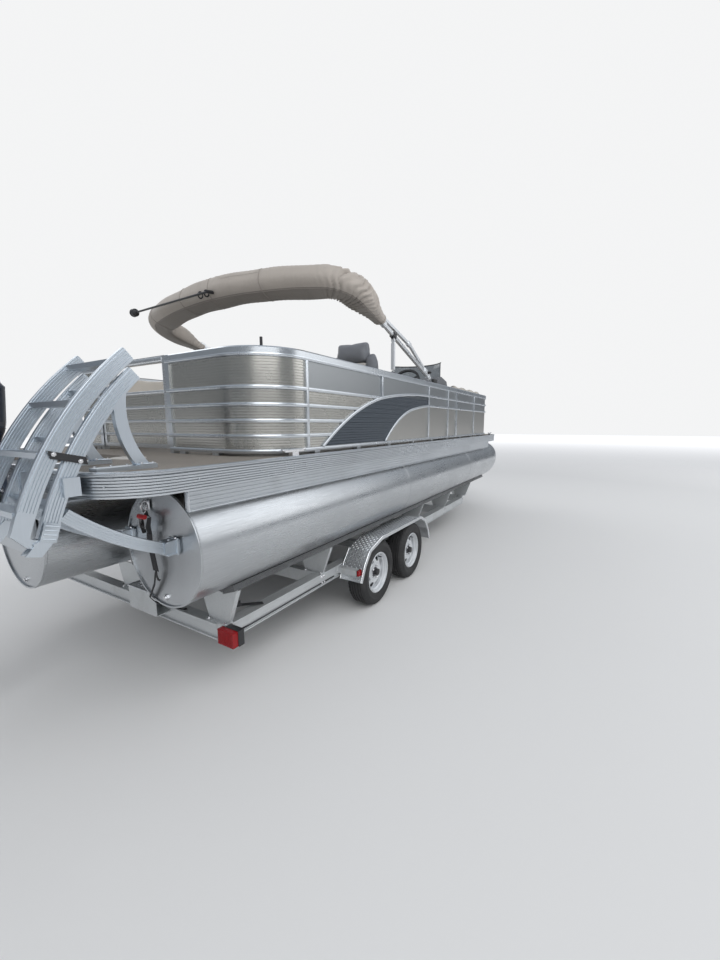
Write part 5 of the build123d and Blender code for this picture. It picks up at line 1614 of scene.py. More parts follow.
@dataclass
class HullTubes:
    """Weld beads, cap seams, drain plugs and tie-down eyes of the three hull tubes."""

    tubes: tuple[Pair, ...] = ((-962.0, 418.0), (0.0, 140.0), (962.0, 418.0))
    height: float = 994.0
    radius: float = 317.5
    joints: tuple[float, ...] = (2932.0, 5180.0)

    def bead(self, bench: Bench, y: float, x: float, radius: float, size: float) -> Mesh:
        """A weld bead round a tube, its edge scalloped like laid coins."""
        count = 300
        points = []
        faces = []
        for i in range(count):
            a = 2 * math.pi * i / count
            wave = size * (0.82 + 0.18 * math.cos(i * math.pi / 1.5))
            for j in range(5):
                b = math.pi * j / 4
                r = radius - 0.5 + wave * math.sin(b)
                points.append(
                    at(x - wave * 1.6 * math.cos(b), y + r * math.cos(a), self.height + r * math.sin(a))
                )
            for j in range(4):
                k = (i + 1) % count
                faces.append((i * 5 + j, k * 5 + j, k * 5 + j + 1, i * 5 + j + 1))
        return bench.shell(points, faces, "hull_cap")

    def eye(self, bench: Bench, y: float, x: float) -> list[Mesh]:
        """Eye bracket near the top of a cap: plate, bolts and a ring."""
        made = [bench.box(at(x - 6, y - 26, 1196), at(x + 1, y + 26, 1252), "bright_steel", 0.002)]
        ring = [
            at(x - 8 - 26 * math.sin(a), y, 1222 + 24 * math.cos(a)) for a in np.linspace(0, math.pi, 15)
        ]
        made.append(bench.trees.tube([ring], 0.005, "bright_steel"))
        return made

    def build(self, bench: Bench) -> None:
        """Add the seams and fittings."""
        made = []
        for y, aft in self.tubes:
            made.append(self.bead(bench, y, aft + 3, self.radius, 3.4))
            made += [self.bead(bench, y, x, self.radius, 3.0) for x in self.joints]
            plug = ((0.0, 0.016), (0.006, 0.016), (0.007, 0.011), (0.014, 0.010))
            made.append(bench.spun(plug, at(aft, y, self.height - 268), (-1, 0, 0), "bright_steel", 6))
            if aft > 400:
                made += self.eye(bench, y + (105 if y < 0 else -105), aft - 8)
                for out in (-90, 90):
                    web = [(0, 1240), (0, 1338), (40, 1338), (40, 1262)]
                    ridge = [at(aft + 20 + u, y + out - 4, z) for u, z in web]
                    made.append(bench.plate(ridge, Vector((0, 0.008, 0)), "apron_mill", 0.001))
        bench.piece("hull_seams", made)
        edge = []
        for side in (-1, 1):
            near, far = between_sides(side, 1176.0, 1206.0)
            edge.append(bench.box(at(414, near, 1222), at(421, far, 1342), "edge_trim", 0.0015))
            lip = [at(420, side * 1191, 1222), at(6646, side * 1191, 1222)]
            edge.append(bench.trees.tube([lip], 0.004, "apron_mill", steps=8))
        bench.piece("apron_edges", edge)


@dataclass
class DeckFittings:
    """Round deck plate, cleat horns and the rivets along the skirt."""

    ring_at: Pair = (545.0, -470.0)

    def build(self, bench: Bench) -> None:
        """Add the small deck fittings."""
        x, y = self.ring_at
        cover = (
            (0.0, 0.098), (0.004, 0.096), (0.006, 0.088), (0.0045, 0.074), (0.0045, 0.070), (0.006, 0.066),
            (0.006, 0.02)
        )
        made = [bench.spun(cover, at(x, y, 1445), (0, 0, 1), "base_moulding", 40)]
        grip = [at(x + 30 * math.cos(a), y + 30 * math.sin(a), 1451) for a in np.linspace(0.3, 2.8, 9)]
        made.append(bench.trees.tube([grip], 0.003, "base_moulding"))
        bench.piece("deck_plate_round", made)
        horns = []
        for x in (1150.0, 6450.0):
            for side in (-1, 1):
                y = side * 1248.0
                for end in (-1, 1):
                    tip = [at(x + end * 60, y, 1482), at(x + end * 92, y, 1484), at(x + end * 112, y, 1490)]
                    horns.append(bench.trees.tube([tip], 0.007, "bright_steel"))
        bench.piece("cleat_horns", horns)
        places = []
        for path in (DECK.starboard(2, 1391, 380), DECK.port(2, 1391, 380)):
            length = 0.0
            for p, q in zip(path, path[1:]):
                run = (q - p).length
                out = Vector((q.y - p.y, p.x - q.x, 0)).normalized()
                while length < run:
                    places.append((p.lerp(q, length / run), out, 0.0))
                    length += 0.40
                length -= run
        bench.piece("skirt_rivets", [Fastener.RIVET.set_out(bench, places, 0.9, "edge_trim")])


@dataclass
class Pad:
    """One cushion before it is blown up: its starting shape, its group, and how far it may swell."""

    group: str
    finish: str
    shape: Mesh
    floor: float
    cap: float = 0.016


class Upholstery:
    """Blows pads up with one cloth simulation and joins them by group."""

    voxel = 0.017
    pressure = 4.0
    last_frame = 20

    def __init__(self, bench: Bench) -> None:
        """Keep the bench and start without pads."""
        self.bench = bench
        self.pads: list[Pad] = []

    def slab(
        self, group: str, finish: str, outline: Sequence[Point], depth: Vector, cap: float = 0.016
    ) -> None:
        """Add a pad pushed out from an outline, its edges rounded."""
        low = min(min(p.z, (p + depth).z) for p in outline)
        self.pads.append(Pad(group, finish, self.bench.plate(outline, depth, finish, 0.018), low, cap))

    def remeshed(self, pad: Pad) -> Mesh:
        """The pad's shape as even small squares."""
        thing = bpy.data.objects.new("pad", pad.shape)
        bpy.context.scene.collection.objects.link(thing)
        modifier = thing.modifiers.new("even", "REMESH")
        modifier.mode = "VOXEL"
        modifier.voxel_size = self.voxel
        graph = bpy.context.evaluated_depsgraph_get()
        made = bpy.data.meshes.new_from_object(thing.evaluated_get(graph))
        bpy.data.objects.remove(thing)
        return made

    def blown(self, points: np.ndarray, faces: list[tuple[int, ...]]) -> np.ndarray:
        """Where the cloth simulation carries the points of all the pads."""
        made = bpy.data.meshes.new("pads")
        made.from_pydata(points.tolist(), [], faces)
        thing = bpy.data.objects.new("pads", made)
        scene = bpy.context.scene
        scene.collection.objects.link(thing)
        cloth = thing.modifiers.new("cloth", "CLOTH")
        settings = cloth.settings
        settings.quality = 4
        settings.mass = 0.3
        settings.tension_stiffness = settings.compression_stiffness = 12.0
        settings.bending_stiffness = 0.4
        settings.use_pressure = True
        settings.uniform_pressure_force = self.pressure
        settings.effector_weights.gravity = 0.0
        cloth.collision_settings.use_collision = False
        cloth.collision_settings.use_self_collision = False
        for step in range(1, self.last_frame + 1):
            scene.frame_set(step)
        graph = bpy.context.evaluated_depsgraph_get()
        result = thing.evaluated_get(graph).to_mesh()
        moved = np.empty(len(points) * 3)
        result.vertices.foreach_get("co", moved)
        scene.frame_set(1)
        bpy.data.objects.remove(thing)
        return moved.reshape(-1, 3)

    def inflate(self) -> dict[str, list[Mesh]]:
        """Blow up every pad.

        Returns:
            The finished meshes of each group.
        """
        meshes = [self.remeshed(pad) for pad in self.pads]
        clouds = []
        for made in meshes:
            flat = np.empty(len(made.vertices) * 3)
            made.vertices.foreach_get("co", flat)
            clouds.append(flat.reshape(-1, 3))
        starts = np.cumsum([0] + [len(cloud) for cloud in clouds])
        points = np.concatenate(clouds)
        faces = [
            tuple(v + start for v in f.vertices) for made, start in zip(meshes, starts)
            for f in made.polygons
        ]
        LOG.info("pads: %d points", len(points))
        moved = self.blown(points, faces)
        groups: dict[str, list[Mesh]] = {}
        for pad, made, start, end in zip(self.pads, meshes, starts, starts[1:]):
            shift = moved[start:end] - points[start:end]
            length = np.linalg.norm(shift, axis=1, keepdims=True)
            shift *= np.minimum(1.0, pad.cap / np.maximum(length, 1e-9))
            placed = points[start:end] + shift
            placed[:, 2] = np.maximum(placed[:, 2], pad.floor)
            made.vertices.foreach_set("co", placed.ravel())
            made.materials.clear()
            made.materials.append(self.bench.skin(pad.finish))
            made.update()
            groups.setdefault(pad.group, []).append(made)
        return groups

    def piping(self, surfaces: Sequence[Mesh], lines: Sequence[Sequence[Vector]], radius: float) -> Mesh:
        """Piping that lies on the blown-up pads along guide lines."""
        tool = bmesh.new()
        for made in surfaces:
            tool.from_mesh(made)
        tree = BVHTree.FromBMesh(tool)
        paths = []
        for line in lines:
            fine = [p.lerp(q, i / 6) for p, q in zip(line, line[1:]) for i in range(6)] + [line[-1]]
            hits = [tree.find_nearest(p) for p in fine]
            paths.append([hit[0] + hit[1] * radius * 0.4 for hit in hits if hit[0] is not None])
        tool.free()
        return self.bench.trees.tube(paths, radius, "seat_piping", steps=8)


@dataclass
class Cockpit:
    """Lounges, captain's chairs and helm details."""

    deck: float = 1445.0
    seat_low: float = 1745.0
    seat_high: float = 1872.0
    stern_tops: float = 2106.0
    bow_tops: float = 2188.0
    bow_from: float = 3000.0
    chair_lift: float = 231.0
    lounges: tuple[tuple[float, float, float, int, int], ...] = (
        (4750.0, 6500.0, 600.0, -1, 3), (4750.0, 6500.0, 600.0, 1, 3), (1010.0, 2400.0, 600.0, -1, 2),
        (1010.0, 2400.0, 650.0, 1, 2),
    )
    reach: float = 1164.0
    chairs: tuple[tuple[str, float, float], ...] = (
        ("chair_helm", 2950.0, -750.0), ("chair_guest", 2950.0, 750.0)
    )

    def lounge(
        self, shop: Upholstery, x0: float, x1: float, inner: float, side: int, count: int
    ) -> list[list[Vector]]:
        """Seat, back and arm pads of one lounge; returns guide lines for its piping."""
        edge = FENCE.starboard(66, 0, 0, 0, 30)
        lines = []
        step = (x1 - x0 - 16) / count
        for i in range(count):
            a, b = x0 + 8 + i * step + 3, x0 + 8 + (i + 1) * step - 3
            plan = between(edge, a, b) + [at(b, -inner - 16, 0), at(a, -inner - 16, 0)]
            plan = [Vector((p.x, -side * p.y, mm(self.seat_low + 3))) for p in plan]
            shop.slab("seats", "seat_cover", plan, Vector((0, 0, mm(self.seat_high - self.seat_low - 14))))
            top = Vector((0, 0, mm(self.seat_high - self.seat_low - 6)))
            lines.append([p + top for p in (*plan, plan[0])])
        top = self.bow_tops if x0 > self.bow_from else self.stern_tops
        low = self.seat_high + 10
        a0, a1 = max(x0 + 12, 1336.0), min(x1 - 12, 6044.0)
        step = (a1 - a0) / count
        outline = ((10, low), (10, top - 46), (58, top), (112, top - 18), (176, low))
        for i in range(count):
            a, b = a0 + i * step + 4, a0 + (i + 1) * step - 4
            face = [at(a, side * (self.reach - u), z) for u, z in outline]
            shop.slab("backs", "back_cover", face, Vector((mm(b - a), 0, 0)))
            front = [(176, low + 8), (114, top - 18), (60, top + 4)]
            for x in (a + 4, b - 4):
                lines.append([at(x, side * (self.reach - u), z) for u, z in front])
        e0, e1 = (x0 + 14, x0 + 168) if x0 > self.bow_from else (x1 - 168, x1 - 14)
        lean = [(e0, low), (e1, low), (e1 - 26, min(top, 2150.0)), (e0 + 26, min(top, 2150.0))]
        face = [at(x, side * (self.reach - 206), z) for x, z in lean]
        shop.slab("backs", "back_cover", face, Vector((0, -side * mm(self.reach - 206 - inner - 26), 0)))
        return lines

    def chair(self, shop: Upholstery, name: str, x: float, y: float) -> None:
        """Pads of one captain's chair: seat, bolsters, back, head roll, wings and arms."""
        z = self.deck + self.chair_lift

        def side_pad(finish: str, outline: Sequence[Pair], y0: float, y1: float) -> None:
            """A pad drawn in side view."""
            face = [at(x + u, y + y0, z + v) for u, v in outline]
            shop.slab(name, finish, face, Vector((0, mm(y1 - y0), 0)), 0.012)

        seat = ((-232, 52), (240, 46), (252, 120), (236, 168), (-232, 150))
        side_pad("chair_light", seat, -176, 176)
        back = ((-268, 160), (-184, 172), (-176, 330), (-210, 552), (-300, 552), (-300, 330))
        side_pad("chair_light", back, -150, 150)
        roll = ((-334, 572), (-206, 566), (-204, 640), (-240, 762), (-312, 756), (-338, 640))
        side_pad("chair_dark", roll, -168, 168)
        for e in (-1, 1):
            wing = ((-320, 110), (-168, 104), (-150, 330), (-186, 590), (-250, 660), (-322, 600))
            side_pad("chair_dark", wing, *between_sides(e, 158, 238))
            bolster = ((-236, 50), (236, 48), (248, 140), (220, 178), (-160, 176))
            side_pad("chair_dark", bolster, *between_sides(e, 184, 242))
            arm = ((-240, 284), (118, 284), (126, 330), (-240, 334))
            side_pad("chair_dark", arm, *between_sides(e, 252, 306))

    def chair_hardware(self, bench: Bench, name: str, x: float, y: float) -> None:
        """Shell, slide rails, swivel plate, arm brackets and slide lever of one chair."""
        z = self.deck + self.chair_lift
        made = [
            bench.box(at(x - 150, y - 150, z), at(x + 150, y + 150, z + 8), "black_plastic", 0.003),
            bench.box(at(x - 190, y - 120, z + 34), at(x + 200, y + 120, z + 44), "black_plastic", 0.003),
            bench.box(at(x - 328, y - 160, z + 90), at(x - 300, y + 160, z + 560), "base_moulding", 0.012),
        ]
        for e in (-1, 1):
            near, far = between_sides(e, 96.0, 120.0)
            made.append(
                bench.box(at(x - 170, y + near, z + 8), at(x + 170, y + far, z + 34), "bright_steel", 0.003)
            )
            post = [
                at(x - 205, y + e * 246, z + 120), at(x - 205, y + e * 262, z + 200),
                at(x - 200, y + e * 278, z + 290)
            ]
            made.append(bench.trees.tube([post], 0.014, "black_plastic"))
        lever = [at(x + 120, y - 110, z + 24), at(x + 215, y - 150, z + 26), at(x + 240, y - 150, z + 30)]
        made.append(bench.trees.tube([lever], 0.006, "black_plastic"))
        bench.piece(f"{name}_hardware", made, name)

    def helm(self, bench: Bench) -> None:
        """Gauges, switches, throttle, grab rail and dash trim on the console."""
        slope = Vector((0.260, 0.0, 0.150)).normalized()
        out = Vector((-slope.z, 0.0, slope.x))
        made = []
        gauges = [(0.150, y, 0.045) for y in (-680, -800, -920)]
        gauges += [(0.235, y, 0.028) for y in (-740, -860)]
        for u, y, r in gauges:
            spot = at(3870, y, 2085) + slope * u
            bezel = (
                (0.0, r + 0.005), (0.007, r + 0.004), (0.010, r), (0.007, r - 0.004), (0.004, r - 0.005)
            )
            made.append(bench.spun(bezel, spot, out, "black_plastic", 36))
            made.append(bench.spun(((0.0042, r - 0.005), (0.0048, r - 0.006)), spot, out, "dial_face", 36))
            marks = []
            for i in range(9):
                a = math.radians(-120 + 30 * i)
                ray = slope * math.cos(a) + Vector((0, 1, 0)) * math.sin(a)
                marks.append([spot + out * 0.005 + ray * (r * share) for share in (0.68, 0.82)])
            hand = (slope - Vector((0, 1, 0))).normalized() * r
            marks.append([spot + out * 0.0055 + hand * share for share in (0.0, 0.6)])
            made.append(bench.trees.tube(marks, 0.0009, "dial_mark", steps=5))
        for i in range(6):
            spot = at(3870, -1010 + 16 * i, 2085) + slope * 0.05
            made.append(
                bench.box(
                    spot - Vector((0.008, 0.005, 0)), spot + Vector((0.008, 0.005, 0.008)), "dial_face",
                    0.002
                )
            )
        made.append(bench.box(at(3905, -1146, 2110), at(4010, -1090, 2190), "black_plastic", 0.012))
        lever = [at(3955, -1085, 2170), at(3930, -1072, 2225), at(3905, -1066, 2262)]
        made.append(bench.trees.tube([lever], 0.009, "bright_steel"))
        knob = ((-0.035, 0.010), (-0.02, 0.016), (0.02, 0.016), (0.035, 0.010))
        made.append(bench.spun(knob, at(3903, -1066, 2266), (0, 1, 0), "black_plastic", 20))
        rail = [at(3790, -470, 1990), at(3775, -462, 2050), at(3860, -458, 2110), at(3930, -470, 2126)]
        made.append(bench.trees.tube([rail], 0.011, "bright_steel"))
        door = [at(3807, y, z) for y, z in corners(-1060, 1500, -540, 1880)]
        made.append(bench.plate(door, Vector((-0.006, 0, 0)), "console_pale", 0.002))
        pull = [at(3797, -620, 1860), at(3786, -600, 1850), at(3797, -580, 1840)]
        made.append(bench.trees.tube([pull], 0.006, "bright_steel"))
        bench.piece("helm_fittings", made)
        arc = Arc((4150, -1130), (4320, -800), (4150, -470))
        line = [at(*arc.spot(i / 24), 2410) for i in range(25)]
        bench.piece("screen_edge", [bench.trees.tube([line], 0.007, "black_plastic", steps=8)])

    def build(self, bench: Bench) -> None:
        """Blow up all the pads together, then add piping, hardware and the helm."""
        shop = Upholstery(bench)
        lines = [line for spec in self.lounges for line in self.lounge(shop, *spec)]
        for name, x, y in self.chairs:
            self.chair(shop, name, x, y)
        groups = shop.inflate()
        for name, group, node in (
            ("lounge_seat_pads", "seats", "lounge_cushions"), ("lounge_back_pads", "backs", "lounge_backs")
        ):
            bench.piece(name, groups[group], replaces=[node], sharp=80)
        bench.piece("lounge_piping", [shop.piping(groups["seats"] + groups["backs"], lines, 0.0042)])
        for name, x, y in self.chairs:
            bench.piece(f"{name}_pads", groups[name], name, [name], sharp=80)
            self.chair_hardware(bench, name, x, y)
        self.helm(bench)


@dataclass
class SunTop:
    """Canvas boot with its gathers and seams, leg knuckles, pole clips and the round lamp."""

    pivot: Pair = (3580.0, 2160.0)
    half: float = 1200.0
    tilt: float = math.radians(17.7)
    corner: float = 260.0
    straight: float = 1600.0
    reach: float = 1990.0
    start: float = 1235.0
    wide: float = 125.0
    tall: float = 85.0
    under: Pair = (0.62, 0.80)
    stations: int = 440
    ring: int = 64

    def spot(self, along: float, y: float, lift: float = 0.0) -> Vector:
        """Point from the distance along the legs, the distance to port and the height over their plane."""
        x = self.pivot[0] - along * math.cos(self.tilt) + lift * math.sin(self.tilt)
        return at(x, y, self.pivot[1] + along * math.sin(self.tilt) + lift * math.cos(self.tilt))

    def centre_line(self) -> list[Pair]:
        """Bow of the frame in its own plane, port to starboard, as distance along and to port."""
        yc = self.half - self.corner
        ahead = self.reach - self.straight
        big = (yc**2 + ahead**2 - self.corner**2) / (2 * (ahead - self.corner))
        meet = math.atan2(yc, big - ahead)
        line = [(self.start + (self.straight - self.start) * i / 20, self.half) for i in range(20)]
        turn = [math.pi / 2 + (meet - math.pi / 2) * i / 30 for i in range(30)]
        line += [(self.straight + self.corner * math.cos(a), yc + self.corner * math.sin(a)) for a in turn]
        crown_turn = [meet - meet * i / 40 for i in range(40)]
        line += [(self.reach - big + big * math.cos(a), big * math.sin(a)) for a in crown_turn]
        return [*line, (self.reach, 0.0), *[(u, -y) for u, y in reversed(line)]]

    def even(self) -> tuple[np.ndarray, np.ndarray, float]:
        """Evenly spaced points of the line, their unit headings and the spacing."""
        line = np.array(self.centre_line())
        run = np.concatenate([[0.0], np.cumsum(np.linalg.norm(np.diff(line, axis=0), axis=1))])
        marks = np.linspace(0.0, run[-1], self.stations)
        points = np.stack([np.interp(marks, run, line[:, i]) for i in (0, 1)], axis=1)
        heading = np.gradient(points, axis=0)
        return points, heading / np.linalg.norm(heading, axis=1, keepdims=True), marks[1]

    def girth(self, angle: float) -> Pair:
        """Point of the rounded-rectangle section at an angle, as (away from the boat, up)."""
        c, s = math.cos(angle), math.sin(angle)
        power = 2 / 2.3 if s < 0 < c else 2 / 3.4
        return (
            self.wide * math.copysign(abs(c) ** power, c), self.tall * math.copysign(abs(s) ** power, s)
        )

    @staticmethod
    def ease(value: float, low: float, high: float) -> float:
        """Smooth step from 0 to 1 between two values."""
        t = min(1.0, max(0.0, (value - low) / (high - low)))
        return t * t * (3 - 2 * t)

    def boot(self, bench: Bench) -> None:
        """The rolled canvas in its boot: gathered at the starboard corner, drawn in at both ends, with
        painted shade in its folds and on its underside.
        """
        points, heading, step = self.even()
        total = step * (self.stations - 1)
        places: list[Vector] = []
        painted_crease_shades: list[float] = []
        for i in range(self.stations):
            s = i * step
            left = total - s
            taper = 0.50 + 0.5 * self.ease(s, 0, 330) if s < left else 0.42 + 0.58 * self.ease(left, 0, 420)
            gather = self.ease(left, 60, 200) * (1 - self.ease(left, 540, 760))
            slack = 0.10 + 1.35 * gather + 0.5 * (1 - self.ease(s, 60, 300))
            nx, ny = -heading[i][1], heading[i][0]
            out = 1.0 if nx * (points[i][0] - 900) + ny * points[i][1] > 0 else -1.0
            for j in range(self.ring):
                a = 2 * math.pi * j / self.ring
                u, v = self.girth(a)
                lean = s + 26 * math.sin(a + s / 190) + 14 * math.sin(3 * a + s / 85)
                fold = 2 * math.sqrt(math.sin(lean / 13.0 + 0.7 * math.sin(s / 61)) ** 2 + 0.035) - 1.6
                fold += 0.35 * math.sin(lean / 5.3 + 2.1 * math.sin(a + s / 97))
                swell = (
                    2.6 * math.sin(s / 133 + 2 * a) + 2.2 * math.sin(s / 71 - a)
                    + 3.0 * math.sin(s / 310 + 3 * a)
                )
                sag = -5.0 * math.sin(s / total * math.pi) if v < 0 else 0.0
                tight = (1 + (swell + (8.5 if v > 0 else 6.5) * slack * fold) / 120) * taper
                hem = 2.0 * math.exp(-((s - total / 2 + 40) / 6) ** 2)
                u, v = u * tight + hem * math.cos(a), v * tight + sag + hem * math.sin(a)
                places.append(self.spot(points[i][0] + out * nx * u, points[i][1] + out * ny * u, v))
                # painted shade: how much each point is darkened in the folds' valleys
                painted_crease_shades.append(min(1.0, max(0.0, -1.15 - fold) * 1.5) * min(1.0, slack))
        faces = lattice(self.stations, self.ring)
        # painted shade: faces on the underside take the darker copy of the canvas
        low, high = self.under
        under = [low < i % self.ring / self.ring < high for i in range(len(faces))]
        faces += [tuple(range(self.ring)), tuple(range(len(places) - self.ring, len(places)))]
        made = bench.mesh(places, faces, "boot_canvas")
        made.materials.append(bench.skin("boot_underside_shade"))
        for face, dark in zip(made.polygons, under):
            face.material_index = int(dark)
        tool = bmesh.new()
        tool.from_mesh(made)
        bmesh.ops.recalc_face_normals(tool, faces=tool.faces)
        tool.to_mesh(made)
        tool.free()
        made.attributes.new("painted_crease_shade", "FLOAT", "POINT").data.foreach_set("value", painted_crease_shades)
        thing = bench.piece("canvas_boot", [made], "top", ["top_boot"], sharp=70)
        self.seams(bench, places)

    def seams(self, bench: Bench, places: Sequence[Vector]) -> None:
        """Sewn seams, zip line, hem piping and stitches that lie on the boot."""
        ring, rows = self.ring, self.stations

        def row(i: int, low: float, high: float) -> list[Vector]:
            """Part of one ring of the boot, lifted off it a little."""
            marks = range(int(low * ring), int(high * ring) + 1)
            middle = sum((places[i * ring + j] for j in range(ring)), Vector()) / ring
            return [
                places[i * ring + j % ring] + (places[i * ring + j % ring] - middle).normalized() * 0.0012
                for j in marks
            ]

        def run(share: float, first: int, last: int, end_share: float | None = None) -> list[Vector]:
            """A line along the boot at a share of its girth, sloping to another share."""
            goal = share if end_share is None else end_share
            line = []
            for i in range(first, last):
                t = (i - first) / max(1, last - first - 1)
                j = int((share + (goal - share) * t) * ring) % ring
                middle = sum((places[i * ring + m] for m in range(0, ring, 4)), Vector()) / (ring / 4)
                line.append(places[i * ring + j] + (places[i * ring + j] - middle).normalized() * 0.0012)
            return line

        middle = rows // 2
        seams = [row(int(rows * t), 0.0, 1.0) for t in (0.006, 0.21, 0.39, 0.5, 0.655, 0.992)]
        seams += [run(share, 2, rows - 2) for share in self.under]
        patch = [
            run(0.13, middle + 6, middle + 68), run(0.03, middle + 20, middle + 68),
            run(0.13, middle + 6, middle + 20, 0.03)
        ]
        made = [bench.trees.tube(seams, 0.0026, "boot_seam", steps=6)]
        made.append(bench.trees.tube(patch, 0.0016, "thread", steps=5))
        bench.piece("boot_seams", made, "top")

    def hardware(self, bench: Bench) -> None:
        """Knuckles and fine grooves on the legs, clips of the light's pole and the lens of its lamp."""
        made = []
        octagon = ((-1, -0.7), (-0.7, -1), (0.7, -1), (1, -0.7), (1, 0.7), (0.7, 1), (-0.7, 1), (-1, 0.7))
        for side in (-1, 1):
            y = side * self.half
            for along, lift, size in (
                (150, 24, 24), (640, 88, 21), (1228, 44, 23), (976, 0, 25), (30, 0, 22), (1190, 0, 24)
            ):
                lo = self.spot(along - 26, y, lift)
                hi = self.spot(along + 26, y, lift)
                section = [(mm(a * size), mm(b * size)) for a, b in octagon]
                made.append(
                    bench.trees.sweep([[lo, hi]], [section], "black_plastic" if size == 25 else "top_trim")
                )
            for end in (930, 1180):
                lines = [
                    [self.spot(60, y + e * 15.2, s), self.spot(end, y + e * 15.2, s)]
                    for e in (-1, 1) for s in (-7, 0, 7)
                ]
                made.append(bench.trees.tube(lines, 0.0013, "top_trim", steps=6))
        bench.piece("top_knuckles", made, "top")
        clips = []
        clip, lamp = (2143.0, -60.0, -96.0), (2050.0, 1180.0, -30.0)
        turn = np.linspace(0, 5.6, 20)
        for share in (0.03, 0.10):
            along, y, lift = [a + (b - a) * share for a, b in zip(clip, lamp)]
            loop = [self.spot(along - 22 + 22 * math.cos(t), y, lift + 26 * math.sin(t) + 8) for t in turn]
            clips.append(bench.trees.tube([loop], 0.006, "black_plastic"))
        head = self.spot(*lamp)
        axis = (head - self.spot(*clip)).normalized()
        lens = (
            (-0.050, 0.016), (-0.044, 0.026), (-0.030, 0.037), (-0.012, 0.0385), (-0.010, 0.0345),
            (0.012, 0.0345), (0.014, 0.0385), (0.026, 0.034), (0.036, 0.016),
        )
        clips.append(bench.spun(lens, head, axis, "black_plastic", 28))
        bench.piece("light_fittings", clips, "top")

    def build(self, bench: Bench) -> None:
        """Redraw the boot and add what hangs on the frame."""
        self.boot(bench)
        self.hardware(bench)


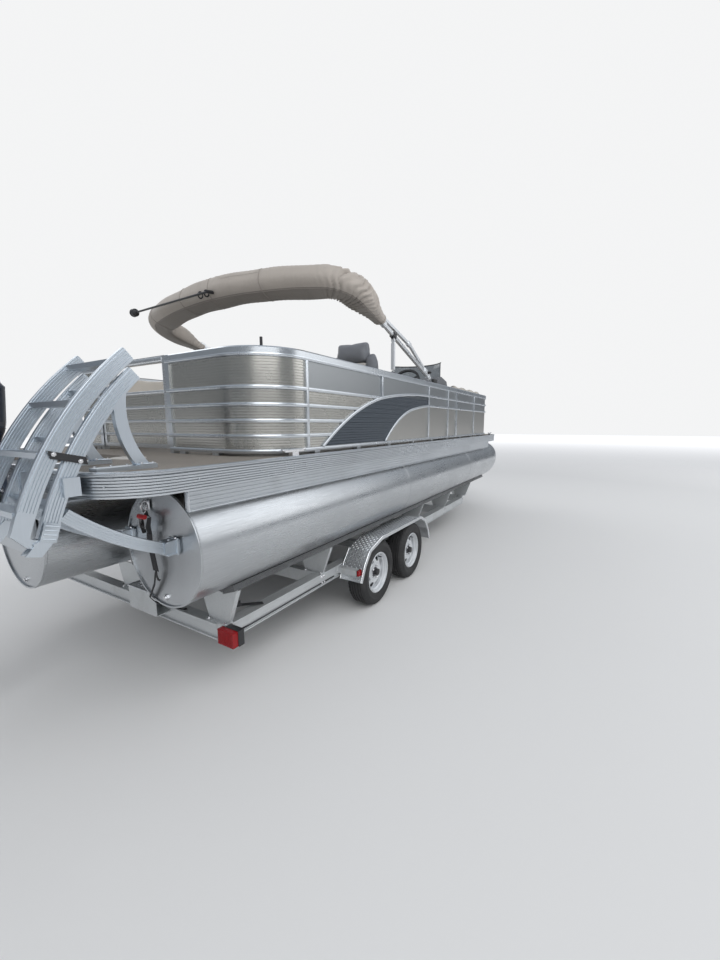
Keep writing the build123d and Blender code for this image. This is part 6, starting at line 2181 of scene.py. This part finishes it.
@dataclass
class Wheels:
    """Tyres with tread blocks, backing plates, lug nuts, hub caps and valves."""

    stations: Pair = (2280.0, 3026.0)
    y: float = 1180.0
    radius: float = 298.0
    width: float = 184.0
    rim: float = 186.0
    steps: int = 150

    def tyre(self, bench: Bench, x: float, side: int) -> Mesh:
        """A tyre with ribs, shoulder blocks and moulded rings on its walls."""
        w, top, rim = self.width / 2, self.radius, self.rim
        # offset from the middle, radius, how deep the gaps between the shoulder blocks go
        half = (
            (0.0, top - 7, 0), (0.05, top - 7, 0), (0.07, top - 0.6, 0), (0.27, top - 0.6, 0),
            (0.29, top - 8, 0), (0.34, top - 8, 0), (0.36, top - 1, 0), (0.52, top - 1.4, 0),
            (0.54, top - 9, 0), (0.58, top - 9, 0), (0.60, top - 2, 3), (0.70, top - 4.5, 6),
            (0.78, top - 9, 7), (0.86, top - 19, 6), (0.93, top - 32, 2), (0.955, top - 40, 0),
            (0.97, top - 43, 0), (0.985, top - 44, 0), (0.985, rim + 62, 0), (0.998, rim + 60, 0),
            (0.998, rim + 54, 0), (0.985, rim + 52, 0), (0.975, rim + 34, 0), (0.955, rim + 24, 0),
            (0.93, rim + 14, 0), (0.90, rim + 12, 0), (0.86, rim + 6, 0), (0.80, rim + 0.5, 0),
        )
        profile = [(-u, r, d) for u, r, d in reversed(half)] + [(u, r, d) for u, r, d in half[1:]]
        points = []
        for i in range(self.steps):
            a = 2 * math.pi * i / self.steps
            gap = i % 3 == 0
            for u, r, d in profile:
                r = r - (d if gap else 0)
                points.append(at(x + r * math.sin(a), side * self.y + u * w, top + r * math.cos(a)))
        return bench.shell(points, lattice(self.steps, len(profile), True), "tyre")

    def disc(self, bench: Bench, middle: Vector, out: Vector) -> list[Mesh]:
        """Barrel, hub and pressed disc with eight windows."""
        rim = mm(self.rim)
        w = mm(self.width / 2) * 0.80
        barrel = (
            (-w, rim - 0.0003), (-w, rim - 0.010), (-w + 0.004, rim - 0.012), (-w * 0.62, rim - 0.014),
            (-w * 0.5, rim - 0.030), (w * 0.5, rim - 0.030), (w * 0.62, rim - 0.020),
            (w * 0.86, rim - 0.017), (w - 0.003, rim - 0.010), (w, rim - 0.006), (w, rim - 0.0003),
        )
        hub = (
            (-0.020, 0.0195), (-0.020, 0.042), (0.038, 0.042), (0.040, 0.040), (0.041, 0.030),
            (0.050, 0.030), (0.051, 0.0005), (0.008, 0.0005), (0.008, 0.0195),
        )
        made = [bench.spun(barrel, middle, out, "wheel_paint", 96, closed=True)]
        made.append(bench.spun(hub, middle, out, "hub_dark", 40, closed=True))
        radii = (
            0.0418, 0.050, 0.066, 0.074, 0.082, 0.090, 0.100, 0.112, 0.124, 0.134, 0.141, 0.149, 0.1565
        )
        lifts = (0.034, 0.034, 0.034, 0.035, 0.039, 0.041, 0.040, 0.034, 0.028, 0.024, 0.022, 0.019, 0.016)
        marks = (-22.5, -17.0, -12.0, -9.2, -5.0, 0.0, 5.0, 9.2, 12.0, 17.0)
        angles = [math.radians(45 * k + m) for k in range(8) for m in marks]
        turn = out.to_track_quat("Z", "Y").to_matrix()
        tool = bmesh.new()
        grid = []
        for r, lift in zip(radii, lifts):
            row = []
            for i, a in enumerate(angles):
                bead = 0.0035 * max(0.0, 1 - abs(marks[i % 10]) / 9.2) if 0.095 < r < 0.145 else 0.0
                row.append(
                    tool.verts.new(middle + turn @ Vector((r * math.cos(a), r * math.sin(a), lift + bead)))
                )
            grid.append(row)
        for i in range(len(radii) - 1):
            for j in range(len(angles)):
                opening = 6 <= i <= 10 and (j % 10 < 3 or j % 10 >= 7)
                corner = i in (6, 10) and j % 10 in (2, 7)
                if not opening or corner:
                    k = (j + 1) % len(angles)
                    tool.faces.new((grid[i][j], grid[i][k], grid[i + 1][k], grid[i + 1][j]))
        bmesh.ops.recalc_face_normals(tool, faces=tool.faces)
        bmesh.ops.solidify(tool, geom=tool.faces[:], thickness=0.005)
        return [*made, bench.solid(tool, "wheel_paint")]

    def build(self, bench: Bench) -> None:
        """Dress the four wheels."""
        for axle, x in zip(("rear", "front"), self.stations):
            for name, side in (("right", -1), ("left", 1)):
                body = f"wheel_{axle}_{name}"
                bench.piece(
                    f"tyre_tread_{axle}_{name}", [self.tyre(bench, x, side)], body, [f"tyre_{axle}_{name}"],
                    sharp=40
                )
                out = Vector((0.0, side, 0.0))
                middle = at(x, side * self.y, self.radius)
                ring = ((-0.006, 0.044), (-0.006, 0.151), (-0.002, 0.151), (-0.002, 0.044))
                dark = [bench.spun(ring, middle, out, "hub_dark", 48, closed=True)]
                dome = ((0.050, 0.0315), (0.066, 0.0315), (0.070, 0.030), (0.0735, 0.022), (0.0745, 0.010))
                dark.append(bench.spun(dome, middle, out, "black_plastic", 28))
                bench.piece(
                    f"wheel_disc_{axle}_{name}", self.disc(bench, middle, out), body,
                    [f"rim_{axle}_{name}"], sharp=35
                )
                valve = ((0.0, 0.004), (0.028, 0.004), (0.034, 0.0048), (0.040, 0.0048))
                foot = middle + Vector((0.090, side * 0.016, 0.117))
                dark.append(bench.spun(valve, foot, out, "black_plastic", 10))
                bench.piece(f"hub_backing_{axle}_{name}", dark, body)
                places = []
                for i in range(5):
                    a = 2 * math.pi * i / 5 + 0.3
                    away = Vector((math.sin(a), 0, math.cos(a))) * 0.057
                    places.append((middle + out * 0.033 + away, out, 12.0 * i))
                nuts = Fastener.WHEEL_NUT.set_out(bench, places, finish="prop_polish")
                rim = mm(self.rim)
                bead = ((0.0735, rim - 0.004), (0.078, rim - 0.008), (0.0735, rim - 0.014))
                edge = bench.spun(bead, middle, out, "wheel_paint", 72, closed=True)
                bench.piece(f"lug_nuts_{axle}_{name}", [nuts, edge], body)


@dataclass
class TrailerDetails:
    """Rail flanges, fender tread, lamp housings, wiring, winch strap, coupler and bolts."""

    low: float = 345.0
    high: float = 445.0
    fender: tuple[Pair, ...] = (
        (1925, 324), (1990, 455), (2080, 560), (2300, 622), (3210, 622), (3340, 560), (3420, 455),
        (3472, 324),
    )
    bend: float = 60.0
    brackets: tuple[float, ...] = (745.0, 1700.0, 3650.0, 4700.0, 5750.0)
    tubes: tuple[float, ...] = (-962.0, 0.0, 962.0)

    def fender_path(self, out: float, pitch: float) -> list[tuple[Vector, Vector]]:
        """Points and outward directions along the fender's filleted line in side view."""
        bends = [Vector((x, 0.0, z)) for x, z in self.fender]
        line: list[Vector] = [bends[0]]
        for a, b, c in zip(bends, bends[1:], bends[2:]):
            u, v = (a - b).normalized(), (c - b).normalized()
            cut = self.bend * math.tan((math.pi - u.angle(v)) / 2)
            for i in range(7):
                t = i / 6
                line.append((1 - t) ** 2 * (b + u * cut) + 2 * t * (1 - t) * b + t * t * (b + v * cut))
        line.append(bends[-1])
        run = np.concatenate([[0.0], np.cumsum([(q - p).length for p, q in zip(line, line[1:])])])
        marks = np.linspace(0.0, run[-1], int(run[-1] / pitch) + 1)
        xs = np.interp(marks, run, [p.x for p in line])
        zs = np.interp(marks, run, [p.z for p in line])
        made = []
        for i in range(len(marks)):
            j, k = max(0, i - 1), min(len(marks) - 1, i + 1)
            heading = Vector((xs[k] - xs[j], 0.0, zs[k] - zs[j])).normalized()
            normal = Vector((-heading.z, 0.0, heading.x))
            made.append((Vector((xs[i], 0.0, zs[i])) + normal * out, normal))
        return made

    def fenders(self, bench: Bench) -> None:
        """Diamond lugs on the plates, rolled lips and rivets."""
        base = ((-13, 0), (-6, 3.6), (6, 3.6), (13, 0), (6, -3.6), (-6, -3.6))
        points = [Vector((u * k, v * k, h)) / 1000 for k, h in ((1.0, 0.0), (0.62, 1.9)) for u, v in base]
        walls = [(j, (j + 1) % 6, (j + 1) % 6 + 6, j + 6) for j in range(6)]
        for name, side in (("right", -1), ("left", 1)):
            places = []
            for i, (p, normal) in enumerate(self.fender_path(2.4, 24.0)[1:-1]):
                for j in range(9):
                    y = side * (1078 + 24 * j)
                    places.append((at(p.x, y, p.z), normal, 45.0 if (i + j) % 2 else -45.0))
            lug = bench.mesh(points, [*walls, tuple(range(6, 12))], "fender_lip")
            made = [bench.trees.copies(lug, places, "fender_lip", 1.0, 0.03, 11)]
            lip = [at(p.x, side * 1281, p.z) for p, _ in self.fender_path(13.0, 18.0)]
            inner = [at(p.x, side * 1067, p.z) for p, _ in self.fender_path(1.0, 18.0)]
            made.append(bench.trees.tube([lip], 0.0075, "fender_lip", steps=14))
            made.append(bench.trees.tube([inner], 0.004, "fender_lip", steps=10))
            bench.piece(f"fender_tread_{name}", made)

    def rails(self, bench: Bench) -> None:
        """Flanges that make channels of the rails and beams, their plates, bolts and holes."""
        made = []
        for side in (-1, 1):
            for z0, z1 in ((self.high - 9, self.high + 0.5), (self.low - 0.5, self.low + 9)):
                for y0, y1 in ((1049, 1059), (968, 991)):
                    near, far = between_sides(side, y0, y1)
                    made.append(bench.box(at(762, near, z0), at(5580, far, z1), "trailer_metal", 0.0015))
            for x0, x1 in ((1888, 1966), (3438, 3516)):
                near, far = between_sides(side, 1050, 1056)
                made.append(
                    bench.box(
                        at(x0, near, self.low + 12), at(x1, far, self.high - 12), "trailer_metal", 0.002
                    )
                )
        for z0, z1 in ((self.high - 8, self.high + 0.6), (self.low - 0.6, self.low + 8)):
            made.append(bench.box(at(699, -985, z0), at(716, 985, z1), "trailer_metal", 0.0015))
        step_rim = (
            (604, -524, 719, -520), (604, -215, 719, -211), (604, -524, 608, -211), (715, -524, 719, -211)
        )
        made += [
            bench.box(at(x0, y0, 562), at(x1, y1, 570), "edge_trim", 0.001) for x0, y0, x1, y1 in step_rim
        ]
        oval = [
            at(655 + 17 * math.sin(t), -290 + 13 * max(-1, min(1, 2 * math.cos(t))) + 17 * math.cos(t), 566)
            for t in np.linspace(0, 2 * math.pi, 32, endpoint=False)
        ]
        made.append(bench.trees.tube([oval], 0.0025, "edge_trim", closed=True, steps=8))
        bench.piece("rail_flanges", made)
        places = []
        for side in (-1, 1):
            for x in (1700, 3650, 4700, 5580):
                for dx, dz in ((-16, 22), (16, 22), (-16, 72), (16, 72)):
                    places.append((at(x + dx, side * 1050, self.low + dz), Vector((0, side, 0)), 17.0 * dx))
            for x in (1906, 1948, 3456, 3498):
                places.append((at(x, side * 1056, self.low + 50), Vector((0, side, 0)), 8.0))
        for y in self.tubes:
            for x in self.brackets:
                for dx, dy in ((-18, -74), (18, -74), (-18, 74), (18, 74)):
                    places.append((at(x + dx, y + dy, self.high + 6), Vector((0, 0, 1)), 31.0 * dy))
        bolts = Fastener.HEX_BOLT.set_out(bench, places, 0.9, spread=0.02, seed=3)
        bench.piece("trailer_bolts", [bolts])

    def bracket_gussets(self, bench: Bench) -> None:
        """Edge flanges that stiffen the bunk brackets, and angle feet under the bunks."""
        made = []
        for x in self.brackets:
            for y in self.tubes:
                for e in (-1, 1):
                    foot, head = at(x + 4, y + e * 84, self.high + 6), at(x + 4, y + e * 166, 668)
                    ridge = [foot, head, head + Vector((0.030, 0, 0)), foot + Vector((0.030, 0, 0))]
                    made.append(bench.plate(ridge, Vector((0, -e * 0.004, 0.0)), "trailer_metal", 0.0008))
        bench.piece("bracket_flanges", made)

    def lamps(self, bench: Bench) -> None:
        """Housings, lens ribs and wires of the tail lamps, and plates behind the side markers."""
        made: list[Mesh] = []
        for side in (-1, 1):
            y0, y1 = between_sides(side, 1026, 1164)
            made.append(bench.box(at(716, y0, 346), at(757, y1, 352), "black_plastic", 0.0015))
            made.append(bench.box(at(712, y0, 440.4), at(757, y1, 443.6), "black_plastic", 0.0012))
            for near, far in ((1026, 1030.6), (1159.4, 1164)):
                w0, w1 = between_sides(side, near, far)
                made.append(bench.box(at(712, w0, 351.5), at(757, w1, 441), "black_plastic", 0.0012))
            made.append(bench.box(at(671, y0 + 1, 439.5), at(712.5, y1 - 1, 442.4), "lens_red", 0.0012))
            for y in range(1042, 1154, 14):
                low, high = at(671.5, side * y - 1, 356), at(673.5, side * (y + 1) + 1, 437)
                made.append(bench.box(low, high, "lens_red", 0.0008))
            wires = []
            for k in range(3):
                wires.append(
                    [
                        at(757, side * (1064 + 14 * k), 395), at(790, side * (1062 + 10 * k), 388 - 6 * k),
                        at(830, side * (1050 + 4 * k), 376 - 3 * k), at(900, side * 1056, 372 - 2 * k),
                        at(1850, side * 1055, 372 - 3 * k)
                    ]
                )
            made.append(bench.trees.tube(wires, 0.0024, "black_plastic", steps=7))
            for x in (1927, 3477):
                m0, m1 = between_sides(side, 1246, 1252)
                made.append(bench.box(at(x - 27, m0, 384), at(x + 27, m1, 436), "black_plastic", 0.002))
        bench.piece("lamp_fittings", made)

    def front(self, bench: Bench) -> None:
        """Winch gear and strap, bow eye, jack collar, coupler latch, chain and plug."""
        top = self.high
        made = [
            Ribbon.belt(
                bench, [at(7958, 0, 1222), at(7760, 0, 1190), at(7496, 0, 1152)], Vector((0, 0.045, 0))
            )
        ]
        eye = [at(7496 + 24 * math.cos(t), 0, 1146 + 24 * math.sin(t)) for t in np.linspace(0.2, 6.0, 22)]
        made.append(bench.trees.tube([eye], 0.0055, "bright_steel"))
        spool = ((-0.050, 0.040), (-0.046, 0.052), (0.046, 0.052), (0.050, 0.040))
        made.append(bench.spun(spool, at(7990, 0, 1240), (0, 1, 0), "strap_black", 32))
        gear = [(0.0, 0.030), (0.0, 0.056), (0.006, 0.056), (0.006, 0.030)]
        made.append(bench.spun(gear, at(7990, 62, 1240), (0, 1, 0), "zinc", 36, closed=True))
        crank = ((0.0, 0.015), (0.004, 0.0165), (0.080, 0.0165), (0.086, 0.012))
        made.append(bench.spun(crank, at(7990, 104, 1090), (0, 1, 0), "black_plastic", 20))
        bench.piece("winch_and_bow_eye", made)
        collar = ((0.0, 0.0315), (0.022, 0.0315), (0.026, 0.029))
        grip = ((0.0, 0.0125), (0.006, 0.014), (0.060, 0.014), (0.066, 0.009))
        bench.piece("jack_grip", [
            bench.spun(collar, at(8330, 130, 740), (0, 0, 1), "black_plastic", 28),
            bench.spun(grip, at(8330, 262, 836), (0, 0, 1), "black_plastic", 18),
        ], "tongue_jack")
        latch = [at(8795, 0, 508), at(8850, 0, 520), at(8905, 0, 517), at(8935, 0, 500)]
        fit = [bench.trees.tube([latch], 0.007, "bright_steel")]
        chain = []
        for side in (-1, 1):
            for k in range(14):
                t = k / 13
                spot = at(
                    8740 + 150 * t, side * (46 + 10 * math.sin(3.1 * t)),
                    372 - 90 * math.sin(math.pi * t) * 0.9
                )
                slope = Vector((1.0, 0.0, -0.9 * math.cos(math.pi * t))).normalized()
                other = Vector((0, 1, 0)) if k % 2 else slope.cross(Vector((0, 1, 0))).normalized()
                turn = np.linspace(0, 2 * math.pi, 13)
                chain.append(
                    [spot + slope * 0.0125 * math.cos(a) + other * 0.0075 * math.sin(a) for a in turn]
                )
        fit.append(bench.trees.tube(chain, 0.0026, "zinc", steps=6))
        cable = [at(8000 + 110 * k, 44, top - 20 - 12 * math.sin(k * 1.3)) for k in range(8)]
        fit.append(
            bench.trees.tube(
                [cable, [cable[-1], at(8850, 54, 500), at(8820, 50, 540)]], 0.005, "black_plastic", steps=8
            )
        )
        bench.piece("coupler_fittings", fit)

    def build(self, bench: Bench) -> None:
        """Add all the trailer's details."""
        self.fenders(bench)
        self.rails(bench)
        self.bracket_gussets(bench)
        self.lamps(bench)
        self.front(bench)


class Ribbon:
    """Taut straps and the ratchets that tighten them."""

    @staticmethod
    def belt(bench: Bench, path: Sequence[Vector], across: Vector, thick: float = 0.0024) -> Mesh:
        """A taut strap along a path, its full width given as a vector."""
        points: list[Vector] = []
        for i, p in enumerate(path):
            heading = (path[min(i + 1, len(path) - 1)] - path[max(i - 1, 0)]).normalized()
            out = heading.cross(across).normalized() * thick / 2
            points += [
                p - across / 2 - out, p + across / 2 - out, p + across / 2 + out, p - across / 2 + out
            ]
        faces = [(0, 1, 2, 3), *lattice(len(path), 4), tuple(range(len(points) - 4, len(points)))]
        return bench.shell(points, faces, "strap_black")

    @staticmethod
    def ratchet(bench: Bench, top: Vector, low: Vector, across: Vector, out: Vector) -> list[Mesh]:
        """Ratchet buckle between two points: cheeks, spool, spring bar and red handle."""
        made = []
        along = low - top
        side = across.normalized()
        for e in (-1, 1):
            foot = top + across * 0.5 * e
            marks = ((0, 0), (0.5, 0.006), (1, 0), (1, 0.022), (0.5, 0.034), (0, 0.020))
            cheek = [foot + along * u + out * v for u, v in marks]
            made.append(bench.plate(cheek, side * 0.003 * e, "black_plastic", 0.0008))
            marks = ((0.55, 0.020), (0.62, 0.036), (-0.10, 0.040), (-0.12, 0.024))
            lever = [foot + along * u + out * v for u, v in marks]
            made.append(bench.plate(lever, side * 0.0025 * e, "zinc", 0.0006))
        reach = side * (across.length / 2)
        spool = top + along * 0.55 + out * 0.018
        made.append(
            bench.spun(((0.0, 0.012), (across.length, 0.012)), spool - reach, side, "strap_black", 18)
        )
        grip = top - along * 0.06 + out * 0.034
        end = across.length + 0.012
        handle = ((0.0, 0.010), (0.003, 0.0125), (end - 0.003, 0.0125), (end, 0.010))
        made.append(bench.spun(handle, grip - reach - side * 0.006, side, "handle_red", 18))
        return made


@dataclass
class TieDowns:
    """Stern straps from the hull caps to the rear beam, and the short strap by each tail lamp."""

    cap_x: float = 410.0

    def build(self, bench: Bench) -> None:
        """Draw both sides' straps."""
        made: list[Mesh] = []
        across = Vector((0, 0.048, 0))
        turn = np.linspace(0, 2 * math.pi, 22)
        for side in (-1, 1):
            ring = [
                at(self.cap_x - 18, side * (857 + 20 * math.cos(t)), 1208 + 24 * math.sin(t)) for t in turn
            ]
            made.append(bench.trees.tube([ring], 0.005, "bright_steel"))
            pad = [at(404, side * y, z) for y, z in corners(830, 1200, 884, 1250)]
            made.append(bench.plate(pad, Vector((-0.004, 0, 0)), "bright_steel", 0.001))
            top, low = at(388, side * 900, 1170), at(386, side * 901, 1080)
            made += Ribbon.ratchet(bench, top, low, across, Vector((-1, 0, 0)))
            made.append(
                Ribbon.belt(
                    bench, [at(394, side * 862, 1196), at(388, side * 884, 1176), top],
                    Vector((0, 0.040, 0))
                )
            )
            path = [low, at(384, side * 903, 1016), at(384, side * 922, 950), at(385, side * 936, 880)]
            made.append(Ribbon.belt(bench, path, across))
            hook = [
                at(385, side * 936, 880), at(386, side * 938, 850), at(392, side * 938, 830),
                at(402, side * 936, 822)
            ]
            made.append(bench.trees.tube([hook], 0.005, "black_plastic"))
            tail = [
                at(385, side * 930, 868), at(390, side * 905, 800), at(395, side * 842, 706),
                at(440, side * 812, 655), at(560, side * 740, 560), at(705, side * 672, 462),
                at(738, side * 655, 449)
            ]
            made.append(Ribbon.belt(bench, tail, Vector((0.008, side * -0.024, 0.0)).normalized() * 0.026))
            near, far = at(846, side * 918, 474), at(936, side * 962, 470)
            made.append(
                Ribbon.belt(
                    bench, [near, far, at(1052, side * 1027, 452)], Vector((0.018, -side * 0.032, 0))
                )
            )
            made += Ribbon.ratchet(
                bench, near, near.lerp(far, 0.9), Vector((0.020, -side * 0.036, 0)), Vector((0, 0, 1))
            )
        bench.piece("tie_down_straps", made)


@dataclass
class Outboard:
    """Cowl as a smooth loft, with seam band, intakes and handle, and the leg's small pieces."""

    rows: tuple[tuple[float, float, float, float], ...] = (
        (-165.0, 1443.0, 404.0, 246.0), (-165.0, 1452.0, 416.0, 258.0), (-165.0, 1530.0, 486.0, 314.0),
        (-165.0, 1612.0, 548.0, 370.0), (-164.0, 1660.0, 562.0, 380.0), (-163.0, 1760.0, 574.0, 388.0),
        (-160.0, 1850.0, 580.0, 392.0), (-166.0, 1905.0, 532.0, 360.0), (-170.0, 1955.0, 480.0, 326.0),
        (-173.0, 1995.0, 416.0, 280.0), (-175.0, 2017.0, 330.0, 216.0), (-175.0, 2027.0, 200.0, 120.0),
    )
    power: float = 3.4
    ring: int = 72

    def outline(self, row: tuple[float, float, float, float], grow: float = 0.0) -> list[Vector]:
        """One rounded section of the cowl."""
        x, z, length, width = row
        points = []
        for i in range(self.ring):
            a = 2 * math.pi * i / self.ring
            c, s = math.cos(a), math.sin(a)
            u = math.copysign(abs(c) ** (2 / self.power), c) * (length / 2 + grow)
            v = math.copysign(abs(s) ** (2 / self.power), s) * (width / 2 + grow)
            points.append(at(x + u, v, z))
        return points

    def between_rows(self, z: float) -> tuple[float, float, float, float]:
        """Section at a height."""
        stations, heights, lengths, widths = zip(*self.rows)
        x, length, width = (float(np.interp(z, heights, row)) for row in (stations, lengths, widths))
        return x, z, length, width

    def shell(self, bench: Bench, heights: Sequence[float], finish: str, grow: float) -> Mesh:
        """Closed loft through the sections at some heights."""
        points: list[Vector] = []
        for z in heights:
            points += self.outline(self.between_rows(z), grow)
        n = self.ring
        low, high = tuple(range(n - 1, -1, -1)), tuple(range(len(points) - n, len(points)))
        return bench.shell(points, [low, *lattice(len(heights), n), high], finish)

    def build(self, bench: Bench) -> None:
        """Redraw the cowl and add the details."""
        heights = sorted({*[r[1] for r in self.rows], *np.linspace(1460, 2010, 24).tolist()})
        made = [self.shell(bench, heights, "motor_paint", 0.0)]
        made.append(self.shell(bench, (1640, 1643, 1657, 1660), "motor_grey", 0.6))
        seam = self.outline(self.between_rows(1626.0), -0.4)
        made.append(bench.trees.tube([seam], 0.0025, "black_plastic", closed=True, steps=8))
        for side in (-1, 1):
            vents = []
            for k in range(5):
                x, z, _, width = self.between_rows(1790 + 15 * k)
                y = side * (width / 2 - 1.5)
                vents.append([at(x - 170, y * 0.985, z), at(x - 60, y, z), at(x + 40, y, z)])
            made.append(bench.trees.tube(vents, 0.0042, "black_plastic", steps=8, flat=0.6))
        x, _, length, _ = self.between_rows(1760.0)
        grip = [at(x - length / 2 + 6, y, 1752) for y in (-70, -40, 0, 40, 70)]
        made.append(bench.trees.tube([grip], 0.009, "black_plastic", steps=12, flat=1.6))
        bench.piece("cowl_shell", made, "motor_head", ["motor_cowl"], sharp=38)
        leg: list[Mesh] = []
        for side in (-1, 1):
            slots = [
                [at(-250 + 9 * k, side * 30.5, 640), at(-250 + 9 * k + 2, side * 30.5, 664)]
                for k in range(6)
            ]
            edge = Vector((0.002, 0.0008, 0))
            leg += [bench.box(a - edge, b + edge, "black_plastic", 0.0007) for a, b in slots]
        leg.append(bench.box(at(-300, -22, 690), at(-258, 22, 704), "zinc", 0.004))
        places = [
            (at(x, side * 63, 1416), Vector((0, side, 0)), 10.0) for side in (-1, 1)
            for x in (-210, -150, -90, -40)
        ]
        leg.append(Fastener.HEX_BOLT.set_out(bench, places, 0.8))
        bench.piece("leg_fittings", leg, "motor_head")
        nut = ((0.110, 0.031), (0.1195, 0.031), (0.1205, 0.026), (0.1220, 0.024), (0.1228, 0.010))
        bench.piece(
            "propeller_nut", [bench.spun(nut, at(-332, 0, 510), (-1, 0, 0), "prop_polish", 24)], "propeller"
        )
        places = [
            (at(52, side * 106, z), Vector((-1, 0, 0)), 4.0) for side in (-1, 1) for z in (1160, 1230, 1290)
        ]
        fixed = [Fastener.HEX_BOLT.set_out(bench, places)]
        screw = ((0.0, 0.006), (0.03, 0.006), (0.031, 0.016), (0.036, 0.016))
        for side in (-1, 1):
            fixed.append(bench.spun(screw, at(136, side * 106, 1300), (1, 0, 0), "bright_steel", 20))
        bench.piece("transom_bolts", fixed)


def main() -> None:
    """Load the frame, build every sub-assembly and note the sizes."""
    logging.basicConfig(level=logging.INFO, format="%(message)s")
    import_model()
    bench = Bench()
    Studio().build()
    NodeDressing().build(bench)
    for part in (
        Fence(), Ladder(), HullTubes(), DeckFittings(), Cockpit(), SunTop(), Wheels(), TrailerDetails(),
        TieDowns(), Outboard()
    ):
        LOG.info("building %s", type(part).__name__)
        part.build(bench)


if __name__ == "__main__":
    main()
